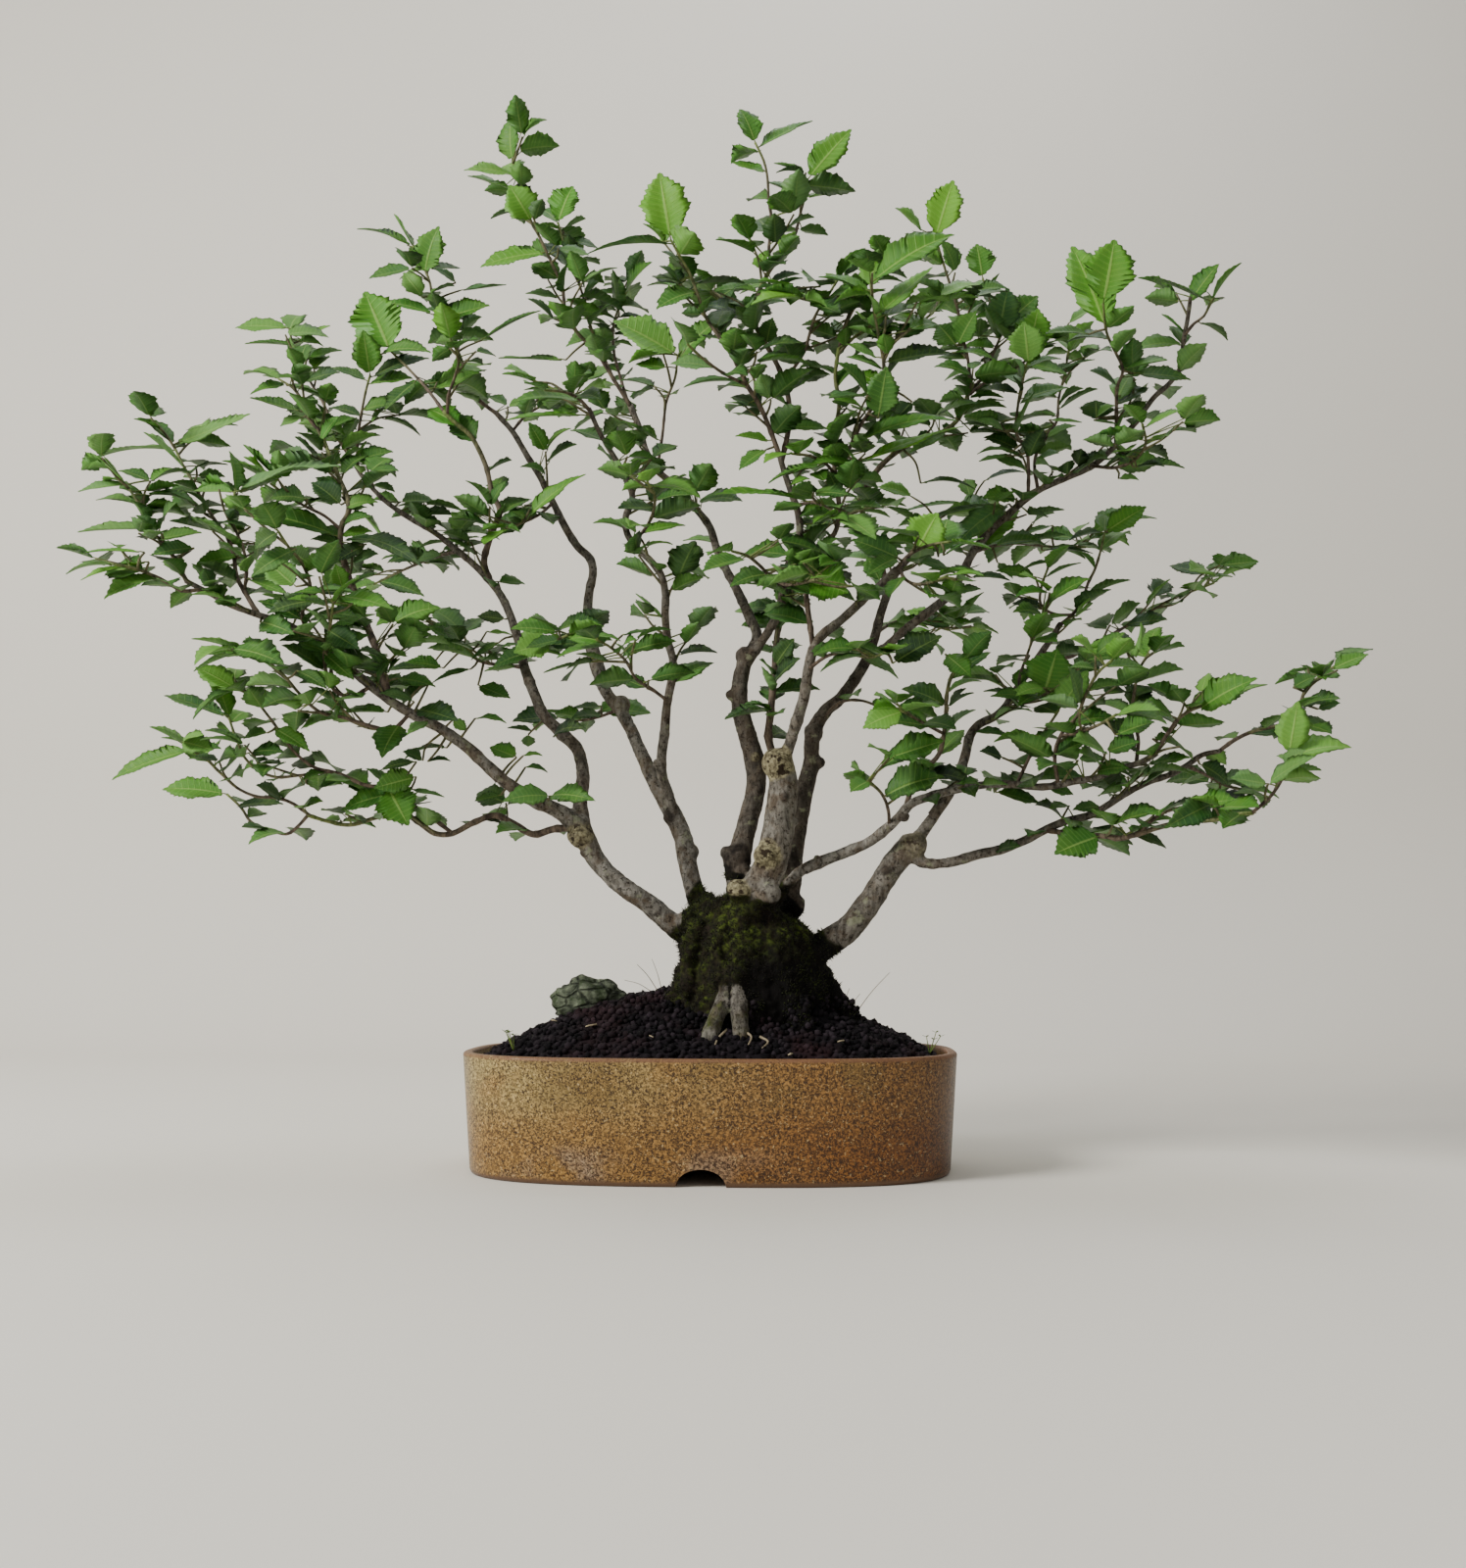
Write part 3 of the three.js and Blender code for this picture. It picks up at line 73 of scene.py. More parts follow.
# The pot, soil and stone of the frame, in millimetres
POT = {"half_length": 185.5, "half_depth": 110, "height": 88, "taper": 6, "wall": 7, "floor_from": 13,
       "floor_to": 21, "rim": 2.2, "ring": 16, "corner": 3}
NOTCH = {"x": 0, "half_width": 17.5, "height": 12.5}
DRAIN = {"radius": 9, "x": 90}
SOIL = {"edge": 80, "crest": 136, "along": 1.75, "across": 1.15, "round": 0.9}
STONE = {"x": -96, "y": 8, "z": 122, "size": (29, 20, 20)}

# The photograph's viewing point, in millimetres
VIEW = np.array([78.0, -1139.0, 164.0])


def seen(x, z, y):
    """The true place of a point drawn at (x, z) on the front plane, as seen from VIEW, at depth y."""
    share = (y - VIEW[1]) / -VIEW[1]
    return np.array([VIEW[0] + (x - VIEW[0]) * share, y, VIEW[2] + (z - VIEW[2]) * share])


# The seeded draws that the frame's tree and this one share
STATES = 2 ** 32
state = 20240


def draw(low, high):
    global state
    state = (state * 1664525 + 1013904223) % STATES
    return low + ((high - low) * state) / STATES


# Stems and thick branches: name, parent, radii from base to tip, depths, and the drawn route
WOOD = [
    ["stump", None, [50, 60, 65, 63, 54, 44, 28], [6, 4],
      [[34, 66], [34, 90], [34, 112], [33, 134], [29, 157], [22, 180], [21, 201]]],
    ["low_left", "stump", [13, 8.8, 7.6, 7.2, 8.2], [-4, -30],
      [[12, 167], [-22, 177], [-38, 190], [-52, 201], [-66, 210], [-80, 222], [-92, 236], [-104, 262]]],
    ["left_arm", "low_left", [6.6, 4.6, 3.4, 2.6, 1.9], [None, -95],
      [[-101, 258], [-120, 271], [-142, 281], [-162, 294], [-178, 308], [-195, 323], [-215, 337],
       [-240, 350], [-262, 364], [-282, 380], [-300, 396], [-322, 411], [-342, 423], [-366, 431],
       [-388, 439], [-408, 450], [-427, 460]]],
    ["left_fork", "low_left", [6, 4.6, 3.4, 2.4, 1.7], [None, 80],
      [[-101, 259], [-103, 282], [-101, 300], [-106, 320], [-120, 334], [-134, 349], [-141, 365],
       [-149, 386], [-154, 407], [-161, 428], [-170, 446], [-186, 465], [-204, 481], [-224, 497],
       [-244, 509], [-264, 523], [-283, 543], [-293, 559]]],
    ["second", "stump", [9.5, 7.8, 7.6, 7.4, 5.9, 5.3, 5.2, 6.2, 4.2, 3.6, 3.4, 3.1, 2.8, 2.5, 2.2], [12, 95],
      [[4, 180], [-9, 198], [-15, 216], [-20, 236], [-22, 250], [-28, 264], [-38, 282], [-48, 300],
       [-56, 318], [-64, 336], [-73, 352], [-84, 366], [-91, 386], [-96, 406], [-99, 426],
       [-98, 446], [-95, 462], [-98, 474], [-108, 484], [-118, 500], [-128, 520], [-138, 540],
       [-150, 560], [-162, 580], [-176, 596]]],
    ["third", "second", [4.4, 3.4, 2.6, 1.7], [None, -70],
      [[-27, 262], [-33, 282], [-39, 300], [-39, 316], [-37, 332], [-36, 348], [-34, 362],
       [-31, 378], [-31, 392], [-35, 406], [-37, 424], [-37, 442], [-40, 458], [-48, 470],
       [-60, 482], [-68, 494], [-69, 508], [-64, 524], [-72, 545], [-82, 562], [-92, 580],
       [-100, 598]]],
    ["mid_left", "stump", [11, 10, 8.6, 7.6, 8, 7.2, 6.4, 6], [-10, -14],
      [[26, 186], [20, 222], [24, 245], [30, 268], [35, 290], [34, 308], [28, 330], [23, 350],
       [22, 368], [25, 386], [30, 398]]],
    ["mid_back", "mid_left", [4.6, 3.4, 2.8, 2.2], [None, 65],
      [[27, 388], [36, 408], [30, 424], [22, 442], [12, 462], [4, 480], [-2, 498], [-12, 512],
       [-28, 530], [-44, 546], [-53, 562], [-59, 582], [-66, 600]]],
    ["mid_front", "mid_left", [4.2, 3, 2.2], [None, -55],
      [[27, 384], [43, 410], [53, 428], [57, 446], [60, 464], [69, 486], [69, 506], [63, 526],
       [57, 545], [54, 556]]],
    ["centre", "stump", [17, 13.5, 12.4, 12.2, 11.6, 10.5], [-26, -34],
      [[24, 182], [36, 208], [46, 229], [51, 250], [54, 272], [56, 292], [53, 311]]],
    ["centre_right", "centre", [5, 3.8, 2.6], [None, -75],
      [[57, 300], [62, 326], [68, 344], [73, 362], [76, 382], [81, 400], [88, 410], [102, 421],
       [118, 436], [134, 450], [146, 462]]],
    ["back_right", "stump", [13, 9.4, 7, 5.2, 3.8, 2.6], [30, 80],
      [[46, 176], [58, 208], [62, 235], [67, 262], [73, 288], [78, 308], [79, 330], [88, 347],
       [102, 360], [114, 376], [123, 392], [129, 410], [134, 428], [140, 446], [147, 460],
       [160, 474]]],
    ["right_arch", "back_right", [4, 3.4, 2.8, 2.2, 1.6], [None, 30],
      [[121, 388], [140, 402], [155, 415], [172, 428], [188, 441], [198, 458], [206, 474],
       [218, 489], [236, 506], [254, 521], [274, 531], [294, 539], [308, 548], [322, 562],
       [336, 578], [350, 597], [364, 610], [373, 624], [375, 642], [379, 662], [382, 680]]],
    ["thin_right", "stump", [4.6, 4, 3.2, 2.6, 2], [0, -85],
      [[46, 198], [66, 221], [86, 231], [104, 238], [122, 246], [138, 258], [148, 268], [156, 276],
       [172, 282], [192, 287], [212, 290], [234, 290], [256, 288], [280, 292], [300, 296],
       [316, 302], [332, 307], [344, 314]]],
    ["low_right", "stump", [17, 11, 9.8, 9.4, 9.6], [4, -12],
      [[58, 148], [86, 166], [104, 178], [118, 194], [130, 212], [142, 230], [156, 246]]],
    ["right_up", "low_right", [5.2, 4, 3, 2.2], [None, 60],
      [[152, 240], [164, 254], [175, 270], [184, 283], [192, 297], [197, 312], [201, 328],
       [208, 337], [220, 343], [229, 351], [236, 362], [246, 377], [256, 391], [266, 405],
       [273, 416]]],
    ["right_low", "low_right", [4.4, 3.4, 2.6, 1.8], [None, -60],
      [[150, 237], [168, 229], [188, 231], [206, 236], [224, 240], [240, 246], [256, 254],
       [272, 261], [292, 266], [306, 274], [320, 283], [336, 291], [354, 297], [366, 304],
       [378, 312], [392, 315]]],
]

# Leafy branches and their twigs, in the same form
TWIGS = [
    ["left_whip", "low_left", [3.2, 1.6], [None, 30],
      [[-104, 258], [-124, 257], [-140, 253], [-155, 261], [-170, 268], [-186, 263], [-204, 254],
       [-218, 254], [-230, 262], [-248, 272], [-268, 266], [-286, 261], [-304, 264], [-320, 269]]],
    ["whip_tip", "left_whip", [1.5, 1], [None, 10],
      [[-318, 268], [-332, 278], [-346, 283], [-362, 284], [-378, 291], [-392, 303], [-404, 314],
       [-416, 322]]],
    ["whip_drop", "left_whip", [1.5, 1], [None, 55],
      [[-320, 269], [-328, 260], [-337, 254], [-352, 258], [-366, 264], [-374, 275], [-386, 286]]],
    ["low_run", "left_whip", [1.8, 1], [None, -35],
      [[-204, 254], [-220, 266], [-238, 278], [-256, 290], [-276, 293], [-300, 303], [-325, 301],
       [-350, 300], [-370, 312], [-380, 330], [-387, 348]]],
    ["low_run_up", "low_run", [1.4, 1], [None, -60],
      [[-300, 303], [-318, 308], [-334, 321], [-345, 336], [-356, 350], [-368, 364], [-382, 371]]],
    ["mid_run", "left_arm", [1.7, 1], [None, -130],
      [[-240, 350], [-254, 337], [-272, 340], [-294, 347], [-312, 351], [-325, 361], [-336, 373],
       [-347, 385], [-360, 394], [-374, 399]]],
    ["arm_loop", "left_arm", [1.6, 1], [None, -125],
      [[-272, 372], [-288, 364], [-302, 369], [-309, 384], [-311, 400], [-307, 420], [-305, 440]]],
    ["arm_tip", "left_arm", [1.8, 1], [None, -95],
      [[-426, 460], [-434, 473], [-442, 486], [-455, 500], [-464, 513], [-471, 528], [-480, 541]]],
    ["arm_riser", "left_arm", [2, 1], [None, -30],
      [[-366, 431], [-376, 447], [-385, 463], [-388, 480], [-394, 496], [-404, 509], [-416, 527],
       [-426, 545], [-434, 558], [-442, 574]]],
    ["arm_riser_low", "arm_riser", [1.4, 1], [None, -85],
      [[-378, 451], [-377, 470], [-381, 488], [-389, 505], [-391, 520], [-389, 534]]],
    ["arm_middle", "left_arm", [1.6, 1], [None, -150],
      [[-322, 411], [-330, 430], [-324, 452], [-331, 472], [-344, 488], [-352, 500]]],
    ["arm_left", "left_arm", [1.7, 1], [None, -140],
      [[-400, 446], [-413, 452], [-430, 452], [-448, 462], [-468, 470], [-486, 474]]],
    ["left_riser", "left_arm", [3.4, 1.7], [None, 10],
      [[-258, 361], [-264, 385], [-270, 405], [-279, 425], [-286, 443], [-294, 465], [-300, 485],
       [-300, 503], [-294, 520], [-303, 543], [-313, 566], [-320, 584]]],
    ["riser_tip", "left_riser", [1.5, 1], [None, 10],
      [[-319, 582], [-330, 594], [-335, 608], [-344, 620], [-356, 628]]],
    ["riser_side", "left_riser", [1.4, 1], [None, -40],
      [[-300, 500], [-314, 512], [-330, 520], [-346, 530], [-360, 540]]],
    ["fork_tip", "left_fork", [1.6, 1], [None, 110],
      [[-292, 558], [-303, 573], [-311, 590], [-319, 608], [-329, 624], [-338, 642], [-345, 657],
       [-349, 671]]],
    ["fork_side", "left_fork", [1.5, 1], [None, 55],
      [[-288, 551], [-289, 575], [-286, 600], [-283, 618], [-280, 630]]],
    ["fork_back", "left_fork", [1.6, 1], [None, 168],
      [[-204, 481], [-222, 477], [-240, 470], [-258, 462], [-272, 455]]],
    ["fork_low", "left_fork", [1.7, 1], [None, 130],
      [[-149, 386], [-166, 388], [-184, 391], [-198, 402], [-210, 415], [-224, 424], [-240, 432]]],
    ["fork_short", "left_fork", [1.5, 1], [None, -20],
      [[-153, 400], [-140, 401], [-127, 406], [-114, 412]]],
    ["left_bow", "left_fork", [3, 1.8], [None, 25],
      [[-178, 456], [-183, 472], [-180, 487], [-175, 502], [-171, 514], [-178, 530], [-182, 548],
       [-189, 565], [-197, 578], [-208, 587], [-219, 598]]],
    ["bow_tip", "left_bow", [1.5, 1], [None, 55], [[-218, 597], [-232, 616], [-248, 634], [-264, 650]]],
    ["bow_up", "left_bow", [1.5, 1], [None, -15],
      [[-216, 594], [-215, 611], [-210, 627], [-207, 643], [-214, 658]]],
    ["second_tip", "second", [2, 1], [None, 125],
      [[-175, 595], [-188, 605], [-199, 616], [-202, 632], [-208, 648], [-216, 664], [-224, 680],
       [-230, 696], [-234, 712], [-247, 739]]],
    ["second_right", "second", [1.5, 1], [None, 165],
      [[-162, 580], [-152, 592], [-138, 601], [-122, 606], [-106, 612]]],
    ["second_mid", "second", [1.5, 1], [None, 20], [[-128, 520], [-138, 511], [-152, 504], [-166, 499]]],
    ["second_low", "second", [1.6, 1], [None, 90], [[-73, 352], [-88, 346], [-104, 343], [-122, 346]]],
    ["third_side", "third", [1.5, 1], [None, -85],
      [[-35, 358], [-48, 368], [-60, 376], [-68, 390], [-80, 401], [-92, 408]]],
    ["third_tip", "third", [1.5, 1], [None, -115], [[-99, 596], [-108, 606], [-120, 612], [-136, 614]]],
    ["third_mid", "third", [1.5, 1], [None, -120],
      [[-65, 488], [-56, 494], [-48, 508], [-46, 524], [-52, 536]]],
    ["back_tip", "mid_back", [2, 1], [None, 45],
      [[-65, 598], [-80, 622], [-94, 645], [-110, 662], [-120, 682], [-123, 702], [-132, 722],
       [-142, 744], [-149, 757], [-154, 775], [-160, 795], [-166, 811]]],
    ["back_tip_side", "back_tip", [1.5, 1], [None, 105],
      [[-80, 622], [-92, 650], [-101, 672], [-106, 694], [-113, 714], [-121, 736], [-127, 756]]],
    ["back_low", "mid_back", [1.6, 1], [None, 130],
      [[-56, 572], [-66, 596], [-74, 622], [-80, 646], [-80, 670], [-72, 692], [-64, 708]]],
    ["lone_riser", "mid_back", [1.5, 1], [None, 10],
      [[-44, 546], [-40, 575], [-37, 602], [-30, 622], [-28, 641]]],
    ["crown_left", "mid_front", [2.2, 1], [None, -80],
      [[54, 555], [46, 579], [38, 598], [28, 615], [18, 636], [6, 655], [-5, 672], [-12, 692],
       [-18, 709], [-25, 722], [-34, 739]]],
    ["crown_left_low", "crown_left", [1.4, 1], [None, -130],
      [[28, 615], [14, 622], [2, 630], [-10, 640], [-20, 650]]],
    ["crown", "mid_front", [2.4, 1.7], [None, 0],
      [[55, 550], [61, 576], [62, 598], [57, 620], [48, 640], [38, 658], [33, 673], [37, 691],
       [44, 706], [50, 716]]],
    ["crown_right", "crown", [1.5, 1], [None, -50],
      [[58, 618], [67, 630], [75, 643], [79, 658], [84, 673], [93, 687], [101, 701]]],
    ["crown_top", "crown", [1.5, 1], [None, -15],
      [[49, 714], [46, 727], [47, 741], [48, 756], [46, 772], [45, 790], [42, 805], [35, 821]]],
    ["crown_top_side", "crown", [1.4, 1], [None, 30],
      [[46, 709], [58, 726], [67, 740], [71, 756], [75, 771], [78, 788]]],
    ["crown_back", "crown", [1.5, 1], [None, 110],
      [[36, 664], [24, 672], [10, 680], [-4, 688], [-20, 694]]],
    ["crown_front", "crown", [1.4, 1], [None, -70], [[36, 690], [50, 691], [66, 688], [80, 684]]],
    ["front_low", "mid_front", [1.6, 1], [None, -150],
      [[57, 446], [48, 455], [38, 466], [28, 474], [16, 478]]],
    ["front_low_side", "front_low", [1.4, 1], [None, -165], [[48, 455], [60, 450], [74, 452], [90, 456]]],
    ["front_up", "mid_front", [1.5, 1], [None, -120], [[67, 514], [80, 517], [92, 512], [104, 505]]],
    ["centre_thin", "centre", [3.4, 1.6], [None, 40],
      [[50, 300], [45, 325], [46, 345], [48, 365], [50, 388], [52, 412], [58, 432], [66, 452],
       [74, 475], [86, 492], [100, 503], [118, 510]]],
    ["centre_whip", "centre_right", [2.4, 1.5], [None, -40],
      [[80, 397], [78, 415], [75, 438], [75, 455], [80, 470], [90, 482], [99, 495], [101, 515],
       [98, 538], [98, 558], [99, 578], [102, 598], [99, 620], [102, 644]]],
    ["whip_left", "centre_whip", [1.4, 1], [None, -90], [[98, 540], [90, 549], [78, 555], [64, 557]]],
    ["whip_up", "centre_whip", [1.4, 1], [None, -30], [[102, 640], [106, 660], [112, 676], [118, 690]]],
    ["whip_stem", "centre_whip", [1.8, 1], [None, -95],
      [[99, 532], [108, 556], [118, 578], [129, 595], [136, 611], [138, 628], [135, 648], [131, 672],
       [128, 698]]],
    ["whip_stem_side", "whip_stem", [1.4, 1], [None, -60],
      [[138, 636], [150, 652], [165, 662], [178, 672]]],
    ["right_mid", "back_right", [3.2, 1.8], [None, 75],
      [[139, 444], [132, 470], [122, 495], [120, 520], [130, 540], [146, 556], [164, 566],
       [184, 573], [197, 584], [204, 602], [208, 612]]],
    ["mid_up", "right_mid", [1.5, 1], [None, 55],
      [[207, 609], [205, 632], [201, 652], [198, 672], [193, 691], [187, 712], [181, 735]]],
    ["mid_up_back", "right_mid", [1.5, 1], [None, 130],
      [[206, 606], [219, 620], [224, 634], [230, 648], [234, 662], [224, 680], [218, 700]]],
    ["mid_right", "right_mid", [1.5, 1], [None, 90],
      [[204, 602], [220, 614], [237, 622], [252, 631], [264, 641]]],
    ["arch_up", "right_arch", [1.6, 1], [None, 20],
      [[250, 518], [251, 545], [249, 560], [242, 570], [244, 595], [248, 613], [251, 627]]],
    ["arch_up_back", "right_arch", [1.6, 1], [None, 120],
      [[258, 523], [256, 548], [265, 566], [274, 580], [276, 598], [281, 618], [285, 638]]],
    ["arch_rise", "right_arch", [1.7, 1], [None, -20],
      [[320, 560], [321, 586], [322, 606], [327, 621], [321, 637], [315, 653], [313, 676]]],
    ["arch_tip", "right_arch", [1.4, 1], [None, 20], [[376, 648], [384, 658], [392, 664], [398, 676]]],
    ["arch_under", "right_arch", [1.5, 1], [None, -40],
      [[300, 543], [318, 541], [334, 547], [343, 560], [341, 576]]],
    ["arch_low", "right_arch", [1.6, 1], [None, 150],
      [[206, 474], [222, 479], [240, 481], [258, 479], [276, 477], [294, 477]]],
    ["heart", "centre_right", [1.6, 1], [None, -120],
      [[145, 461], [154, 471], [163, 477], [174, 481], [188, 483]]],
    ["heart_low", "heart", [1.4, 1], [None, -140],
      [[154, 471], [150, 458], [158, 450], [172, 450], [186, 456]]],
    ["centre_low", "centre_right", [1.5, 1], [None, -125],
      [[76, 382], [92, 393], [108, 394], [124, 391], [138, 395]]],
    ["back_short", "back_right", [1.6, 1], [None, 10],
      [[84, 341], [100, 355], [116, 357], [132, 352], [148, 350]]],
    ["back_out", "back_right", [1.6, 1], [None, 165],
      [[129, 410], [142, 418], [156, 421], [170, 417], [186, 412]]],
    ["back_end", "back_right", [1.7, 1], [None, 170],
      [[159, 473], [168, 488], [178, 500], [192, 509], [206, 514]]],
    ["right_spur", "thin_right", [2.2, 1.3], [None, -80],
      [[150, 270], [156, 288], [166, 302], [177, 314], [181, 330], [183, 350], [184, 362],
       [188, 376], [198, 388]]],
    ["right_spur_left", "right_spur", [1.3, 1], [None, -110],
      [[181, 330], [170, 336], [158, 343], [146, 350]]],
    ["right_short", "thin_right", [1.5, 1], [None, -70],
      [[138, 258], [137, 272], [132, 284], [122, 294]]],
    ["rise_a", "thin_right", [1.5, 1], [None, -35],
      [[236, 290], [244, 306], [252, 322], [262, 336], [270, 348]]],
    ["rise_b", "thin_right", [1.6, 1], [None, -135],
      [[268, 290], [266, 312], [272, 330], [284, 343], [290, 358], [300, 376], [312, 387]]],
    ["rise_b_side", "rise_b", [1.4, 1], [None, -155], [[271, 328], [284, 330], [300, 336], [314, 344]]],
    ["rise_tip", "thin_right", [1.6, 1], [None, -105],
      [[343, 313], [352, 328], [362, 341], [376, 349], [392, 353]]],
    ["rise_c", "thin_right", [1.5, 1], [None, -60],
      [[328, 306], [330, 326], [326, 344], [328, 360], [332, 378], [340, 392]]],
    ["up_tip", "right_up", [1.7, 1], [None, 85],
      [[272, 415], [282, 423], [290, 434], [295, 448], [301, 460], [306, 476], [309, 489]]],
    ["up_tip_left", "up_tip", [1.4, 1], [None, 20],
      [[282, 423], [268, 424], [258, 432], [259, 446], [264, 460]]],
    ["up_long", "right_up", [1.7, 1], [None, 125],
      [[258, 394], [276, 389], [292, 396], [310, 406], [328, 416], [344, 426], [360, 435],
       [376, 441], [392, 447]]],
    ["up_low", "right_up", [1.5, 1], [None, -20], [[228, 350], [242, 353], [255, 358], [268, 365]]],
    ["up_low_back", "up_low", [1.4, 1], [None, 20],
      [[242, 353], [240, 372], [246, 390], [252, 406], [258, 420]]],
    ["low_tip", "right_low", [1.7, 1], [None, -18],
      [[391, 315], [404, 324], [420, 331], [438, 335], [452, 344], [458, 362], [472, 374],
       [484, 382]]],
    ["low_side", "right_low", [1.5, 1], [None, 0], [[366, 304], [382, 296], [396, 288], [412, 284]]],
    ["low_front", "right_low", [2.4, 1.5], [None, -160],
      [[258, 255], [280, 251], [300, 250], [314, 248], [330, 252], [346, 257], [366, 261],
       [386, 262], [402, 266], [415, 267]]],
    ["low_front_tip", "low_front", [1.4, 1], [None, -175],
      [[414, 267], [427, 278], [436, 290], [441, 302], [444, 312]]],
    ["low_front_mid", "low_front", [1.4, 1], [None, -130],
      [[329, 252], [340, 263], [354, 270], [370, 273]]],
]

# Leaves that stand out: twig, foot, tip, width, tilt from face-on to flat, depth of tip past foot
SHOWN_LEAVES = [
    ["crown_top", [41, 818], [82, 841], 18, 50, 10],
    ["crown_top_side", [78, 789], [114, 831], 27, 15, 0],
    ["crown_left", [-34, 740], [-44, 799], 36, 8, -6],
    ["crown_left", [-31, 736], [-103, 738], 24, 72, -10],
    ["crown_left", [-22, 718], [18, 734], 18, 50, -8],
    ["back_tip", [-149, 758], [-168, 791], 30, 12, -8],
    ["back_tip_side", [-127, 757], [-115, 788], 28, 15, 4],
    ["back_tip", [-160, 797], [-206, 809], 16, 40, 0],
    ["back_tip", [-136, 731], [-192, 724], 30, 35, -8],
    ["second_tip", [-235, 715], [-227, 757], 28, 20, 0],
    ["second_tip", [-246, 738], [-295, 757], 13, 55, 6],
    ["second_tip", [-222, 677], [-184, 690], 26, 30, -8],
    ["bow_tip", [-264, 651], [-287, 702], 44, 8, -8],
    ["bow_tip", [-240, 626], [-268, 600], 20, 60, -20],
    ["fork_tip", [-349, 672], [-396, 678], 24, 38, 0],
    ["fork_tip", [-344, 656], [-386, 660], 20, 60, -10],
    ["arm_riser", [-442, 575], [-380, 601], 22, 35, -8],
    ["arm_riser", [-440, 569], [-512, 566], 16, 78, 6],
    ["arm_riser_low", [-389, 533], [-304, 556], 26, 50, -12],
    ["left_riser", [-300, 494], [-393, 521], 30, 42, -30],
    ["left_riser", [-300, 490], [-236, 482], 22, 68, -20],
    ["arm_tip", [-480, 541], [-521, 537], 15, 48, 0],
    ["arm_tip", [-458, 503], [-520, 506], 20, 58, -14],
    ["arm_left", [-486, 474], [-528, 470], 18, 70, -4],
    ["arm_left", [-448, 462], [-496, 452], 26, 50, -22],
    ["low_run", [-387, 348], [-441, 369], 20, 58, 0],
    ["low_run_up", [-382, 371], [-420, 352], 18, 65, -12],
    ["whip_drop", [-386, 286], [-440, 294], 26, 38, -8],
    ["whip_tip", [-416, 322], [-484, 303], 24, 45, -6],
    ["low_run", [-256, 290], [-240, 262], 32, 25, -10],
    ["low_run", [-250, 287], [-296, 276], 22, 30, -14],
    ["fork_short", [-126, 406], [-158, 398], 28, 22, -8],
    ["lone_riser", [-28, 642], [-80, 674], 36, 28, -10],
    ["lone_riser", [-29, 636], [4, 674], 24, 30, -14],
    ["front_up", [80, 517], [2, 525], 22, 58, -24],
    ["whip_left", [90, 549], [44, 540], 18, 62, -8],
    ["whip_stem", [110, 562], [192, 592], 24, 48, -26],
    ["whip_stem", [128, 699], [195, 742], 30, 32, -8],
    ["whip_stem", [129, 690], [88, 712], 18, 58, 10],
    ["whip_stem", [132, 670], [178, 712], 20, 48, 10],
    ["mid_up", [181, 736], [196, 785], 30, 12, 0],
    ["mid_up_back", [218, 700], [214, 731], 26, 8, 0],
    ["mid_up_back", [233, 657], [262, 686], 30, 25, 10],
    ["mid_right", [253, 632], [262, 675], 32, 15, -10],
    ["arch_rise", [313, 677], [324, 731], 38, 8, -10],
    ["arch_rise", [315, 655], [290, 728], 38, 12, 12],
    ["arch_tip", [398, 676], [352, 700], 20, 60, -10],
    ["arch_tip", [386, 660], [411, 646], 16, 60, 0],
    ["up_tip", [309, 490], [342, 511], 22, 22, -6],
    ["up_tip", [304, 472], [330, 494], 18, 50, 10],
    ["low_tip", [478, 378], [507, 391], 16, 45, 0],
    ["rise_tip", [376, 349], [420, 373], 24, 38, -10],
    ["low_front", [300, 250], [264, 238], 32, 40, -10],
    ["right_short", [124, 295], [108, 286], 18, 50, -8],
    ["right_short", [142, 284], [178, 300], 32, 40, -14],
    ["front_low", [28, 474], [-8, 464], 22, 55, -10],
    ["front_low_side", [76, 452], [108, 444], 34, 22, -6],
    ["heart", [163, 477], [179, 507], 30, 12, -8],
    ["heart", [172, 480], [216, 492], 16, 62, -10],
    ["arch_low", [210, 476], [242, 512], 28, 38, -12],
    ["up_low", [260, 361], [270, 396], 40, 15, -8],
    ["right_spur_left", [150, 348], [118, 336], 22, 30, -6],
    ["second_mid", [-150, 505], [-102, 544], 18, 42, -14],
]

# Surface roots: radii and true points
ROOTS = [
    [[5, 6, 8], [[18, -46, 152], [13, -57, 128], [4.5, -64, 104], [0, -64, 84]]],
    [[6.5, 6.5, 6], [[23, -48, 150], [24, -59, 126], [26, -65, 100], [28, -65, 84]]],
    [[13, 10, 6], [[2, -14, 148], [-18, -18, 132], [-30, -24, 112], [-36, -28, 96]]],
    [[13, 10, 7], [[70, -8, 152], [87, -14, 134], [104, -18, 112], [112, -20, 96]]],
    [[11, 8, 6], [[52, -34, 146], [66, -50, 120], [76, -58, 96]]],
    [[12, 9, 6], [[70, 28, 144], [92, 42, 120], [104, 50, 98]]],
    [[12, 9, 6], [[4, 32, 144], [-16, 48, 120], [-26, 58, 98]]],
]

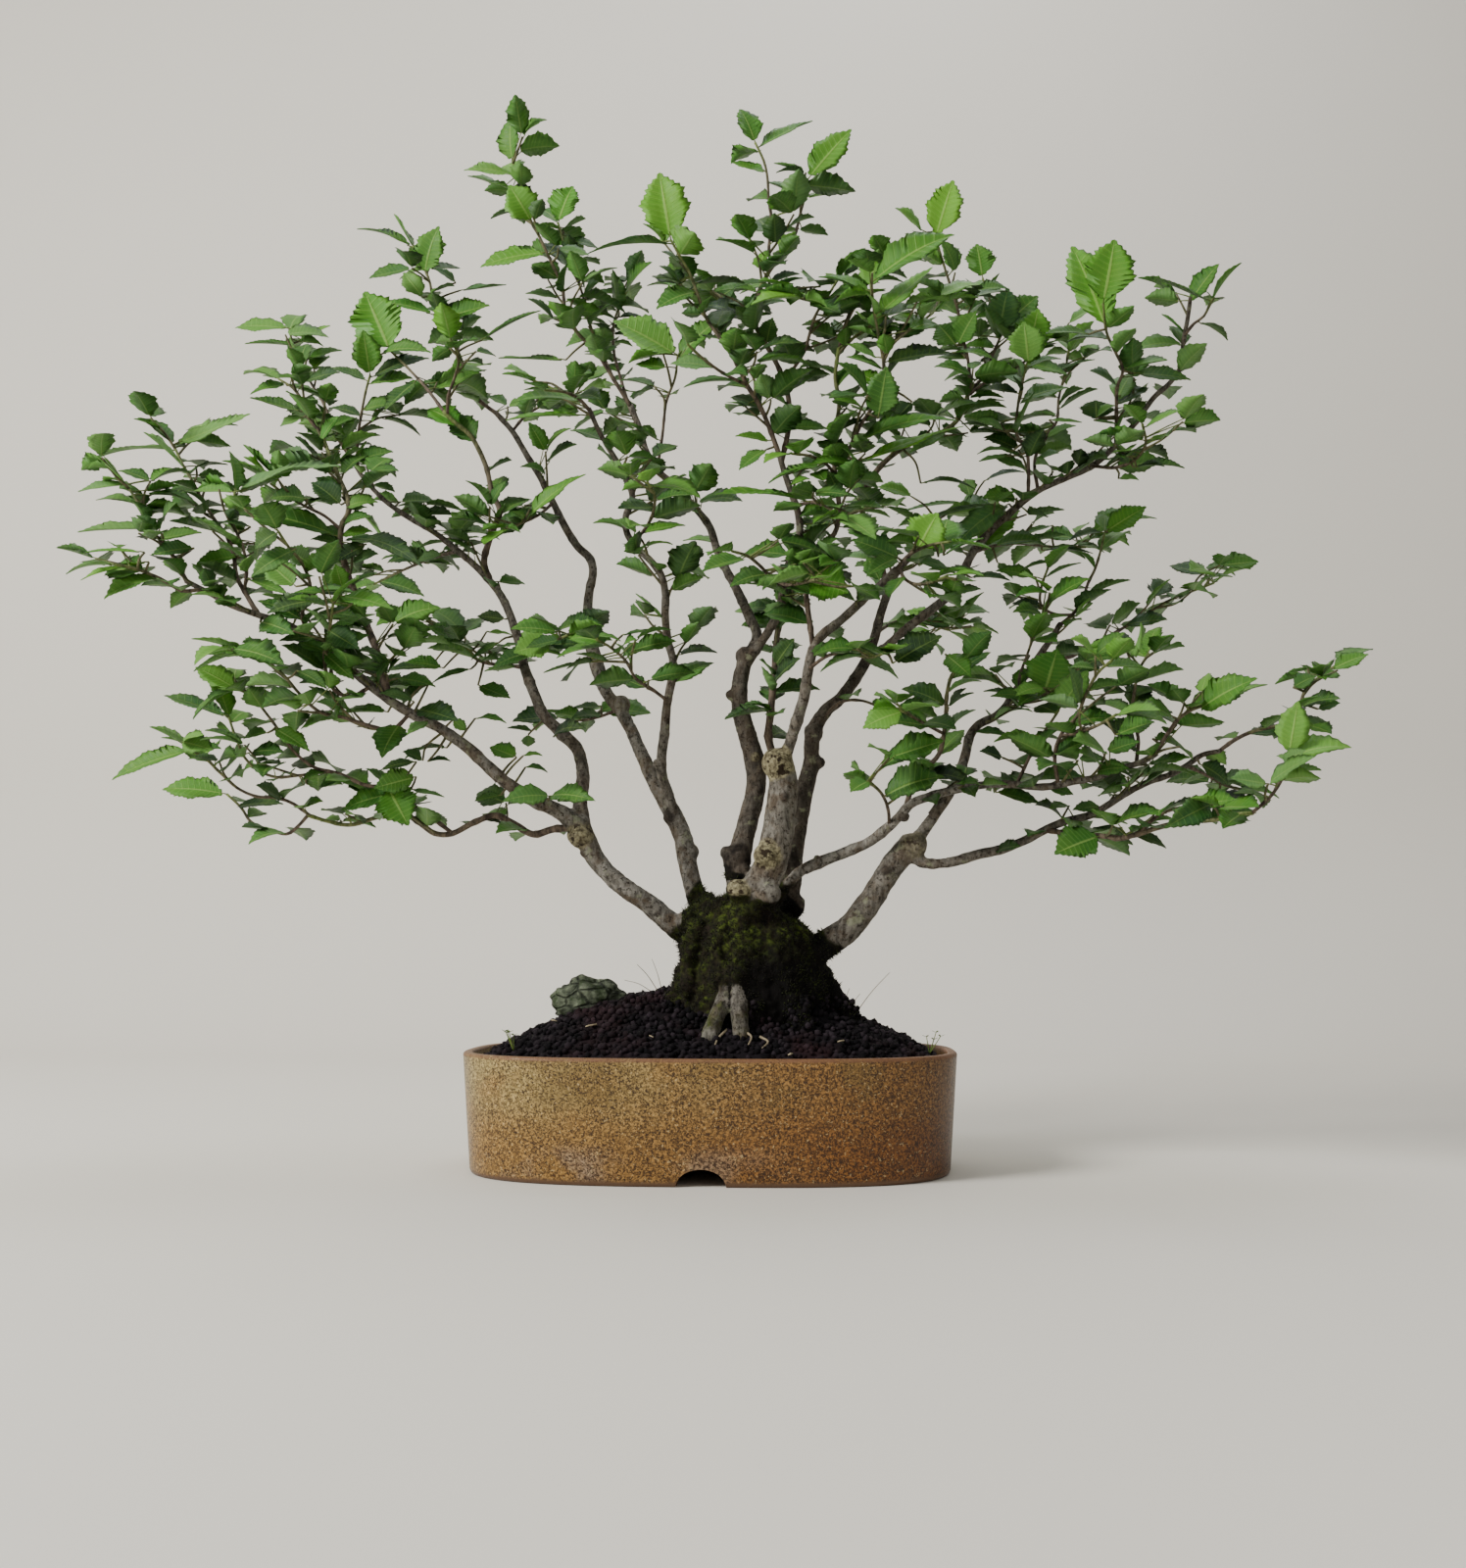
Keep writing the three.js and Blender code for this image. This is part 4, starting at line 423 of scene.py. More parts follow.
# The rules by which the frame lays out its branches and leaves
SWAY = {"share": 1 / 40, "most": 5, "turn": 21, "settle": 4}
WOOD_TOLERANCE = 1.8
TWIG_TOLERANCE = 2.4
FOLD = 0.24
CLEAR = 1.5
OWN_TWIG = 7
ROW_STEP = 3
WIRES = (0.1, 0.09)
MOST_LEAVES = 9000
LEAF_FROM = 14
LEAF_STEP = 94
TRIES = 6
EASES = (0, 8, -8, 16, -16, 26, -26)
FLAT_AT = 75
LEAF = {"length": (28, 40), "width": (0.55, 0.68), "turn": (0.8, 1.25), "end_turn": (-0.4, 0.4),
        "droop": (-0.3, 0.12), "face_x": (-0.4, 0.4), "face_y": (-1.4, 0.5)}
ENVELOPE = ((0, 0.06), (0.25, 0.88), (0.5, 1), (0.75, 0.72), (1, 0.04))


def spread(values, share):
    """The value at a share of the way through evenly spaced values."""
    place = share * (len(values) - 1)
    low = min(math.floor(place), len(values) - 2)
    return values[low] + (values[low + 1] - values[low]) * (place - low)


def nearest_on(route, x, z):
    """The place on a drawn route nearest to (x, z), as (x, z, depth)."""
    best = None
    best_gap = math.inf
    for (ax, az, ay), (bx, bz, by) in zip(route, route[1:]):
        length = (bx - ax) ** 2 + (bz - az) ** 2
        share = min(max(((x - ax) * (bx - ax) + (z - az) * (bz - az)) / length, 0), 1)
        near = (ax + (bx - ax) * share, az + (bz - az) * share, ay + (by - ay) * share)
        gap = (near[0] - x) ** 2 + (near[1] - z) ** 2
        if gap < best_gap:
            best_gap = gap
            best = near
    return best


def closest_between(a, b, point):
    """The place between a and b that is nearest to a point."""
    step = b - a
    share = min(max(np.dot(point - a, step) / np.dot(step, step), 0), 1)
    return a + step * share


def closest_on(line, point):
    """The place on a line that is nearest to a point."""
    best = line[0]
    for a, b in zip(line, line[1:]):
        near = closest_between(a, b, point)
        if np.linalg.norm(near - point) < np.linalg.norm(best - point):
            best = near
    return best


def thinned(indices, line, tolerance):
    """Points that the route can lose without moving more than a tolerance are left out."""
    first = indices[0]
    last = indices[-1]
    worst = 0
    gap = tolerance
    for i in range(1, len(indices) - 1):
        point = line[indices[i]]
        away = np.linalg.norm(closest_between(line[first], line[last], point) - point)
        if away > gap:
            worst = i
            gap = away
    if worst == 0:
        return [first, last]
    left = thinned(indices[:worst + 1], line, tolerance)
    return left[:-1] + thinned(indices[worst:], line, tolerance)


limbs = {}


def grow(entry, tolerance):
    """Lays a drawn route out in depth, as the frame does."""
    name, parent, radii, (start, end), drawn = entry
    route = [list(p) for p in drawn]
    base = start
    if start is None:
        x, z, base = nearest_on(limbs[parent]["route"], *drawn[0])
        route[0] = [x, z]
    lengths = [0]
    for a, b in zip(route, route[1:]):
        lengths.append(lengths[-1] + math.hypot(b[0] - a[0], b[1] - a[1]))
    total = lengths[-1]
    phase = draw(0, 6.28)
    wave = min(total * SWAY["share"], SWAY["most"])
    for i, point in enumerate(route):
        share = lengths[i] / total
        turn = math.sin(phase + lengths[i] / SWAY["turn"]) - math.sin(phase) * (1 - share)
        swing = wave * min(share * SWAY["settle"], 1) * turn
        point.append(base + (end - base) * share + (0 if i == 0 else swing))
    line = [seen(x, z, y) for x, z, y in route]
    sizes = [spread(radii, length / total) for length in lengths]
    kept = thinned(list(range(len(line))), line, tolerance)
    limbs[name] = {"name": name, "parent": parent, "route": route, "full": line, "full_radii": sizes,
                   "line": [line[i] for i in kept], "radii": [sizes[i] for i in kept]}
    return limbs[name]


wood_limbs = [grow(entry, WOOD_TOLERANCE) for entry in WOOD]
twig_limbs = [grow(entry, TWIG_TOLERANCE) for entry in TWIGS]
root_limbs = []
for radii, points in ROOTS:
    line = [np.array(p, float) for p in points]
    sizes = [spread(radii, i / (len(points) - 1)) for i in range(len(points))]
    root_limbs.append({"name": None, "full": line, "full_radii": sizes, "line": line, "radii": sizes})


def envelope(u):
    """The half width of a leaf at each share of its length; nothing beyond the tip."""
    size = np.interp(u, *zip(*ENVELOPE))
    return np.where(np.asarray(u) > 1, 0, size)


def passes(leaf, line, thick, clear=CLEAR):
    """Whether a row of points comes too near a leaf's blade or goes through it."""
    if len(line) == 0:
        return False
    offset = line - leaf["foot"]
    across = offset @ leaf["across"]
    rise = offset @ leaf["up"] - np.abs(across) * FOLD
    u = (offset @ leaf["along"]) / leaf["length"]
    margin = thick + clear
    reach = margin / leaf["length"]
    near = (u > -reach) & (u < 1 + reach)
    near &= np.abs(across) < leaf["half"] * envelope(np.clip(u, 0, 1)) + margin
    if np.any(near & (np.abs(rise) < margin)):
        return True
    return bool(np.any(near[1:] & near[:-1] & (rise[1:] * rise[:-1] < 0)))


def wires(leaf):
    """Three rows of points along a leaf: its two edges and its rib."""
    lines = []
    steps = []
    u, step = WIRES
    while u <= 1.001:
        steps.append(u)
        u += step
    steps = np.array(steps)
    for side in (-1, 0, 1):
        across = side * envelope(steps) * leaf["half"]
        line = leaf["foot"] + np.outer(steps * leaf["length"], leaf["along"])
        line = line + np.outer(across, leaf["across"]) + np.outer(np.abs(across) * FOLD, leaf["up"])
        lines.append(line)
    return lines


def row_of(limb):
    """Closely spaced points along a limb, and the box round them, to test leaves against."""
    points = []
    for a, b in zip(limb["line"], limb["line"][1:]):
        steps = math.ceil(np.linalg.norm(b - a) / ROW_STEP)
        points += [a + (b - a) * (k / steps) for k in range(steps)]
    points = np.array(points + [limb["line"][-1]])
    return {"name": limb["name"], "points": points, "low": points.min(0), "high": points.max(0),
            "thick": limb["radii"][0]}


rows = [row_of(limb) for limb in wood_limbs + twig_limbs + root_limbs]
row_low = np.array([row["low"] for row in rows])
row_high = np.array([row["high"] for row in rows])
row_thick = np.array([row["thick"] for row in rows])
leaves = []
leaf_spots = np.zeros((MOST_LEAVES, 4))
noted = 0


def leaves_near(middle, reach):
    """The leaves that a leaf with this middle and reach could touch."""
    global noted
    for leaf in leaves[noted:]:
        leaf_spots[noted] = [*leaf["middle"], leaf["reach"]]
        noted += 1
    gaps = np.linalg.norm(leaf_spots[:noted, :3] - middle, axis=1)
    return [leaves[i] for i in np.nonzero(gaps <= reach + leaf_spots[:noted, 3])[0]]


def fits(leaf, clear=CLEAR):
    """Whether a leaf stays clear of the other leaves and of all wood."""
    middle = leaf["foot"] + leaf["along"] * (leaf["length"] / 2)
    reach = math.hypot(leaf["length"] / 2, leaf["half"]) + clear
    for other in leaves_near(middle, reach):
        if any(passes(leaf, line, 0, clear) for line in other["lines"]):
            return False
        if any(passes(other, line, 0, clear) for line in leaf["lines"]):
            return False
    gaps = np.linalg.norm(np.clip(middle, row_low, row_high) - middle, axis=1)
    for i in np.nonzero(gaps <= reach + row_thick)[0]:
        row = rows[i]
        points = row["points"]
        if row["name"] == leaf["twig"]:
            points = points[np.linalg.norm(points - leaf["foot"], axis=1) > OWN_TWIG]
        points = points[np.linalg.norm(points - middle, axis=1) < reach + row["thick"] + ROW_STEP]
        if passes(leaf, points, row["thick"], clear):
            return False
    leaf["middle"] = middle
    leaf["reach"] = reach
    return True


def unit(v):
    return v / np.linalg.norm(v)


def make_leaf(twig, foot, tip, facing, half):
    """A leaf from foot to tip that faces as near to a direction as it can."""
    along = tip - foot
    length = np.linalg.norm(along)
    along = along / length
    up = unit(facing - along * np.dot(facing, along))
    leaf = {"twig": twig, "foot": foot, "along": along, "across": np.cross(up, along), "up": up,
            "length": length, "half": half}
    leaf["lines"] = wires(leaf)
    return leaf


def tilted(tilt, ease, sideways=0.0):
    """The way a leaf faces: towards the viewer at no tilt, and up at 90 degrees."""
    angle = (tilt + ease / 2) * math.pi / 180
    return np.array([sideways, -math.cos(angle), math.sin(angle)])


def brightness_from_tilt(tilt):
    """Painted light: leaves that face the viewer, as the lit ones do, get the bright young colour."""
    return max(0.0, 1 - tilt / FLAT_AT)


def foot_on(twig, spot):
    """The place on a twig where a drawn leaf starts, and its depth."""
    x, z, y = nearest_on(limbs[twig]["route"], *spot)
    return closest_on(limbs[twig]["line"], seen(x, z, y)), y


missed = []
for shown_leaf in SHOWN_LEAVES:
    twig, spot, (tx, tz), width, tilt, lean = shown_leaf
    foot, y = foot_on(twig, spot)
    for ease in EASES:
        leaf = make_leaf(twig, foot, seen(tx, tz, y + lean + ease), tilted(tilt, ease), width / 2)
        if fits(leaf):
            leaf["kind"] = "shown"
            leaf["young"] = brightness_from_tilt(tilt)
            leaves.append(leaf)
            break
    else:
        missed.append(shown_leaf)


def point_along(line, distance):
    """The point at a distance along a line, and the direction there."""
    left = distance
    for i in range(len(line) - 1):
        step = line[i + 1] - line[i]
        length = np.linalg.norm(step)
        if left <= length or i + 2 == len(line):
            step = step / length
            return line[i] + step * left, step
        left -= length


UP = np.array([0.0, 0.0, 1.0])


def level_beside(along, bearing):
    """A level direction square to a twig, or at its bearing where the twig stands upright."""
    level = np.cross(along, UP)
    if np.linalg.norm(level) < 0.5:
        level = np.array([math.cos(bearing), math.sin(bearing), 0])
    return unit(level)


def leaf_at(twig, place, total, side, bearing):
    """Draws one ordinary leaf at a place along its twig, near level."""
    foot, along = point_along(twig["line"], place)
    level = level_beside(along, bearing)
    turn = draw(*LEAF["end_turn"]) if place > total - 1 else side * draw(*LEAF["turn"])
    way = along * math.cos(turn) + level * math.sin(turn)
    way[2] += draw(*LEAF["droop"])
    length = draw(*LEAF["length"])
    half = (length * draw(*LEAF["width"])) / 2
    tip = foot + unit(way) * length
    facing_x = draw(*LEAF["face_x"])
    facing_y = draw(*LEAF["face_y"])
    return make_leaf(twig["name"], foot, tip, np.array([facing_x, facing_y, 1]), half)


def length_of(line):
    return sum(np.linalg.norm(b - a) for a, b in zip(line, line[1:]))


for twig in twig_limbs:
    total = length_of(twig["line"])
    bearing = draw(0, math.pi)
    side = 1
    place = total - 0.5
    while place > LEAF_FROM:
        side = -side
        for _ in range(TRIES):
            leaf = leaf_at(twig, place, total, side, bearing)
            if fits(leaf):
                leaf["kind"] = "ordinary"
                leaf["young"] = 0.55 if place > total - 1 else 0.25
                leaves.append(leaf)
                break
        place -= LEAF_STEP * draw(0.8, 1.2)


# From here on a second stream of draws serves what the frame doesn't hold
rng = np.random.default_rng(7)
SMOOTH_STEP = 4
BOX_MARGIN = 4


def inside_box(leaf):
    """Whether a leaf stays within the frame's box, or hardly past it."""
    low = np.array(cad_box[0]) / MM - BOX_MARGIN
    high = np.array(cad_box[1]) / MM + BOX_MARGIN
    points = np.vstack(leaf["lines"])
    return bool(np.all(points > low) and np.all(points < high))


def smooth_line(line, radii, step):
    """A Catmull-Rom line through the points, about one point each step, with its radii."""
    points = [2 * line[0] - line[1], *line, 2 * line[-1] - line[-2]]
    out = []
    sizes = []
    for i in range(len(line) - 1):
        a, b, c, d = points[i:i + 4]
        count = max(1, round(np.linalg.norm(c - b) / step))
        for k in range(count):
            t = k / count
            out.append(0.5 * (2 * b + (c - a) * t + (2 * a - 5 * b + 4 * c - d) * t ** 2
                              + (3 * b - a - 3 * c + d) * t ** 3))
            sizes.append(radii[i] + (radii[i + 1] - radii[i]) * t)
    out.append(line[-1])
    sizes.append(radii[-1])
    return np.array(out), np.array(sizes)


for limb in wood_limbs + twig_limbs:
    limb["smooth"], limb["smooth_radii"] = smooth_line(limb["full"], limb["full_radii"], SMOOTH_STEP)
twig_names = {limb["name"] for limb in twig_limbs}
wood_names = {limb["name"] for limb in wood_limbs}


class Shape:
    """Gathers vertices, faces and per-vertex tones in millimetres, and makes one object of them."""

    def __init__(self):
        self.points = []
        self.faces = []
        self.tones = []
        self.coords = []
        self.count = 0

    def add(self, points, faces, tone=(0, 0, 0, 0), coords=None):
        points = np.asarray(points, float)
        self.points.append(points)
        self.faces += [tuple(i + self.count for i in face) for face in faces]
        tone = np.broadcast_to(np.asarray(tone, float), (len(points), 4))
        self.tones.append(tone)
        self.coords.append(np.zeros((len(points), 2)) if coords is None else coords)
        self.count += len(points)

    def tube(self, line, sizes, sides, tone=(0, 0, 0, 0), ripple=None):
        self.add(tube_points(line, sizes, sides, ripple), tube_faces(len(line), sides), tone)

    def thread(self, points, radii, step, sides, tone):
        """A thin tube on a smooth line through a few points."""
        line, sizes = smooth_line(points, radii, step)
        self.tube(line, sizes, sides, tone)
        return line

    def make(self, name, material, slot, replaced=()):
        mesh = bpy.data.meshes.new(name)
        mesh.from_pydata((np.vstack(self.points) * MM).tolist(), [], self.faces)
        toned(mesh, np.vstack(self.tones))
        uv = mesh.uv_layers.new(name="UVMap")
        corner = np.zeros(len(mesh.loops), int)
        mesh.loops.foreach_get("vertex_index", corner)
        uv.data.foreach_set("uv", np.vstack(self.coords)[corner].ravel())
        smoothed(mesh)
        mesh.update()
        return place(name, mesh, material, slot, replaced)


def toned(mesh, values):
    """Gives each point of a mesh its four tone values."""
    tones = mesh.color_attributes.new("tone", "FLOAT_COLOR", "POINT")
    tones.data.foreach_set("color", values.ravel())


def smoothed(mesh):
    mesh.polygons.foreach_set("use_smooth", [True] * len(mesh.polygons))


def linked(name, data):
    obj = bpy.data.objects.new(name, data)
    bpy.context.scene.collection.objects.link(obj)
    return obj


def place(name, mesh, material, slot, replaced=()):
    """A visible piece of the part, with its material and the solids that it stands for; the slot is not used.
    """
    obj = linked(name, mesh)
    mesh.materials.append(material)
    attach(obj, "root")
    if replaced:
        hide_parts(*replaced)
    return obj


def tube_faces(rings, sides, cap=True):
    faces = []
    for r in range(rings - 1):
        for k in range(sides):
            a = r * sides + k
            b = r * sides + (k + 1) % sides
            faces.append((a, b, b + sides, a + sides))
    if cap:
        faces.append(tuple(range(sides - 1, -1, -1)))
        last = (rings - 1) * sides
        faces.append(tuple(last + k for k in range(sides)))
    return faces


def tube_points(line, radii, sides, ripple=None):
    """Rings round a line. ripple(i, angle) scales the radius for bumps and knots."""
    across = np.array([0.31, 0.87, 0.39])
    points = []
    for i, point in enumerate(line):
        along = unit(line[min(i + 1, len(line) - 1)] - line[max(i - 1, 0)])
        across = unit(across - along * np.dot(across, along))
        side = np.cross(along, across)
        for k in range(sides):
            angle = 2 * math.pi * k / sides
            size = radii[i] * (ripple(i, angle) if ripple else 1)
            points.append(point + (across * math.cos(angle) + side * math.sin(angle)) * size)
    return np.array(points)


# Materials: a leaf has as many side veins as teeth on each edge
TEETH = 12


def material(name):
    made = bpy.data.materials.new(name)
    made.use_nodes = True
    made.node_tree.nodes.clear()
    return Nodes(made)


class Nodes:
    """Short names for building a material's nodes."""

    def __init__(self, made):
        self.made = made
        self.tree = made.node_tree
        self.shader = self.add("ShaderNodeBsdfPrincipled")
        output = self.add("ShaderNodeOutputMaterial")
        self.link(self.shader.outputs[0], output.inputs[0])
        self.object = self.add("ShaderNodeTexCoord").outputs["Object"]

    def add(self, kind, **values):
        node = self.tree.nodes.new(kind)
        for key, value in values.items():
            setattr(node, key, value)
        return node

    def link(self, source, target):
        self.tree.links.new(source, target)

    def feed(self, socket, value):
        if isinstance(value, bpy.types.NodeSocket):
            self.link(value, socket)
        else:
            socket.default_value = value

    def math(self, operation, a, b=0.0, c=0.0):
        node = self.add("ShaderNodeMath", operation=operation)
        for socket, value in zip(node.inputs, (a, b, c)):
            self.feed(socket, value)
        return node.outputs[0]

    def ramp(self, value, low, high, start=0.0, end=1.0):
        node = self.add("ShaderNodeMapRange", interpolation_type="SMOOTHSTEP")
        for socket, item in zip(node.inputs, (value, low, high, start, end)):
            self.feed(socket, item)
        return node.outputs[0]

    def mix(self, share, a, b):
        node = self.add("ShaderNodeMix", data_type="RGBA")
        self.feed(node.inputs[0], share)
        self.feed(node.inputs[6], a)
        self.feed(node.inputs[7], b)
        return node.outputs[2]

    def scaled(self, vector, scale):
        node = self.add("ShaderNodeMapping")
        self.link(vector, node.inputs[0])
        node.inputs["Scale"].default_value = scale
        return node.outputs[0]

    def noise(self, scale, detail=4.0, rough=0.6, vector=None):
        node = self.add("ShaderNodeTexNoise")
        self.link(vector or self.object, node.inputs["Vector"])
        node.inputs["Scale"].default_value = scale
        node.inputs["Detail"].default_value = detail
        node.inputs["Roughness"].default_value = rough
        return node.outputs[0]

    def cells(self, scale, vector=None, feature="F1"):
        node = self.add("ShaderNodeTexVoronoi", feature=feature)
        self.link(vector or self.object, node.inputs["Vector"])
        node.inputs["Scale"].default_value = scale
        return node

    def tone(self):
        """The four values that each point of a piece carries."""
        node = self.add("ShaderNodeAttribute", attribute_name="tone")
        parts = self.add("ShaderNodeSeparateColor")
        self.link(node.outputs["Color"], parts.inputs[0])
        return [*parts.outputs, node.outputs["Alpha"]]

    def upward(self):
        """How far the surface faces up, from 0 to 1."""
        parts = self.add("ShaderNodeSeparateXYZ")
        self.link(self.add("ShaderNodeNewGeometry").outputs["Normal"], parts.inputs[0])
        return self.ramp(parts.outputs[2], -0.2, 0.9)

    def bump(self, height, strength, distance):
        node = self.add("ShaderNodeBump")
        node.inputs["Strength"].default_value = strength
        node.inputs["Distance"].default_value = distance
        self.link(height, node.inputs["Height"])
        self.link(node.outputs[0], self.shader.inputs["Normal"])

    def surface(self, color, roughness, **constants):
        self.feed(self.shader.inputs["Base Color"], color)
        self.feed(self.shader.inputs["Roughness"], roughness)
        for key, value in constants.items():
            self.shader.inputs[key.replace("_", " ")].default_value = value
        return self.made


def srgb(r, g, b):
    """A colour named in 0 to 255 screen values, as the linear colour that a shader takes."""
    parts = [c / 255 for c in (r, g, b)]
    return tuple(c / 12.92 if c < 0.04045 else ((c + 0.055) / 1.055) ** 2.4 for c in parts) + (1.0,)


def leaf_material():
    m = material("elm_leaf")
    young, luck, side = m.tone()[:3]
    uv = m.add("ShaderNodeTexCoord").outputs["UV"]
    parts = m.add("ShaderNodeSeparateXYZ")
    m.link(uv, parts.inputs[0])
    along, across = parts.outputs[0], parts.outputs[1]
    off = m.math("ABSOLUTE", m.math("SUBTRACT", across, 0.5))
    rib = m.ramp(off, 0.012, 0.045, 1.0, 0.0)
    wave = m.math("ABSOLUTE", m.math("COSINE", m.math("MULTIPLY", along, math.pi * TEETH)))
    vein = m.ramp(wave, 0.95, 0.995)
    net = m.cells(34, m.scaled(uv, (1.6, 1.0, 1.0)), "DISTANCE_TO_EDGE").outputs["Distance"]
    fine = m.ramp(net, 0.0, 0.12, 1.0, 0.0)
    dark = m.mix(luck, srgb(6, 34, 14), srgb(46, 102, 32))
    # painted sheen: a share of the darker leaves is turned paler grey-green
    dark = m.mix(m.ramp(luck, 0.7, 0.9, 0.0, 0.45), dark, srgb(108, 140, 96))
    fresh = m.mix(luck, srgb(56, 128, 20), srgb(110, 174, 36))
    # young carries both leaf age and painted light: lit leaves that face the viewer get the bright fresh
    # colour
    base = m.mix(young, dark, fresh)
    mottled = m.mix(m.ramp(m.noise(55), 0.35, 0.7), base, m.mix(0.18, base, srgb(120, 156, 50)))
    between = m.mix(m.math("MULTIPLY", m.ramp(wave, 0.0, 0.6, 1.0, 0.0), 0.14), mottled, srgb(14, 44, 22))
    bright = m.math("MULTIPLY_ADD", young, 0.26, 0.2)
    veined = m.mix(m.math("MULTIPLY", vein, m.math("MULTIPLY", bright, 0.5)), between, srgb(140, 184, 80))
    ribbed = m.mix(m.math("MULTIPLY", rib, bright), veined, srgb(170, 200, 104))
    under = m.mix(0.35, ribbed, srgb(92, 132, 74))
    color = m.mix(side, ribbed, under)
    pleat = m.math("MULTIPLY_ADD", vein, -0.8, m.math("MULTIPLY", fine, -0.22))
    height = m.math("MULTIPLY_ADD", rib, -1.0, pleat)
    m.bump(height, 0.55, 0.0006)
    rough = m.ramp(m.noise(180), 0.3, 0.7, 0.45, 0.6)
    return m.surface(color, rough, Specular_IOR_Level=0.35)


def bark_material():
    m = material("elm_bark")
    pale, moss, dark, wound = m.tone()
    grain = m.noise(230, 8, 0.7, m.scaled(m.object, (1.0, 1.0, 0.4)))
    spots = m.noise(75, 6, 0.65)
    patch = m.noise(30, 3, 0.5)
    ring = m.noise(420, 3, 0.6, m.scaled(m.object, (0.25, 0.25, 1.4)))
    fleck = m.noise(340, 4, 0.7)
    base = m.mix(m.ramp(grain, 0.32, 0.68), srgb(50, 45, 39), srgb(124, 116, 103))
    light = m.mix(m.ramp(grain, 0.3, 0.7), srgb(82, 79, 73), srgb(158, 155, 147))
    light = m.mix(m.ramp(spots, 0.46, 0.62, 0.0, 0.85), light, srgb(92, 78, 62))
    color = m.mix(m.math("MULTIPLY", pale, m.ramp(patch, 0.25, 0.5, 0.45, 1.0)), base, light)
    shade = m.mix(m.ramp(spots, 0.3, 0.7), srgb(24, 20, 18), srgb(72, 62, 53))
    color = m.mix(m.math("MULTIPLY", dark, m.ramp(spots, 0.3, 0.6, 1.0, 0.75)), color, shade)
    color = m.mix(m.ramp(ring, 0.62, 0.74, 0.0, 0.35), color, srgb(52, 43, 36))
    color = m.mix(m.ramp(fleck, 0.54, 0.62, 0.0, 0.8), color, srgb(40, 34, 28))
    color = m.mix(m.ramp(m.noise(95, 4, 0.6), 0.6, 0.68, 0.0, 0.4), color, srgb(150, 156, 124))
    ochre = m.mix(m.ramp(m.noise(260, 6, 0.7), 0.35, 0.65), srgb(72, 64, 49), srgb(154, 147, 116))
    ochre = m.mix(m.ramp(m.noise(150, 3), 0.55, 0.62, 0.0, 0.95), ochre, srgb(40, 30, 22))
    color = m.mix(m.ramp(m.math("MULTIPLY_ADD", fleck, 0.5, wound), 0.45, 0.95), color, ochre)
    green = m.mix(m.ramp(m.noise(210, 5, 0.7), 0.35, 0.7), srgb(18, 24, 8), srgb(84, 98, 34))
    # dark earth-brown moss, which also stands as painted shade where the moss faces down
    earth_and_shade = m.mix(m.ramp(m.noise(160, 5, 0.7), 0.3, 0.7), srgb(9, 7, 6), srgb(38, 31, 24))
    # painted light: moss is greener where it faces up, on noise patches and on the tops of clumps
    facing = m.math("MULTIPLY_ADD", m.upward(), 0.7, 0.3)
    lit = m.math("MULTIPLY", m.ramp(m.noise(38, 5, 0.65), 0.36, 0.6), facing)
    lit = m.math("MULTIPLY", lit, m.ramp(pale, 0.05, 0.6, 0.25, 1.3))
    # painted shade, partly dark soil: where the dark tone is high, at the stump's lower right and in the root
    # crease, the moss goes near black
    mossy = m.mix(dark, m.mix(lit, earth_and_shade, green), srgb(9, 7, 6))
    cover = m.ramp(m.math("MULTIPLY_ADD", m.noise(60, 6, 0.7), 0.7, m.math("SUBTRACT", moss, 0.35)), 0.3, 0.6)
    color = m.mix(cover, color, mossy)
    height = m.math("ADD", m.math("MULTIPLY", grain, 0.8), m.math("MULTIPLY", fleck, 0.45))
    m.bump(height, 1.0, 0.0016)
    rough = m.ramp(grain, 0.3, 0.7, 0.95, 0.72)
    return m.surface(color, rough, Specular_IOR_Level=0.12)


def twig_material():
    m = material("elm_twig")
    tones = m.tone()
    green, pale = tones[0], tones[3]
    grain = m.noise(260, 5, 0.65, m.scaled(m.object, (1.0, 1.0, 0.4)))
    brown = m.mix(m.ramp(grain, 0.3, 0.7), srgb(46, 37, 31), srgb(108, 93, 77))
    shoot = m.mix(m.ramp(grain, 0.3, 0.7), srgb(70, 92, 38), srgb(122, 142, 66))
    color = m.mix(green, brown, shoot)
    color = m.mix(m.ramp(m.noise(520, 2), 0.62, 0.7, 0.0, 0.4), color, srgb(150, 138, 118))
    color = m.mix(pale, color, m.mix(grain, srgb(120, 104, 78), srgb(206, 192, 160)))
    m.bump(grain, 0.6, 0.0006)
    return m.surface(color, m.ramp(grain, 0.3, 0.7, 0.85, 0.6), Specular_IOR_Level=0.3)


def moss_material():
    m = material("moss")
    luck = m.tone()[1]
    base = m.mix(luck, srgb(15, 18, 7), srgb(66, 78, 28))
    color = m.mix(m.ramp(m.noise(45), 0.35, 0.62), base, srgb(20, 16, 11))
    rough = m.ramp(m.noise(300), 0.3, 0.7, 0.8, 1.0)
    return m.surface(color, rough, Specular_IOR_Level=0.08, Sheen_Weight=0.05)


def soil_material():
    m = material("soil_granules")
    luck = m.tone()[1]
    base = m.mix(luck, srgb(4, 3, 5), srgb(52, 44, 50))
    pits = m.noise(620, 6, 0.7)
    color = m.mix(m.ramp(pits, 0.3, 0.72), m.mix(0.6, base, srgb(4, 3, 4)), base)
    color = m.mix(m.ramp(m.noise(22), 0.48, 0.72, 0.0, 0.3), color, srgb(62, 34, 36))
    m.bump(pits, 0.7, 0.0008)
    return m.surface(color, m.ramp(pits, 0.3, 0.7, 0.75, 0.95), Specular_IOR_Level=0.14)


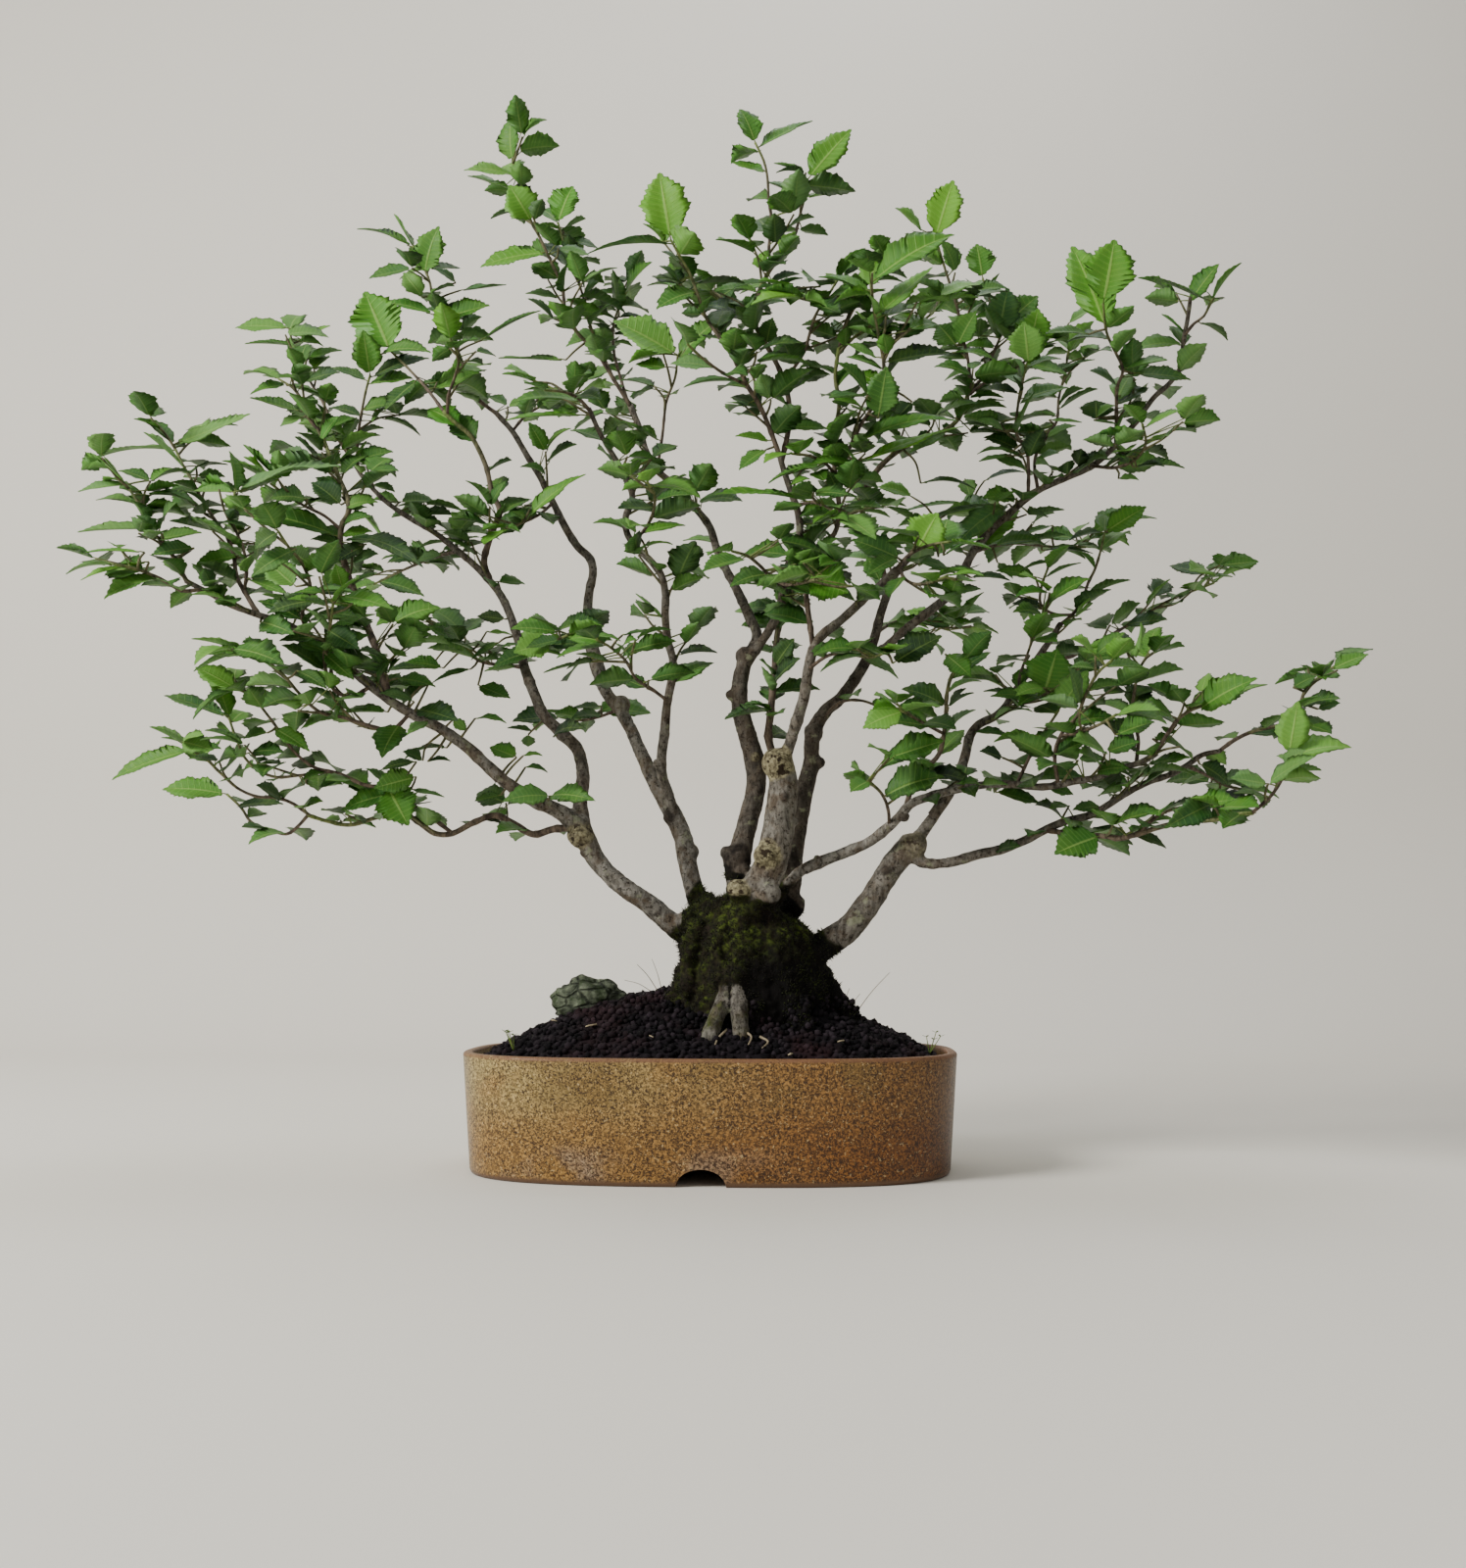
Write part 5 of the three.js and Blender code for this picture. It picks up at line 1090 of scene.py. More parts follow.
def stone_material():
    m = material("mossy_stone")
    rough = m.noise(120, 8, 0.7)
    veins = m.cells(62, m.scaled(m.object, (1.0, 1.0, 1.7)), "DISTANCE_TO_EDGE").outputs["Distance"]
    color = m.mix(m.ramp(rough, 0.32, 0.68), srgb(40, 46, 36), srgb(112, 120, 98))
    color = m.mix(m.ramp(veins, 0.0, 0.1, 0.8, 0.0), color, srgb(22, 26, 18))
    color = m.mix(m.ramp(m.noise(70, 5), 0.5, 0.64, 0.0, 0.75), color, srgb(44, 58, 28))
    m.bump(m.math("ADD", rough, m.ramp(veins, 0.0, 0.12)), 0.9, 0.002)
    return m.surface(color, m.ramp(rough, 0.3, 0.7, 0.9, 0.7), Specular_IOR_Level=0.25)


def glaze_material():
    m = material("pot_glaze")
    parts = m.add("ShaderNodeSeparateXYZ")
    m.link(m.object, parts.inputs[0])
    wide = m.noise(7, 3, 0.55)
    cloud = m.noise(26, 5, 0.6)
    across = m.ramp(parts.outputs[0], -0.18, 0.18)
    height = m.ramp(parts.outputs[2], 0.0, POT["height"] * MM)
    mottle = m.ramp(m.noise(450, 5, 0.7), 0.36, 0.64)
    warm = m.mix(mottle, srgb(90, 62, 27), srgb(174, 136, 74))
    green = m.mix(mottle, srgb(116, 98, 52), srgb(190, 170, 112))
    red = m.mix(mottle, srgb(56, 26, 6), srgb(138, 80, 24))
    lilac = m.mix(mottle, srgb(98, 78, 62), srgb(160, 140, 118))
    # paler yellow-green on the upper left: partly the glaze's own colour, partly a painted highlight on the
    # lit side
    left = m.math("MULTIPLY", m.math("SUBTRACT", 1.0, across), m.ramp(height, 0.1, 1.0))
    color = m.mix(m.math("MULTIPLY", left, m.ramp(cloud, 0.3, 0.6, 0.2, 0.9)), warm, green)
    low = m.math("MULTIPLY", across, m.ramp(height, 0.9, 0.0, 0.6, 1.0))
    color = m.mix(m.math("MULTIPLY", low, m.ramp(wide, 0.3, 0.7, 0.5, 1.0)), color, red)
    foot_band = m.math("MULTIPLY", m.ramp(height, 0.3, 0.08), m.ramp(m.noise(18, 4), 0.42, 0.6, 0.0, 0.8))
    foot_band = m.math("MULTIPLY", foot_band, m.ramp(across, 0.9, 0.3))
    color = m.mix(foot_band, color, lilac)
    band = m.math("MULTIPLY", m.ramp(m.noise(16, 4), 0.48, 0.62), m.ramp(height, 0.55, 0.8))
    color = m.mix(m.math("MULTIPLY", band, 0.5), color, srgb(112, 92, 48))
    fleck = m.ramp(m.noise(680, 3, 0.65), 0.515, 0.57)
    dots = m.ramp(m.cells(560).outputs["Distance"], 0.16, 0.4, 1.0, 0.0)
    speck = m.math("MAXIMUM", m.math("MULTIPLY", fleck, 0.92), m.math("MULTIPLY", dots, 0.85))
    speck = m.math("MULTIPLY", speck, m.ramp(m.noise(60, 3), 0.25, 0.55, 0.6, 1.0))
    color = m.mix(speck, color, srgb(44, 26, 12))
    color = m.mix(m.ramp(m.noise(480, 2, 0.6), 0.62, 0.7, 0.0, 0.5), color, srgb(214, 186, 132))
    # painted shade: the glaze darkens towards the pot's right end, away from the light
    right_end_shade = m.ramp(m.noise(14, 3), 0.2, 0.7, 0.35, 0.6)
    right_end_shade = m.math("MULTIPLY", m.ramp(parts.outputs[0], 0.13, 0.19), right_end_shade)
    color = m.mix(right_end_shade, color, srgb(40, 24, 14))
    edge = m.ramp(parts.outputs[2], (POT["height"] - 3.6) * MM, (POT["height"] - 1.4) * MM)
    color = m.mix(m.math("MULTIPLY", edge, m.ramp(m.noise(90), 0.3, 0.6, 0.5, 0.9)), color, srgb(116, 80, 56))
    foot = m.ramp(parts.outputs[2], 0.002, 0.005, 1.0, 0.0)
    color = m.mix(foot, color, srgb(96, 70, 48))
    m.bump(m.math("ADD", m.noise(60, 3), m.math("MULTIPLY", speck, 0.3)), 0.22, 0.0012)
    rough = m.math("ADD", m.ramp(speck, 0.0, 1.0, 0.34, 0.5), m.math("MULTIPLY", edge, 0.25))
    return m.surface(color, rough, Coat_Weight=0.08, Coat_Roughness=0.2, Specular_IOR_Level=0.32)


def plastic_material():
    m = material("drain_plastic")
    color = m.mix(m.noise(300), srgb(34, 36, 35), srgb(58, 60, 58))
    return m.surface(color, m.ramp(m.noise(500), 0.3, 0.7, 0.5, 0.7))


# Leaves: a blade with forward teeth, pleated along its side veins, with a short stalk
BLADE_FROM = 0.1
BLADE_THICK = 0.7
STALK = [0.62, 0.5, 0.42]
SHOOT = [1.15, 0.95, 0.8]
TWIG_SIDES = 8
COLUMNS_FINE = (-1, -0.66, -0.33, 0, 0.33, 0.66, 1)
COLUMNS = (-1, -0.5, 0, 0.5, 1)
HALF_EDGE = ((0.1, 0.03), (0.14, 0.42), (0.2, 0.7), (0.28, 0.89), (0.38, 0.99), (0.5, 1.0), (0.62, 0.92),
             (0.74, 0.71), (0.84, 0.43), (0.92, 0.17), (1.0, 0.0))


def blade_template(columns, teeth):
    """Rows that run out along the side veins to the teeth, as along, across and ripple."""
    blade = 1 - BLADE_FROM
    edge_at, edge = zip(*HALF_EDGE)
    rows_along = [BLADE_FROM]
    edge_size = [0.3]
    ripple = [0.0]
    for k in range(teeth):
        here = BLADE_FROM + blade * (k + 0.35) / teeth
        notch = BLADE_FROM + blade * (k + 1.0 - 0.12) / teeth
        size = np.interp(here, edge_at, edge)
        rows_along += [here + 0.02, notch]
        after = np.interp(notch, edge_at, edge)
        edge_size += [size * 1.03 + 0.01, max(after * 0.95 - 0.012, 0.015)]
        ripple += [1.0, -1.0]
    rows_along.append(1.0)
    edge_size.append(0.0)
    ripple.append(0.0)
    u, v, w, x = [], [], [], []
    for row, size, wave in zip(rows_along, edge_size, ripple):
        for c in columns:
            lag = 0.42 * row * (1 - row) * (1 - abs(c))
            u.append(max(row - lag, BLADE_FROM * 0.8))
            v.append(size * c)
            w.append(wave * math.sin(math.pi * min(abs(c), 1)) * min(1, size * 1.6))
            x.append(row)
    return columns, np.array(u), np.array(v), np.array(w), np.array(x), len(rows_along)


def add_leaf(shape, leaf, template):
    """One closed blade: an upper and a lower skin that meet at the toothed edge."""
    columns, u, v, w, row, count = template
    width = len(columns)
    length, half = leaf["length"], leaf["half"]
    nibble = 1 + 0.1 * np.sin(23 * row + 40 * leaf["luck"] + 2 * v) * np.abs(v)
    across = v * half * nibble
    skew = np.where((v > 0) == leaf["turned"], 0.03 * np.exp(-((u - 0.12) / 0.07) ** 2), 0.0)
    rise = np.abs(across) * FOLD * leaf["open"] + w * 0.0035 * length
    rise = rise + leaf["bend"] * length * 4 * u * (1 - u) - leaf["droop"] * length * u ** 3
    rise = rise + leaf["wave"] * length * np.sin(6.3 * u + 2.5 * v + leaf["luck"] * 6) * np.abs(v) * 0.5
    points = leaf["foot"] + np.outer((u - skew) * length, leaf["along"])
    points = points + np.outer(across, leaf["across"]) + np.outer(rise, leaf["up"])
    edge = np.array([c != 0 for c in columns] * count)
    edge[:width] = True
    edge[-width:] = True
    lower = points - leaf["up"] * BLADE_THICK
    keep = np.cumsum(~edge) - 1 + len(points)
    mirror = np.where(edge, np.arange(len(points)), keep)
    faces = []
    middle = width // 2
    for r in range(count - 1):
        for c in range(width - 1):
            a = r * width + c
            faces.append((a, a + 1, a + 1 + width, a + width))
        for c in (0, middle):
            a = r * width + c
            quad = (a + width, a + middle + width, a + middle, a)
            faces.append(tuple(int(mirror[i]) for i in quad))
    coords = np.column_stack([row, 0.5 + np.tile(np.array(columns), count) / 2])
    every = np.vstack([points, lower[~edge]])
    tone = np.tile([leaf["young"], leaf["luck"], 0.0, 0.0], (len(every), 1))
    tone[len(points):, 2] = 1.0
    shape.add(every, faces, tone, np.vstack([coords, coords[~edge]]))


def dress(leaf):
    """Small differences between one leaf and the next."""
    leaf["luck"] = rng.uniform(0, 1)
    leaf["turned"] = rng.random() < 0.5
    leaf["bend"] = rng.uniform(-0.02, 0.07)
    leaf["droop"] = rng.uniform(0.0, 0.16)
    leaf["wave"] = rng.uniform(0.0, 0.08)
    leaf["open"] = rng.uniform(0.7, 1.5)
    leaf["young"] = min(1.0, max(0.0, leaf["young"] + rng.normal(0, 0.13)))


def add_stalk(shape, leaf, line):
    """The short stalk between a twig and the blade."""
    start = closest_on(line, leaf["foot"])
    end = leaf["foot"] + leaf["along"] * leaf["length"] * (BLADE_FROM + 0.02)
    middle = (start + end) / 2 + leaf["up"] * 0.4
    shape.thread([start, middle, end], STALK, 2.4, 4, (0.75, leaf["luck"], 0, 0))


# Further leaves and shoots, that the frame doesn't hold
EXTRA_STEP = 12.5
EXTRA_CLEAR = 0.3
EXTRA_TRIES = 8
EXTRA_LENGTH = (26, 45)
SHOOT_LENGTH = (9, 38)
SHOOT_STEP = (9, 14)
SHOOT_SHARE = 0.42
CROWDED = {
    # how much more, or less, leafy a limb is than the others
    2.4: ("arm_tip", "arm_middle", "riser_side", "third_tip"),
    1.7: ("arm_loop", "arm_riser", "arm_riser_low", "arm_left", "left_riser", "riser_tip", "left_arm",
          "crown_front", "crown_back", "whip_up", "whip_stem", "whip_stem_side", "arch_low", "heart_low",
          "up_low"),
    1.35: ("mid_run", "second_tip", "second_right", "second_mid", "second_low", "back_low", "crown_left",
           "right_mid", "centre_thin", "mid_up", "mid_up_back", "heart", "back_out", "back_end", "rise_tip",
           "rise_c", "low_tip", "fork_low", "bow_up", "mid_front", "thin_right", "back_tip_side"),
    0.6: ("left_whip", "whip_tip", "whip_drop", "fork_side", "left_bow", "lone_riser", "front_low",
          "whip_left", "back_short", "arch_tip", "up_long", "mid_back", "crown_top", "crown_top_side"),
}
HIDING = 0.42
MISSED_EASES = (0, -12, 12, -24, 24, -36, 36, -48)
MORE_EASES = (0, -10, 10, -20, 20, -32, 32, -44)
NARROWEST = 8
FLATTEST = 58
OFF_LIMB = 4
THIN_LIMB = 3.6
MORE_LEAVES = [
    # foot and tip as seen, width, tilt from face-on to flat, how young it is; its brightness is partly youth,
    # partly painted light
    ((-229, 680), (-277, 692), 24, 50, 0.7), ((-238, 695), (-255, 717), 19, 20, 0.4),
    ((-208, 700), (-169, 705), 23, 60, 0.15), ((-211, 707), (-228, 721), 11, 40, 0.2),
    ((-189, 657), (-142, 685), 15, 55, 0.35), ((-119, 639), (-175, 645), 19, 68, 0.3),
    ((-105, 603), (-164, 608), 21, 50, 0.4), ((-102, 592), (-168, 596), 17, 68, 0.5),
    ((-279, 627), (-232, 645), 21, 35, 0.1), ((-272, 647), (-233, 654), 20, 40, 0.6),
    ((-283, 625), (-313, 637), 15, 50, 0.1), ((-340, 629), (-370, 632), 15, 50, 0.1),
    ((-336, 625), (-309, 637), 19, 35, 0.05), ((-337, 600), (-380, 613), 18, 50, 0.25),
    ((-285, 594), (-314, 606), 15, 50, 0.1), ((-335, 595), (-354, 589), 15, 40, 0.3),
    ((-87, 662), (-120, 654), 23, 40, 0.2), ((18, 697), (-7, 680), 19, 35, 0.25),
    ((-13, 694), (-46, 683), 23, 40, 0.3), ((138, 631), (192, 645), 25, 40, 0.15),
    ((44, 649), (48, 671), 17, 30, 0.35), ((134, 612), (116, 625), 16, 30, 0.75),
    ((197, 644), (212, 673), 24, 30, 0.5), ((230, 652), (238, 692), 30, 25, 0),
    ((301, 651), (267, 654), 17, 45, 0.1), ((285, 660), (309, 675), 16, 40, 0.35),
    ((252, 624), (279, 632), 15, 55, 0.6), ((376, 640), (336, 642), 21, 40, 0),
    ((335, 618), (381, 616), 23, 40, 0.15), ((245, 603), (215, 608), 16, 45, 0.1),
    ((246, 598), (284, 610), 21, 40, 0.2), ((305, 582), (319, 593), 13, 40, 0.3),
    ((325, 581), (345, 596), 14, 40, 0.15), ((333, 541), (373, 544), 15, 55, 0.25),
    ((233, 572), (212, 585), 17, 45, 0.25), ((62, 474), (22, 476), 26, 40, 0.4),
    ((74, 452), (107, 446), 25, 35, 0.1), ((102, 496), (131, 494), 17, 50, 0.35),
    ((149, 470), (111, 488), 23, 30, 0), ((133, 452), (123, 472), 17, 30, 0.4),
    ((142, 386), (181, 408), 27, 35, 0.1), ((183, 393), (203, 376), 18, 35, 0.45),
    ((101, 523), (93, 542), 16, 30, 0.4), ((106, 513), (136, 515), 19, 55, 0.35),
    ((46, 567), (19, 575), 17, 50, 0.4), ((44, 561), (21, 546), 16, 35, 0.15),
    ((273, 334), (314, 345), 22, 45, 0.35), ((313, 328), (343, 339), 19, 45, 0.4),
    ((341, 325), (374, 313), 22, 45, 0.35), ((357, 342), (334, 354), 19, 40, 0.1),
    ((368, 347), (420, 370), 22, 40, 0.1), ((384, 274), (348, 256), 18, 30, 0.05),
    ((376, 305), (399, 290), 20, 40, 0.05), ((386, 279), (413, 279), 15, 50, 0.05),
    ((449, 364), (466, 374), 15, 35, 0.1), ((467, 347), (484, 352), 13, 35, 0),
    ((462, 333), (446, 345), 15, 35, 0.3), ((440, 327), (413, 329), 18, 50, 0.2),
    ((440, 302), (454, 316), 14, 35, 0.1), ((220, 284), (256, 278), 18, 50, 0.15),
    ((226, 311), (209, 317), 13, 35, 0.05), ((301, 272), (279, 272), 14, 45, 0.15),
    ((-379, 276), (-343, 283), 18, 50, 0.1), ((-253, 273), (-247, 304), 23, 25, 0.05),
    ((-294, 298), (-312, 292), 13, 40, 0.15), ((-229, 312), (-245, 320), 13, 45, 0.15),
    ((-125, 330), (-105, 341), 17, 40, 0.1), ((-154, 314), (-176, 324), 18, 40, 0.2),
    ((-127, 283), (-163, 283), 20, 45, 0.1), ((-127, 283), (-96, 284), 18, 45, 0.1),
    ((-258, 351), (-299, 353), 20, 55, 0.15), ((-235, 353), (-202, 345), 21, 45, 0.2),
    ((-350, 339), (-321, 324), 16, 45, 0.15), ((-355, 335), (-375, 331), 14, 45, 0.15),
    ((-384, 480), (-423, 475), 21, 40, 0.1), ((-336, 454), (-363, 478), 23, 30, 0.5),
    ((-298, 452), (-304, 472), 15, 30, 0.6), ((-301, 446), (-257, 440), 21, 45, 0.6),
    ((-271, 458), (-231, 449), 24, 40, 0.35), ((-364, 425), (-338, 417), 19, 40, 0.35),
    ((-454, 494), (-416, 502), 19, 45, 0.5), ((-428, 462), (-467, 462), 22, 35, 0.65),
    ((-390, 533), (-424, 536), 17, 50, 0.35), ((-318, 442), (-359, 436), 18, 40, 0.05),
    ((-319, 431), (-285, 429), 15, 50, 0.05), ((-297, 519), (-272, 525), 19, 35, 0.35),
    ((-301, 521), (-326, 542), 22, 35, 0), ((-329, 526), (-360, 530), 21, 40, 0.15),
    ((-124, 415), (-88, 424), 24, 45, 0.1), ((-120, 408), (-148, 402), 18, 50, 0.1),
    ((-214, 386), (-246, 392), 18, 45, 0.5), ((-252, 378), (-220, 372), 16, 50, 0.1),
    ((-140, 398), (-176, 388), 20, 45, 0.15), ((-186, 372), (-160, 362), 18, 50, 0.1),
    ((-302, 468), (-314, 451), 16, 20, 0.35), ((-377, 461), (-340, 451), 11, 55, 0.6),
    ((-337, 485), (-374, 466), 19, 30, 0.1), ((-421, 487), (-457, 482), 19, 40, 0.3),
    ((-458, 476), (-518, 471), 12, 66, 0.75), ((-462, 484), (-517, 490), 8, 70, 0.6),
    ((-336, 421), (-381, 410), 16, 45, 0.15), ((-310, 419), (-283, 403), 19, 30, 0.05),
    ((-312, 400), (-286, 377), 16, 45, 0.3), ((-333, 385), (-308, 372), 14, 50, 0.2),
    ((-225, 386), (-262, 385), 14, 50, 0.15), ((-226, 373), (-253, 354), 16, 30, 0.3),
    ((-375, 504), (-402, 510), 9, 60, 0.1), ((-279, 488), (-305, 475), 16, 30, 0.05),
    ((-352, 499), (-371, 486), 19, 20, 0.05), ((-325, 472), (-345, 486), 17, 20, 0.1),
    ((-229, 374), (-260, 375), 12, 40, 0.3), ((-237, 359), (-264, 369), 12, 45, 0.05),
    ((-226, 343), (-242, 335), 9, 45, 0.05), ((-165, 425), (-188, 429), 12, 20, 0.05),
    ((-180, 415), (-159, 415), 7, 60, 0.7), ((-146, 402), (-168, 404), 7, 50, 0.05),
    ((-170, 406), (-194, 395), 10, 40, 0.3), ((-157, 390), (-177, 386), 5, 65, 0.1),
    ((-130, 404), (-101, 406), 16, 30, 0.05), ((-102, 417), (-129, 417), 9, 50, 0.4),
    ((-87, 354), (-112, 354), 12, 40, 0.1), ((-141, 336), (-103, 340), 13, 55, 0.05),
    ((-142, 335), (-162, 339), 8, 50, 0.05), ((-145, 332), (-145, 322), 11, 30, 0.1),
    ((-192, 385), (-223, 375), 8, 45, 0.35), ((-206, 344), (-194, 336), 10, 25, 0.4),
    ((-188, 345), (-163, 344), 4, 68, 0.1), ((-210, 322), (-245, 317), 9, 60, 0.1),
    ((-225, 311), (-207, 313), 4, 65, 0.1), ((-234, 299), (-268, 291), 22, 20, 0.05),
    ((-238, 289), (-211, 284), 7, 60, 0.05), ((-234, 311), (-264, 307), 9, 40, 0.1),
    ((-149, 315), (-134, 317), 4, 65, 0.1), ((-147, 306), (-129, 304), 5, 65, 0.1),
    ((-166, 284), (-187, 280), 10, 30, 0.05), ((-151, 284), (-151, 271), 9, 40, 0.05),
    ((-181, 265), (-164, 263), 7, 45, 0.05), ((-71, 411), (-53, 416), 6, 60, 0.1),
    ((-53, 403), (-71, 395), 13, 30, 0.15), ((-93, 411), (-72, 408), 9, 50, 0.3),
    ((-91, 399), (-71, 397), 7, 60, 0.1), ((118, 550), (199, 586), 15, 60, 0.8),
    ((114, 549), (66, 546), 9, 65, 0.7), ((196, 644), (182, 663), 33, 20, 0.35),
    ((193, 638), (226, 637), 12, 55, 0.5), ((133, 634), (108, 648), 12, 40, 0.2),
    ((133, 585), (140, 628), 26, 20, 0.45), ((253, 628), (250, 663), 31, 20, 0.6),
    ((247, 611), (265, 617), 7, 60, 0.1), ((303, 580), (321, 577), 8, 60, 0.2),
    ((305, 580), (305, 597), 28, 40, 0.1), ((225, 574), (199, 580), 8, 65, 0.1),
    ((268, 581), (294, 580), 8, 65, 0.1), ((160, 598), (147, 585), 16, 40, 0.05),
    ((188, 573), (157, 557), 14, 50, 0.05), ((239, 556), (211, 558), 10, 55, 0.05),
    ((235, 552), (212, 549), 9, 50, 0.1), ((166, 531), (209, 532), 12, 60, 0.1),
    ((216, 532), (248, 541), 10, 50, 0.1), ((201, 534), (205, 519), 17, 30, 0.25),
    ((159, 520), (132, 530), 16, 30, 0.3), ((205, 514), (146, 509), 10, 60, 0.05),
    ((222, 513), (158, 500), 12, 55, 0.05), ((235, 513), (190, 483), 26, 40, 0.05),
    ((179, 471), (187, 505), 31, 20, 0.8), ((183, 472), (215, 486), 8, 60, 0.7),
    ((147, 471), (123, 460), 16, 40, 0.3), ((204, 454), (235, 452), 14, 55, 0.1),
    ((269, 495), (237, 484), 10, 50, 0.1), ((308, 489), (281, 484), 12, 50, 0.1),
    ((329, 499), (350, 501), 9, 60, 0.1), ((321, 532), (337, 532), 10, 40, 0.2),
    ((335, 541), (357, 544), 10, 50, 0.2), ((260, 475), (300, 474), 7, 70, 0.05),
    ((267, 466), (242, 462), 9, 55, 0.05), ((225, 466), (237, 453), 10, 40, 0.05),
    ((274, 621), (305, 632), 9, 50, 0.1),
]
shoots = []
shown = {}


def drawn(point):
    """Where a true point is seen on the front plane, as (x, z)."""
    share = -VIEW[1] / (point[1] - VIEW[1])
    return VIEW[[0, 2]] + (point[[0, 2]] - VIEW[[0, 2]]) * share


def hides_shown(leaf):
    """Whether a leaf would stand in front of one that stands out."""
    points = [leaf["foot"] + leaf["along"] * leaf["length"] * share for share in (0.2, 0.6, 1.0)]
    spots = np.array([drawn(point) for point in points])
    gaps = np.linalg.norm(shown["at"][:, None] - spots, axis=2).min(axis=1)
    return bool(np.any((gaps < shown["reach"]) & (leaf["middle"][1] < shown["depth"])))


def try_extra(host, foot, tip, facing, half, young, kind="extra"):
    leaf = make_leaf(host, foot, tip, facing, half)
    if not inside_box(leaf) or not fits(leaf, EXTRA_CLEAR) or (kind == "extra" and hides_shown(leaf)):
        return False
    leaf["kind"] = kind
    leaf["young"] = young
    leaves.append(leaf)
    return True


def plant_missed():
    """Tries once more, with less room round them, the leaves that stand out and found no place."""
    for twig, spot, (tx, tz), width, tilt, lean in missed:
        foot, y = foot_on(twig, spot)
        for ease in MISSED_EASES:
            tip = seen(tx, tz, y + lean + ease)
            if try_extra(twig, foot, tip, tilted(tilt, ease), width / 2, brightness_from_tilt(tilt), "shown"):
                break


def plant_more():
    """Leaves that can each be told apart: they go on the limb nearest to their foot."""
    for (fx, fz), (tx, tz), width, tilt, young in MORE_LEAVES:
        nearest = []
        for limb in wood_limbs[1:] + twig_limbs:
            x, z, y = nearest_on(limb["route"], fx, fz)
            nearest.append((math.hypot(x - fx, z - fz), limb["name"], y))
        name, y = min(nearest)[1:]
        half = max(width, NARROWEST) / 2
        lean = rng.uniform(-14, 6)
        sideways = rng.normal(0, 0.12)
        for ease in MORE_EASES:
            facing = tilted(min(tilt, FLATTEST), ease, sideways)
            foot = seen(fx, fz, y + ease * 0.2)
            tip = seen(tx, tz, y + lean + ease)
            if try_extra(name, foot, tip, facing, half, young, "shown"):
                reach_out(name, leaves[-1])
                break


def reach_out(name, leaf):
    """A leaf that stands off its limb sits on a thin shoot from there."""
    start = closest_on(limbs[name]["full"], leaf["foot"])
    gap = np.linalg.norm(leaf["foot"] - start)
    if gap > OFF_LIMB:
        middle = (start + leaf["foot"]) / 2 + rng.normal(0, 0.07, 3) * gap
        leaf["line"] = [start, middle, leaf["foot"]]
        shoots.append((name, leaf["line"]))


def note_shown():
    """Keeps the places of the leaves that stand out, so that ordinary ones don't cover them."""
    ours = [leaf for leaf in leaves if leaf["kind"] == "shown"]
    middles = [leaf["foot"] + leaf["along"] * leaf["length"] / 2 for leaf in ours]
    reaches = [leaf["length"] * (HIDING if leaf["young"] > 0.3 else HIDING / 2) for leaf in ours]
    shown["at"] = np.array([drawn(middle) for middle in middles])
    shown["depth"] = np.array([middle[1] for middle in middles])
    shown["reach"] = np.array(reaches)


def level_way(along, side, bearing, low, high):
    """A direction that turns off a twig to one side, near level."""
    level = level_beside(along, bearing)
    turn = side * rng.uniform(low, high)
    return unit(along * math.cos(turn) + level * math.sin(turn))


def extra_leaf(host, foot, along, side, bearing, scale, young):
    """Tries a leaf on one side and then the other, a little smaller each time."""
    for _ in range(EXTRA_TRIES):
        way = level_way(along, side, bearing + rng.uniform(-0.8, 0.8), 0.5, 1.4)
        way[2] += rng.uniform(-0.35, 0.25)
        length = rng.uniform(*EXTRA_LENGTH) * scale
        facing = np.array([rng.uniform(-0.5, 0.5), rng.uniform(-1.5, 0.6), 1.0])
        half = length * rng.uniform(0.27, 0.34)
        if try_extra(host, foot, foot + unit(way) * length, facing, half, young):
            return True
        side = -side
        scale = scale * 0.94
    return False


def extra_shoot(limb, foot, along, side, bearing, young):
    """A short side shoot that carries a few leaves left and right."""
    way = level_way(along, side, bearing, 0.4, 1.3)
    way[2] += rng.uniform(-0.2, 0.7)
    way = unit(way)
    length = rng.uniform(*SHOOT_LENGTH)
    middle = foot + way * length * 0.5 + rng.normal(0, 0.05, 3) * length
    end = foot + way * length
    count = extra_leaf(limb["name"], end, way, -side, bearing, 0.9, young)
    place = length
    while place > 5:
        spot, ahead = point_along([foot, middle, end], place)
        side = -side
        count += extra_leaf(limb["name"], spot, ahead, side, bearing, 1.0 if place > 12 else 0.8, young)
        place -= rng.uniform(*SHOOT_STEP)
    if count:
        shoots.append((limb["name"], [foot, middle, end]))


def extra_foliage(limb, start):
    """Further leaves and short shoots along one twig or thin branch."""
    line = limb["smooth"]
    crowd = next((share for share, names in CROWDED.items() if limb["name"] in names), 1.0)
    total = length_of(line)
    bearing = rng.uniform(0, math.pi)
    side = 1
    place = total - rng.uniform(2, 9)
    while place > start:
        foot, along = point_along(line, place)
        side = -side
        young = 0.5 if place > total - 30 else 0.22
        if rng.random() < SHOOT_SHARE:
            extra_shoot(limb, foot, along, side, bearing, young)
        else:
            extra_leaf(limb["name"], foot, along, side, bearing, 1.0, young)
        place -= EXTRA_STEP / crowd * rng.uniform(0.7, 1.3)


def plant_extras():
    plant_missed()
    plant_more()
    note_shown()
    for limb in twig_limbs:
        extra_foliage(limb, 10)
    for limb in wood_limbs:
        thin = [i for i, size in enumerate(limb["full_radii"]) if size < THIN_LIMB]
        if thin and limb["parent"] is not None:
            start = length_of(limb["full"][:max(thin[0], 2)]) + 10
            if start < length_of(limb["smooth"]) - 20:
                extra_foliage(limb, start)


def spray_of(twig):
    """The twig that a spray starts from, which names it."""
    while limbs[twig]["parent"] in twig_names:
        twig = limbs[twig]["parent"]
    return twig


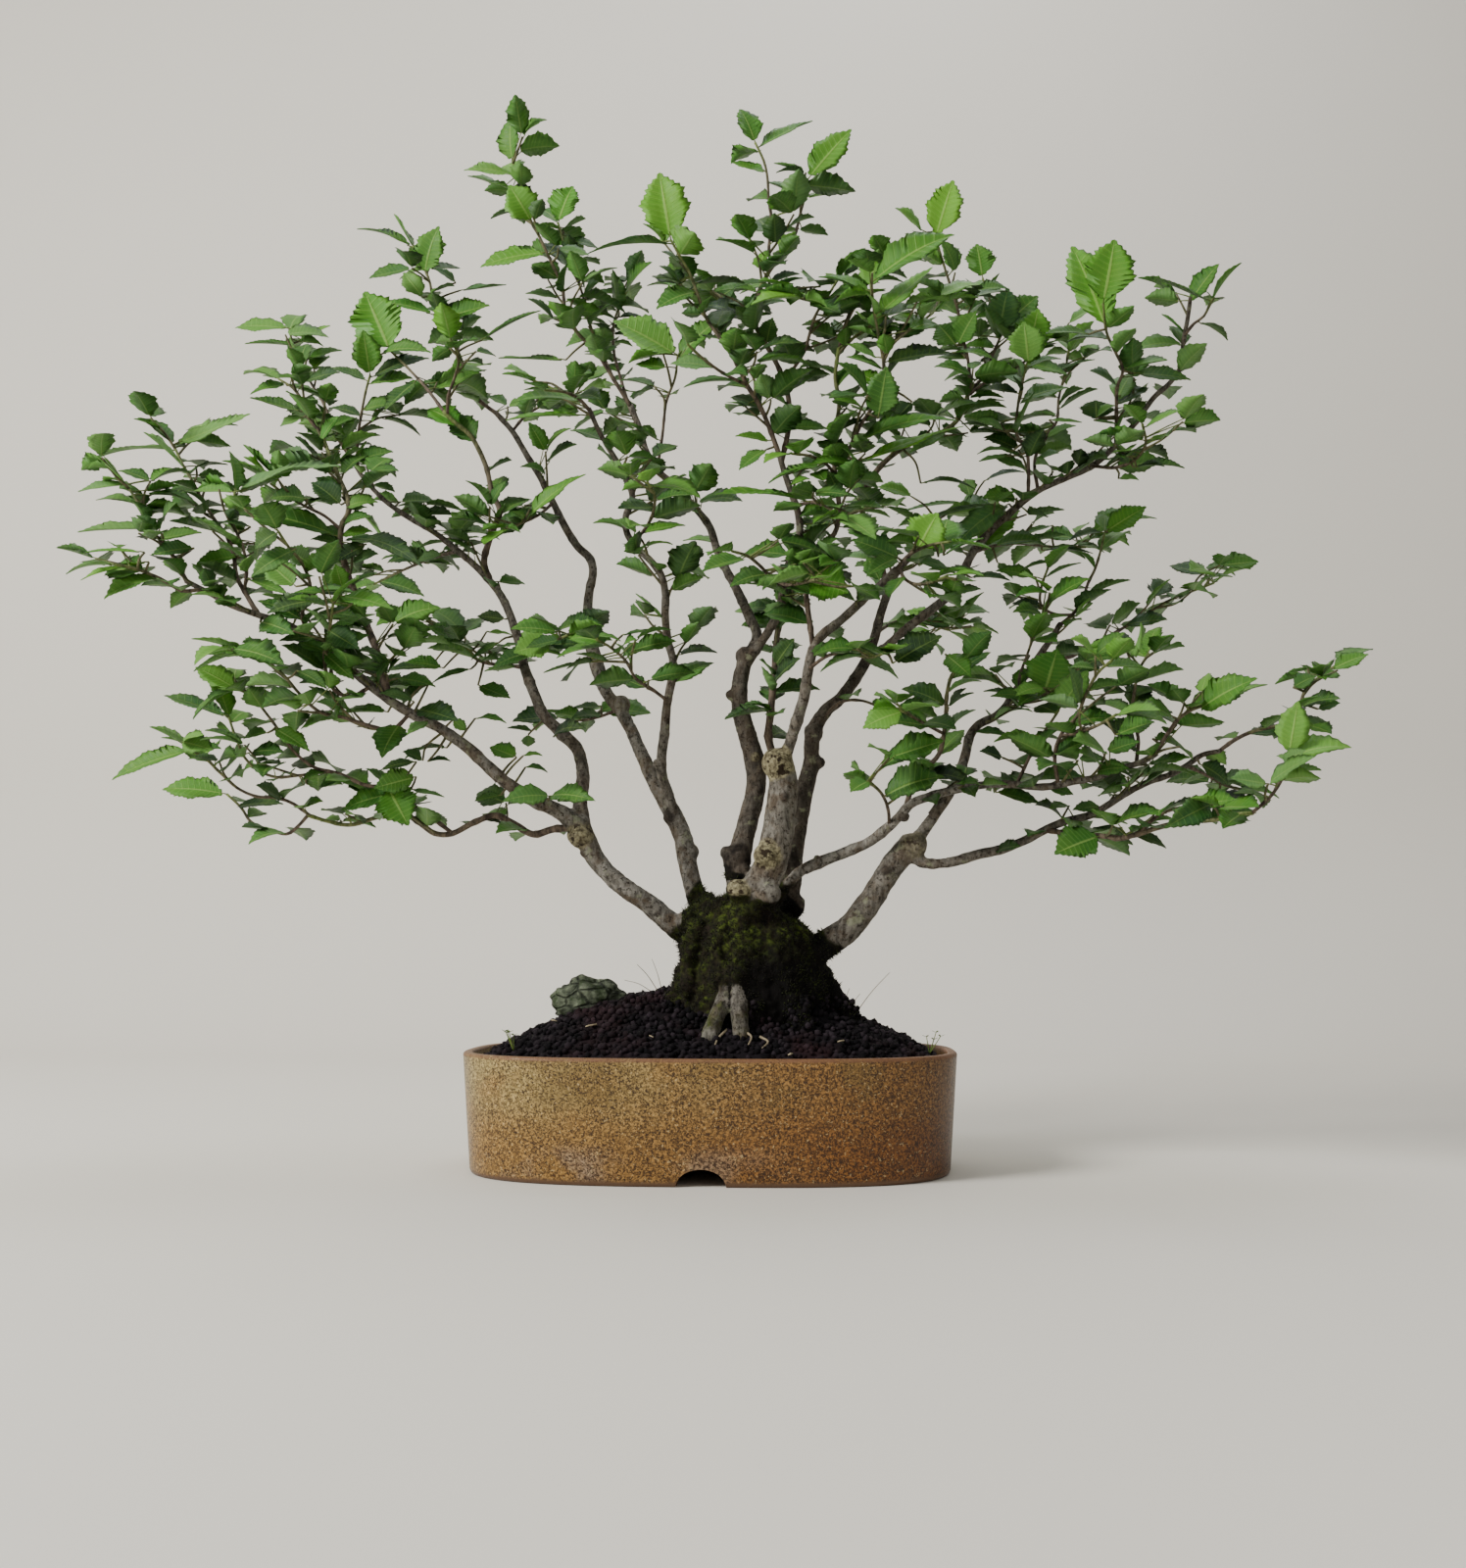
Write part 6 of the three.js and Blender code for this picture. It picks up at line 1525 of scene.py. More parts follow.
def knobby(limb):
    """Swellings at the leaf joints of a twig, and small unevenness round it."""
    seed = len(limb["name"]) * 7.3 + limb["full_radii"][0]

    def ripple(i, angle):
        joint = 0.22 * max(0.0, math.cos(i * 4 / 19 * 2 * math.pi + seed)) ** 6
        rough = 0.12 * noise.noise((math.cos(angle) * 1.3, math.sin(angle) * 1.3 + seed, i * 0.35))
        return 1.0 + joint + rough
    return ripple


def fill_spray(stems, blades, names, shown_blade, blade):
    """Adds the shoots and the leaves that grow on the named limbs."""
    for host, path in shoots:
        if host in names:
            stems.thread(path, SHOOT, SMOOTH_STEP, 6, (0.25, 0.5, 0, 0))
    for leaf in leaves:
        if leaf["twig"] in names:
            dress(leaf)
            add_stalk(stems, leaf, leaf.get("line", limbs[leaf["twig"]]["smooth"]))
            add_leaf(blades, leaf, shown_blade if leaf["kind"] == "shown" else blade)


def make_sprays():
    leaf_look = leaf_material()
    twig_look = twig_material()
    fine = blade_template(COLUMNS_FINE, TEETH)
    coarse = blade_template(COLUMNS, TEETH - 4)
    homes = {}
    for limb in twig_limbs:
        homes.setdefault(spray_of(limb["name"]), []).append(limb)
    for home, members in homes.items():
        stems = Shape()
        blades = Shape()
        for limb in members:
            line = limb["smooth"]
            young = np.repeat(np.linspace(0.0, 1.0, len(line)) ** 4 * 0.8, TWIG_SIDES)
            tone = np.column_stack([young, np.full(len(young), 0.5), np.zeros((len(young), 2))])
            stems.tube(line, limb["smooth_radii"] * 0.95, TWIG_SIDES, tone, knobby(limb))
        fill_spray(stems, blades, {limb["name"] for limb in members}, fine, coarse)
        stems.make("twigs_" + home, twig_look, "bark", ("spray_" + home,))
        if blades.count:
            blades.make("leaves_" + home, leaf_look, "leaf", ("spray_" + home,))
    stems = Shape()
    blades = Shape()
    fill_spray(stems, blades, wood_names, coarse, coarse)
    stems.make("twigs_on_branches", twig_look, "bark")
    blades.make("leaves_on_branches", leaf_look, "leaf")


# Wood: the stump, roots and thick limbs are blended into one skin, and the branches go on from it
BARK = {
    # limb: how pale it is at its base and tip, and how dark
    "low_left": (0.75, 0.75, 0.05, 0.1), "left_arm": (0.6, 0.3, 0.1, 0.3),
    "left_fork": (0.35, 0.25, 0.35, 0.35), "second": (0.7, 0.25, 0.05, 0.35),
    "third": (0.5, 0.25, 0.1, 0.45), "mid_left": (0.35, 0.3, 0.6, 0.7),
    "mid_back": (0.3, 0.3, 0.4, 0.35), "mid_front": (0.3, 0.2, 0.4, 0.45), "centre": (0.58, 0.5, 0.1, 0.2),
    "centre_right": (0.46, 0.25, 0.15, 0.35), "back_right": (0.05, 0.3, 0.95, 0.45),
    "right_arch": (0.35, 0.3, 0.35, 0.4), "thin_right": (0.85, 0.4, 0.0, 0.25),
    "low_right": (0.4, 0.55, 0.25, 0.15), "right_up": (0.45, 0.3, 0.2, 0.35),
    "right_low": (0.45, 0.25, 0.2, 0.35), "stump": (0.1, 0.1, 0.0, 0.0),
}
BLENDED = ("stump", "low_left", "centre", "mid_left", "low_right")
KNOTS = [
    # limb, place as seen, size, how far forward of the axis as a share of the limb, wound, dark
    ("centre", (43, 236), 10.0, 0.55, 0.8, 0.0), ("centre", (24, 208), 5.5, 1.0, 0.7, 0.0),
    ("centre", (51, 308), 12.0, 0.15, 1.0, 0.0), ("centre", (57, 281), 3.2, 0.95, 0.0, 1.0),
    ("centre", (65, 262), 3.4, 0.1, 0.0, 0.3), ("mid_left", (20, 233), 11.5, 0.2, 0.1, 1.0),
    ("mid_left", (12, 238), 5.5, 0.6, 0.2, 0.8), ("mid_left", (24, 223), 6.5, 0.8, 0.2, 0.9),
    ("mid_left", (34, 313), 3.4, 0.9, 0.5, 0.8), ("mid_left", (38, 303), 3.2, 0.9, 0.3, 1.0),
    ("mid_left", (38, 287), 3.0, 0.95, 0.0, 1.0), ("mid_left", (26, 393), 7.6, 0.0, 0.0, 1.0),
    ("mid_left", (15, 362), 4.2, 0.4, 0.0, 1.0), ("back_right", (80, 332), 8.4, 0.1, 0.0, 0.7),
    ("back_right", (84, 308), 5.4, 0.1, 0.0, 0.8), ("second", (-72, 355), 8.6, 0.1, 0.3, 0.0),
    ("second", (-33, 266), 5.6, 0.5, 0.1, 0.9), ("second", (-17, 239), 7.6, 0.0, 0.0, 0.2),
    ("second", (-51, 311), 4.6, 0.6, 0.0, 0.3), ("third", (-42, 308), 4.6, 0.0, 0.2, 0.4),
    ("low_left", (-103, 252), 9.6, 0.3, 0.6, 0.4), ("low_left", (-100, 238), 3.4, 0.3, 0.0, 0.9),
    ("low_left", (-41, 192), 3.2, 0.6, 0.0, 0.9), ("thin_right", (149, 266), 4.8, 0.1, 0.0, 0.8),
    ("thin_right", (82, 234), 3.0, 0.0, 0.0, 0.4), ("low_right", (157, 243), 10.4, 0.1, 0.45, 0.4),
    ("low_right", (135, 224), 3.6, 0.8, 0.0, 1.0), ("low_right", (84, 164), 10.5, 0.4, 0.0, 1.0),
    ("low_right", (80, 158), 11.0, 1.0, 0.0, 0.9), ("low_right", (80, 158), 11.0, -0.9, 0.0, 0.6),
    ("low_left", (-20, 184), 9.0, 0.9, 0.0, 0.3), ("low_left", (-20, 184), 9.0, -0.9, 0.0, 0.3),
    ("second", (-3, 200), 8.0, -0.9, 0.0, 0.3), ("second", (-3, 200), 7.0, 0.8, 0.0, 0.3),
    ("centre", (20, 209), 8.5, 0.7, 0.7, 0.0), ("centre", (45, 206), 9.0, 0.8, 0.1, 0.0),
    ("back_right", (61, 197), 12.0, 0.0, 0.0, 1.0), ("centre", (33, 214), 9.0, 0.3, 0.15, 0.0),
]
LUMPS = [
    # swellings of the stump: turn round it, height, size
    (3.14, 166, 20), (2.6, 178, 17), (0.5, 158, 18), (3.6, 152, 19), (4.4, 172, 18), (5.4, 166, 17),
    (1.6, 150, 20), (5.0, 190, 13), (3.3, 186, 14), (4.0, 140, 22), (5.7, 138, 24), (2.9, 138, 24),
]
RIDGES = [
    # folds of the stump that run up from its roots: from, to, size at both ends
    ((8, -52, 142), (11, -38, 178), 8.0, 6.0), ((22, -54, 142), (27, -42, 168), 8.5, 6.0),
    ((-17, -36, 136), (-10, -28, 180), 8.0, 6.0), ((52, -38, 128), (44, -30, 172), 11.0, 7.0),
    ((72, -24, 126), (58, -20, 160), 10.0, 7.0), ((-14, 44, 132), (0, 34, 178), 10.0, 7.0),
    ((40, 56, 130), (36, 40, 172), 10.0, 7.0),
]
STUMP_AXIS = (28, 4)
STUMP_SPREAD = (36, 32)
STUMP_FROM = 96
FRONT_ROOTS = ("root0", "root1")
BLEND_ABOVE = 4.6
LIMB_SIDES = 16
ROOT_SIDES = 14
BRANCH_SIDES = 12
BALL = {"turns": 8, "sides": 12}
SKIN_CELL = 1.7
HEART_BELOW = 34
MOSS_REACH = 10
MOSS_FROM = 106
MOSS_SPIKES = 9000
CREASE = 2.6
CLUMP = 0.12


def bark_tone(name, share):
    """How pale and how dark a limb is at a share of its length."""
    pale_foot, pale_tip, dark_foot, dark_tip = BARK.get(name, (0.4, 0.4, 0.1, 0.1))
    return pale_foot + (pale_tip - pale_foot) * share, dark_foot + (dark_tip - dark_foot) * share


def bark_ripple(limb, depth):
    """Coarse and fine unevenness round a branch, with a swelling now and then."""
    seed = sum(map(ord, limb["name"])) * 0.13

    def ripple(i, angle):
        x, y = math.cos(angle), math.sin(angle)
        coarse = noise.noise((x * 1.1 + seed, y * 1.1, i * 0.16))
        fine = noise.noise((x * 3.2, y * 3.2 + seed, i * 0.55))
        joint = 0.12 * max(0.0, math.cos(i * 3 / 27 * 2 * math.pi + seed)) ** 8
        return 1.0 + depth * coarse + depth * 0.5 * fine + joint
    return ripple


def add_ball(shape, centre, size):
    """A lump for a knot or burl, before the skin is blended."""
    turns, sides = BALL["turns"], BALL["sides"]
    points = []
    for r in range(1, turns):
        polar = math.pi * r / turns
        for k in range(sides):
            angle = 2 * math.pi * k / sides
            x, y = math.sin(polar) * math.cos(angle), math.sin(polar) * math.sin(angle)
            points.append(centre + np.array([x, y, math.cos(polar)]) * size)
    shape.add(points, tube_faces(turns - 1, sides))


def knot_place(name, spot, forward):
    """Where a knot sits: at the place drawn, and forward of its limb's axis."""
    route = limbs[name]["route"]
    x, z, y = nearest_on(route, *spot)
    nearest = min(range(len(route)), key=lambda i: math.hypot(route[i][0] - x, route[i][1] - z))
    return seen(*spot, y - limbs[name]["full_radii"][nearest] * forward)


def vectors(mesh, what):
    values = np.zeros(len(mesh.vertices) * 3)
    mesh.vertices.foreach_get(what, values)
    return values.reshape(-1, 3)


def skin_part(limb):
    """The stretch of a limb that is blended into the skin, and where its own tube goes on."""
    line, sizes = limb["smooth"], limb["smooth_radii"]
    if limb["name"] in BLENDED:
        if limb["name"] == "stump":
            above = line[:, 2] > STUMP_FROM
            return line[above], sizes[above], None
        return line, sizes, None
    thick = np.nonzero(sizes > BLEND_ABOVE)[0]
    kept = min(max(14, thick[-1] if len(thick) else 0), len(line) - 1)
    fade = sizes[:kept].copy()
    fade[:6] *= np.linspace(1.25, 1.0, 6)
    fade[-4:] *= np.array([1.0, 0.97, 0.9, 0.8])
    return line[:kept], fade, kept - 4


def bury_foot(shape, limb):
    """Carries the foot of a limb on down into the heart of the stump."""
    foot = limb["full"][0]
    heart = np.array([*STUMP_AXIS, foot[2] - HEART_BELOW])
    for share in np.linspace(0.15, 0.8, 6):
        add_ball(shape, foot + (heart - foot) * share, limb["full_radii"][0] * (1 - 0.1 * share))


def blend(skin):
    """Melts the tubes and lumps that overlap into one even skin."""
    bpy.context.view_layer.objects.active = skin
    skin.select_set(True)
    remesh = skin.modifiers.new("blend", "REMESH")
    remesh.mode = "VOXEL"
    remesh.voxel_size = SKIN_CELL * MM
    smooth = skin.modifiers.new("even", "SMOOTH")
    smooth.factor = 0.5
    smooth.iterations = 3
    for modifier in list(skin.modifiers):
        bpy.ops.object.modifier_apply(modifier=modifier.name)
    skin.select_set(False)


def add_lumps(shape):
    """Knots, the swellings of the stump, the buried feet of limbs, and the folds above the roots."""
    for name, spot, size, forward, *_ in KNOTS:
        add_ball(shape, knot_place(name, spot, forward), size)
    for angle, height, size in LUMPS:
        across = np.array([STUMP_SPREAD[0] * math.cos(angle), STUMP_SPREAD[1] * math.sin(angle), height])
        add_ball(shape, across + np.array([*STUMP_AXIS, 0]), size)
    for limb in wood_limbs:
        if limb["parent"] == "stump":
            bury_foot(shape, limb)
    for start, end, first, last in RIDGES:
        for share in np.linspace(0, 1, 9):
            sway = np.array([2.5 * math.sin(5 * share + start[0]), 0, 0])
            centre = np.array(start) + (np.array(end) - start) * share + sway
            add_ball(shape, centre, first + (last - first) * share)


def make_wood():
    look = bark_material()
    rough = Shape()
    branches = Shape()
    samples = []
    for limb in wood_limbs:
        line, sizes, onward = skin_part(limb)
        rough.tube(line, sizes, LIMB_SIDES)
        whole = length_of(limb["full"])
        shares = np.concatenate([[0], np.cumsum(np.linalg.norm(np.diff(line, axis=0), axis=1))]) / whole
        samples.append((limb["name"], line, sizes, shares))
        if onward is not None:
            add_branch(branches, limb, onward)
    for number, limb in enumerate(root_limbs):
        line, sizes = smooth_line(limb["full"], limb["full_radii"], 5)
        rough.tube(line, sizes, ROOT_SIDES)
        samples.append(("root" + str(number), line, sizes, np.zeros(len(line))))
    add_lumps(rough)
    skin = rough.make("stump_and_limbs", look, "bark")
    blend(skin)
    shape_bark(skin, samples)
    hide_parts("tree")
    branches.make("branches", look, "bark", ("tree",))
    return skin


def add_branch(shape, limb, onward):
    """The thin rest of a limb, from a little inside the skin to its tip."""
    line, sizes = smooth_line(limb["full"], limb["full_radii"], 3)
    start = max(0, round(onward * SMOOTH_STEP / 3) - 1)
    points = tube_points(line, sizes, BRANCH_SIDES, bark_ripple(limb, 0.14))[start * BRANCH_SIDES:]
    count = len(line) - start
    tones = []
    for i in range(count):
        pale, dark = bark_tone(limb["name"], (start + i) / len(line))
        tones += [(pale, 0.0, dark, 0.0)] * BRANCH_SIDES
    shape.add(points, tube_faces(count, BRANCH_SIDES), tones)


def nearest_limbs(places, samples):
    """For each point of the skin: its limb's tones, whether that is stump or front root, and the gaps."""
    count = len(places)
    gaps = np.full(count, np.inf)
    pale, dark = np.zeros(count), np.zeros(count)
    stump, front_root = np.zeros(count, bool), np.zeros(count, bool)
    off = {name: np.full(count, np.inf) for name in ("stump", *FRONT_ROOTS)}
    for name, line, sizes, shares in samples:
        for point, size, share in zip(line, sizes, shares):
            gap = np.linalg.norm(places - point, axis=1) - size
            nearer = gap < gaps
            gaps[nearer] = gap[nearer]
            pale[nearer], dark[nearer] = bark_tone(name, share)
            stump[nearer] = name == "stump" or name.startswith("root")
            front_root[nearer] = name in FRONT_ROOTS
            if name in off:
                off[name] = np.minimum(off[name], gap)
    return pale, dark, stump, front_root, off


def bark_relief(places, pale, clumped):
    """How far each point stands out. Mossy bark is in clumps, and their height is noted as pale, which
    lightens the moss on the clump tops as painted light.
    """
    push = np.zeros(len(places))
    for i, (x, y, z) in enumerate(places):
        lump = noise.noise((x * 0.06, y * 0.06, z * 0.05))
        ridge = noise.noise((x * 0.16, y * 0.16, z * 0.09))
        grain = noise.noise((x * 0.5, y * 0.5, z * 0.35))
        if clumped[i]:
            near, next_near = noise.voronoi((x * CLUMP, y * CLUMP, z * CLUMP))[0][:2]
            clump = min(next_near - near, 0.6)
            push[i] = 2.4 * lump + 1.6 * ridge + 1.0 * grain + 3.2 * clump - 1.0
            pale[i] = clump * 1.7
        else:
            push[i] = 0.5 * lump + 0.7 * ridge + 0.35 * grain
    return push


def shape_bark(skin, samples):
    """Roughens the blended skin along its normals, and tells the bark where it is pale, dark or mossy."""
    mesh = skin.data
    places = vectors(mesh, "co") / MM
    normals = vectors(mesh, "normal")
    pale, dark, stump, front_root, off = nearest_limbs(places, samples)
    wound = np.zeros(len(places))
    for name, spot, size, forward, hurt, black in KNOTS:
        centre = knot_place(name, spot, forward)
        near = np.clip(1.5 - np.linalg.norm(places - centre, axis=1) / size, 0, 0.5) * 2
        wound = np.maximum(wound, near * hurt)
        dark = np.maximum(dark, near * black)
    height = places[:, 2]
    hidden = 1 + 1.2 * np.clip(-normals[:, 2], 0, 1) + 0.8 * np.clip(normals[:, 1], 0, 1)
    moss = np.clip(1.15 - off["stump"] / (MOSS_REACH * hidden), 0, 1)
    moss = np.where(stump, np.clip((216 - height) / 12, 0, 1), moss)
    # painted shade: the crease between the two front roots is made dark
    between_roots = off[FRONT_ROOTS[0]] - off[FRONT_ROOTS[1]]
    crease = np.clip(1 - np.abs(between_roots) / CREASE, 0, 1)
    moss = np.where(front_root, np.maximum(np.clip((height - 130) / 14, 0.43, 1), crease * 0.8), moss)
    pale = np.where(front_root, 0.65, pale)
    dark = np.where(front_root, np.maximum(crease, 0.1), dark)
    shade = np.clip((places[:, 0] - 16) / 16, 0, 1) * np.clip((176 - height) / 26, 0, 1)
    clumped = stump & ~front_root
    dark = np.where(clumped, np.maximum(dark, shade), dark)
    push = bark_relief(places, pale, clumped)
    mesh.vertices.foreach_set("co", ((places + normals * push[:, None]) * MM).ravel())
    for name in [a.name for a in mesh.color_attributes]:
        mesh.color_attributes.remove(mesh.color_attributes[name])
    toned(mesh, np.column_stack([pale, moss, dark, wound]))
    smoothed(mesh)
    mesh.update()


def make_moss(skin):
    """Short moss on the stump, as small spikes that stand out of its skin."""
    mesh = skin.data
    moss = Shape()
    tones = mesh.color_attributes["tone"].data
    made = 0
    for i in rng.permutation(len(mesh.vertices)):
        vertex = mesh.vertices[int(i)]
        place_mm = np.array(vertex.co) / MM
        if place_mm[2] < MOSS_FROM or tones[int(i)].color[1] < 0.7:
            continue
        patch = noise.noise(tuple(place_mm * 0.05)) + 0.3
        if patch < rng.uniform(-0.1, 0.25):
            continue
        normal = np.array(vertex.normal)
        way = unit(normal + rng.normal(0, 0.45, 3) + np.array([0, 0, 0.25]))
        length = rng.uniform(1.6, 4.2)
        side = unit(np.cross(way, rng.normal(0, 1, 3)))
        other = np.cross(way, side)
        base = place_mm - normal * 0.4
        ring = [base + (side * math.cos(a) + other * math.sin(a)) * 0.5 for a in (0, 2.1, 4.2)]
        moss.add(ring + [base + way * length], [(1, 0, 2), (0, 1, 3), (1, 2, 3), (2, 0, 3)],
                 (0, rng.uniform(0, 1) ** 1.5, 0, 0))
        made += 1
        if made == MOSS_SPIKES:
            break
    moss.make("moss", moss_material(), "moss")


# Pot, soil and stone
PLAN_STEPS = 192
SOIL_STEPS = 96
SOIL_GAP = 1.2
SOIL_SUNK = 2.6
GRAIN_GAP = 3
GRAIN_STEP = 4.4
HEAPED = 900
HEAPED_FROM = 98


def around(count):
    """Even steps once round, as angles."""
    return np.arange(count) * 2 * math.pi / count


def plan(inset, z, count=PLAN_STEPS):
    """The pot's outline at a height, moved inwards."""
    angles = around(count)
    power = 2 / POT["corner"]
    x = np.sign(np.cos(angles)) * np.abs(np.cos(angles)) ** power
    y = np.sign(np.sin(angles)) * np.abs(np.sin(angles)) ** power
    x, y = (POT["half_length"] - inset) * x, (POT["half_depth"] - inset) * y
    return np.column_stack([x, y, np.full(count, z)])


def loft(shape, rings):
    """A closed body through rings, with a fan of faces at both ends."""
    count = len(rings[0])
    shape.add(np.vstack(rings), tube_faces(len(rings), count, cap=False))
    last = shape.count - count
    first = shape.count - len(rings) * count
    shape.add([rings[0].mean(0), rings[-1].mean(0)], [])
    for k in range(count):
        following = (k + 1) % count
        shape.faces.append((first + following, first + k, shape.count - 2))
        shape.faces.append((last + k, last + following, shape.count - 1))


def solid_object(name, rings):
    """A bare solid to cut with."""
    shape = Shape()
    loft(shape, rings)
    mesh = bpy.data.meshes.new(name)
    mesh.from_pydata((np.vstack(shape.points) * MM).tolist(), [], shape.faces)
    return linked(name, mesh)


def cut(target, cutter):
    """Takes a cutter out of a piece, and removes it."""
    bpy.context.view_layer.objects.active = target
    modifier = target.modifiers.new("cut", "BOOLEAN")
    modifier.operation = "DIFFERENCE"
    modifier.solver = "EXACT"
    modifier.object = cutter
    bpy.ops.object.modifier_apply(modifier=modifier.name)
    bpy.data.objects.remove(cutter)


def arc(inset, z, radius, start, end, steps):
    """Rings round a rounded edge: start and end are angles in degrees, 0 outwards and 90 up."""
    rings = []
    for k in range(steps + 1):
        angle = math.radians(start + (end - start) * k / steps)
        rings.append(plan(inset - radius * math.cos(angle), z + radius * math.sin(angle)))
    return rings


def pot_rings():
    """The pot's outlines from its foot up the outside, over the lip and down the inside."""
    top, rim, wall, taper, floor = (POT[key] for key in ("height", "rim", "wall", "taper", "floor_to"))
    rings = [plan(taper + 2.4, 0), plan(taper + 1.0, 0.8), plan(taper, 3)]
    for share in np.linspace(0, 1, 9)[1:]:
        rings.append(plan(taper * (1 - share), 3 + (top - rim - 3) * share))
    rings += arc(rim, top - rim, rim, 12, 90, 6)[:-1]
    rings.append(plan(rim + 0.6, top))
    rings += arc(wall - 2, top - 2, 2, 90, 180, 5)
    rings += [plan(wall + 0.4, top - 6), plan(wall + taper, floor + 4), plan(wall + taper + 4, floor)]
    return rings


def ring_hollow():
    """The space under the floor, inside the foot ring."""
    inset = POT["taper"] + POT["ring"]
    return [plan(inset, -1), plan(inset + 2, POT["floor_from"])]


def notch_hollow():
    """One rounded notch through the foot ring, front and back."""
    angles = around(48)
    x = NOTCH["x"] + NOTCH["half_width"] * np.cos(angles)
    z = -NOTCH["height"] * np.sin(angles)
    return [np.column_stack([x, np.full(48, y), z]) for y in (-2 * POT["half_depth"], 2 * POT["half_depth"])]


def drain_hollow(side):
    angles = around(40)
    x = side * DRAIN["x"] + DRAIN["radius"] * np.cos(angles)
    y = DRAIN["radius"] * np.sin(angles)
    return [np.column_stack([x, y, np.full(40, z)]) for z in (5.0, 40.0)]


def make_pot():
    pot = Shape()
    loft(pot, pot_rings())
    pot = pot.make("bonsai_pot", glaze_material(), "pot_glaze", ("pot",))
    for rings in (ring_hollow(), notch_hollow(), drain_hollow(-1), drain_hollow(1)):
        cut(pot, solid_object("hollow", rings))
    smoothed(pot.data)
    bpy.context.view_layer.objects.active = pot
    pot.select_set(True)
    bpy.ops.object.shade_smooth_by_angle(angle=math.radians(38))
    pot.select_set(False)


def soil_height(share, angle):
    fall = SOIL["along"] * math.cos(angle) ** 2 + SOIL["across"] * math.sin(angle) ** 2
    return SOIL["edge"] + (SOIL["crest"] - SOIL["edge"]) * max(1 - share ** fall, 0) ** SOIL["round"]


def soil_point(share, angle):
    power = 2 / POT["corner"]
    inset = POT["wall"] + SOIL_GAP
    x = (POT["half_length"] - inset) * math.copysign(abs(math.cos(angle)) ** power, math.cos(angle)) * share
    y = (POT["half_depth"] - inset) * math.copysign(abs(math.sin(angle)) ** power, math.sin(angle)) * share
    return np.array([x, y, soil_height(share, angle)])


def soil_reach(gap):
    """Half the soil's length and depth, this far in from the pot's wall."""
    return POT["half_length"] - POT["wall"] - gap, POT["half_depth"] - POT["wall"] - gap


def place_on_soil(x, y, gap=SOIL_GAP):
    """How far out a place on the soil is, as a share, and the angle at which the pot's plan passes it."""
    reach_x, reach_y = soil_reach(gap)
    power = POT["corner"]
    share = (abs(x / reach_x) ** power + abs(y / reach_y) ** power) ** (1 / power)
    cx, cy = x / reach_x / share, y / reach_y / share
    cos = math.copysign(abs(cx) ** (power / 2), cx)
    sin = math.copysign(abs(cy) ** (power / 2), cy)
    return share, math.atan2(sin, cos)


def swell(x, y):
    """The low waves of the soil's surface."""
    return 2.2 * noise.noise((x * 0.09, y * 0.09, 3.1))


def grain_template():
    """The points and faces of one clay granule."""
    shape = bmesh.new()
    bmesh.ops.create_icosphere(shape, subdivisions=1, radius=1.0)
    points = np.array([v.co[:] for v in shape.verts])
    faces = [tuple(v.index for v in f.verts) for f in shape.faces]
    shape.free()
    return points, faces


def random_turn():
    return np.array(Matrix.Rotation(rng.uniform(0, 6.28), 3, Vector(rng.normal(0, 1, 3)).normalized()))


def heaped(skin, points):
    """Granules that have climbed up the foot of the stump."""
    mesh = skin.data
    tones = mesh.color_attributes["tone"].data
    grains = []
    for i in rng.permutation(len(mesh.vertices)):
        vertex = mesh.vertices[int(i)]
        x, y, z = np.array(vertex.co) / MM
        if z < HEAPED_FROM or z > 118 + 14 * noise.noise((x * 0.05, y * 0.05, 5.0)) + 0.12 * x:
            continue
        if tones[int(i)].color[1] < 0.95:
            continue
        grain = points * rng.uniform(1.6, 2.8) * rng.uniform(0.7, 1.25, 3)
        grains.append(grain @ random_turn().T + (x, y, z))
        if len(grains) == HEAPED:
            break
    return grains


def make_soil_body(look):
    """The soil's body, set a little below its surface."""
    inset = POT["wall"] + 0.6
    rings = [plan(inset + POT["taper"] + 4, POT["floor_to"] + 0.3, SOIL_STEPS)]
    rings.append(plan(inset + POT["taper"] + 0.4, POT["floor_to"] + 5, SOIL_STEPS))
    for share in np.linspace(1, 0.04, 22):
        ring = np.array([soil_point(share, 2 * math.pi * k / SOIL_STEPS) for k in range(SOIL_STEPS)])
        for point in ring:
            point[2] += swell(point[0], point[1]) - SOIL_SUNK
        rings.append(ring)
    body = Shape()
    loft(body, rings)
    body.tones = [np.tile([0, 0.3, 0, 0], (len(p), 1)) for p in body.points]
    body.make("soil_body", look, "soil", ("soil",))


def make_soil(skin):
    """The soil's body with loose granules all over it."""
    look = soil_material()
    make_soil_body(look)
    points, faces = grain_template()
    front, back = Shape(), Shape()
    reach_x, reach_y = soil_reach(GRAIN_GAP)
    for row in range(int(2 * reach_y / GRAIN_STEP)):
        for column in range(int(2 * reach_x / GRAIN_STEP)):
            x = -reach_x + (column + 0.5 + rng.uniform(-0.45, 0.45)) * GRAIN_STEP
            y = -reach_y + (row + 0.5 + rng.uniform(-0.45, 0.45)) * GRAIN_STEP
            share, angle = place_on_soil(x, y, GRAIN_GAP)
            if share > 0.99:
                continue
            top = soil_height(share, angle) + swell(x, y)
            size = rng.uniform(1.9, 3.4)
            stretch = rng.uniform(0.7, 1.25, 3)
            jitter = rng.uniform(0.8, 1.18, (len(points), 1))
            grain = (points * jitter * stretch * size) @ random_turn().T
            grain = grain + np.array([x, y, top - 1.6 + rng.uniform(-1.0, 1.2)])
            half = front if y < 0 else back
            half.add(grain, faces, (0, rng.uniform(0, 1) ** 1.8, 0, 0))
    for grain in heaped(skin, points):
        half = front if grain[0][1] < 0 else back
        half.add(grain, faces, (0, rng.uniform(0, 1) ** 2.5, 0, 0))
    front.make("soil_granules_front", look, "soil")
    back.make("soil_granules_back", look, "soil")


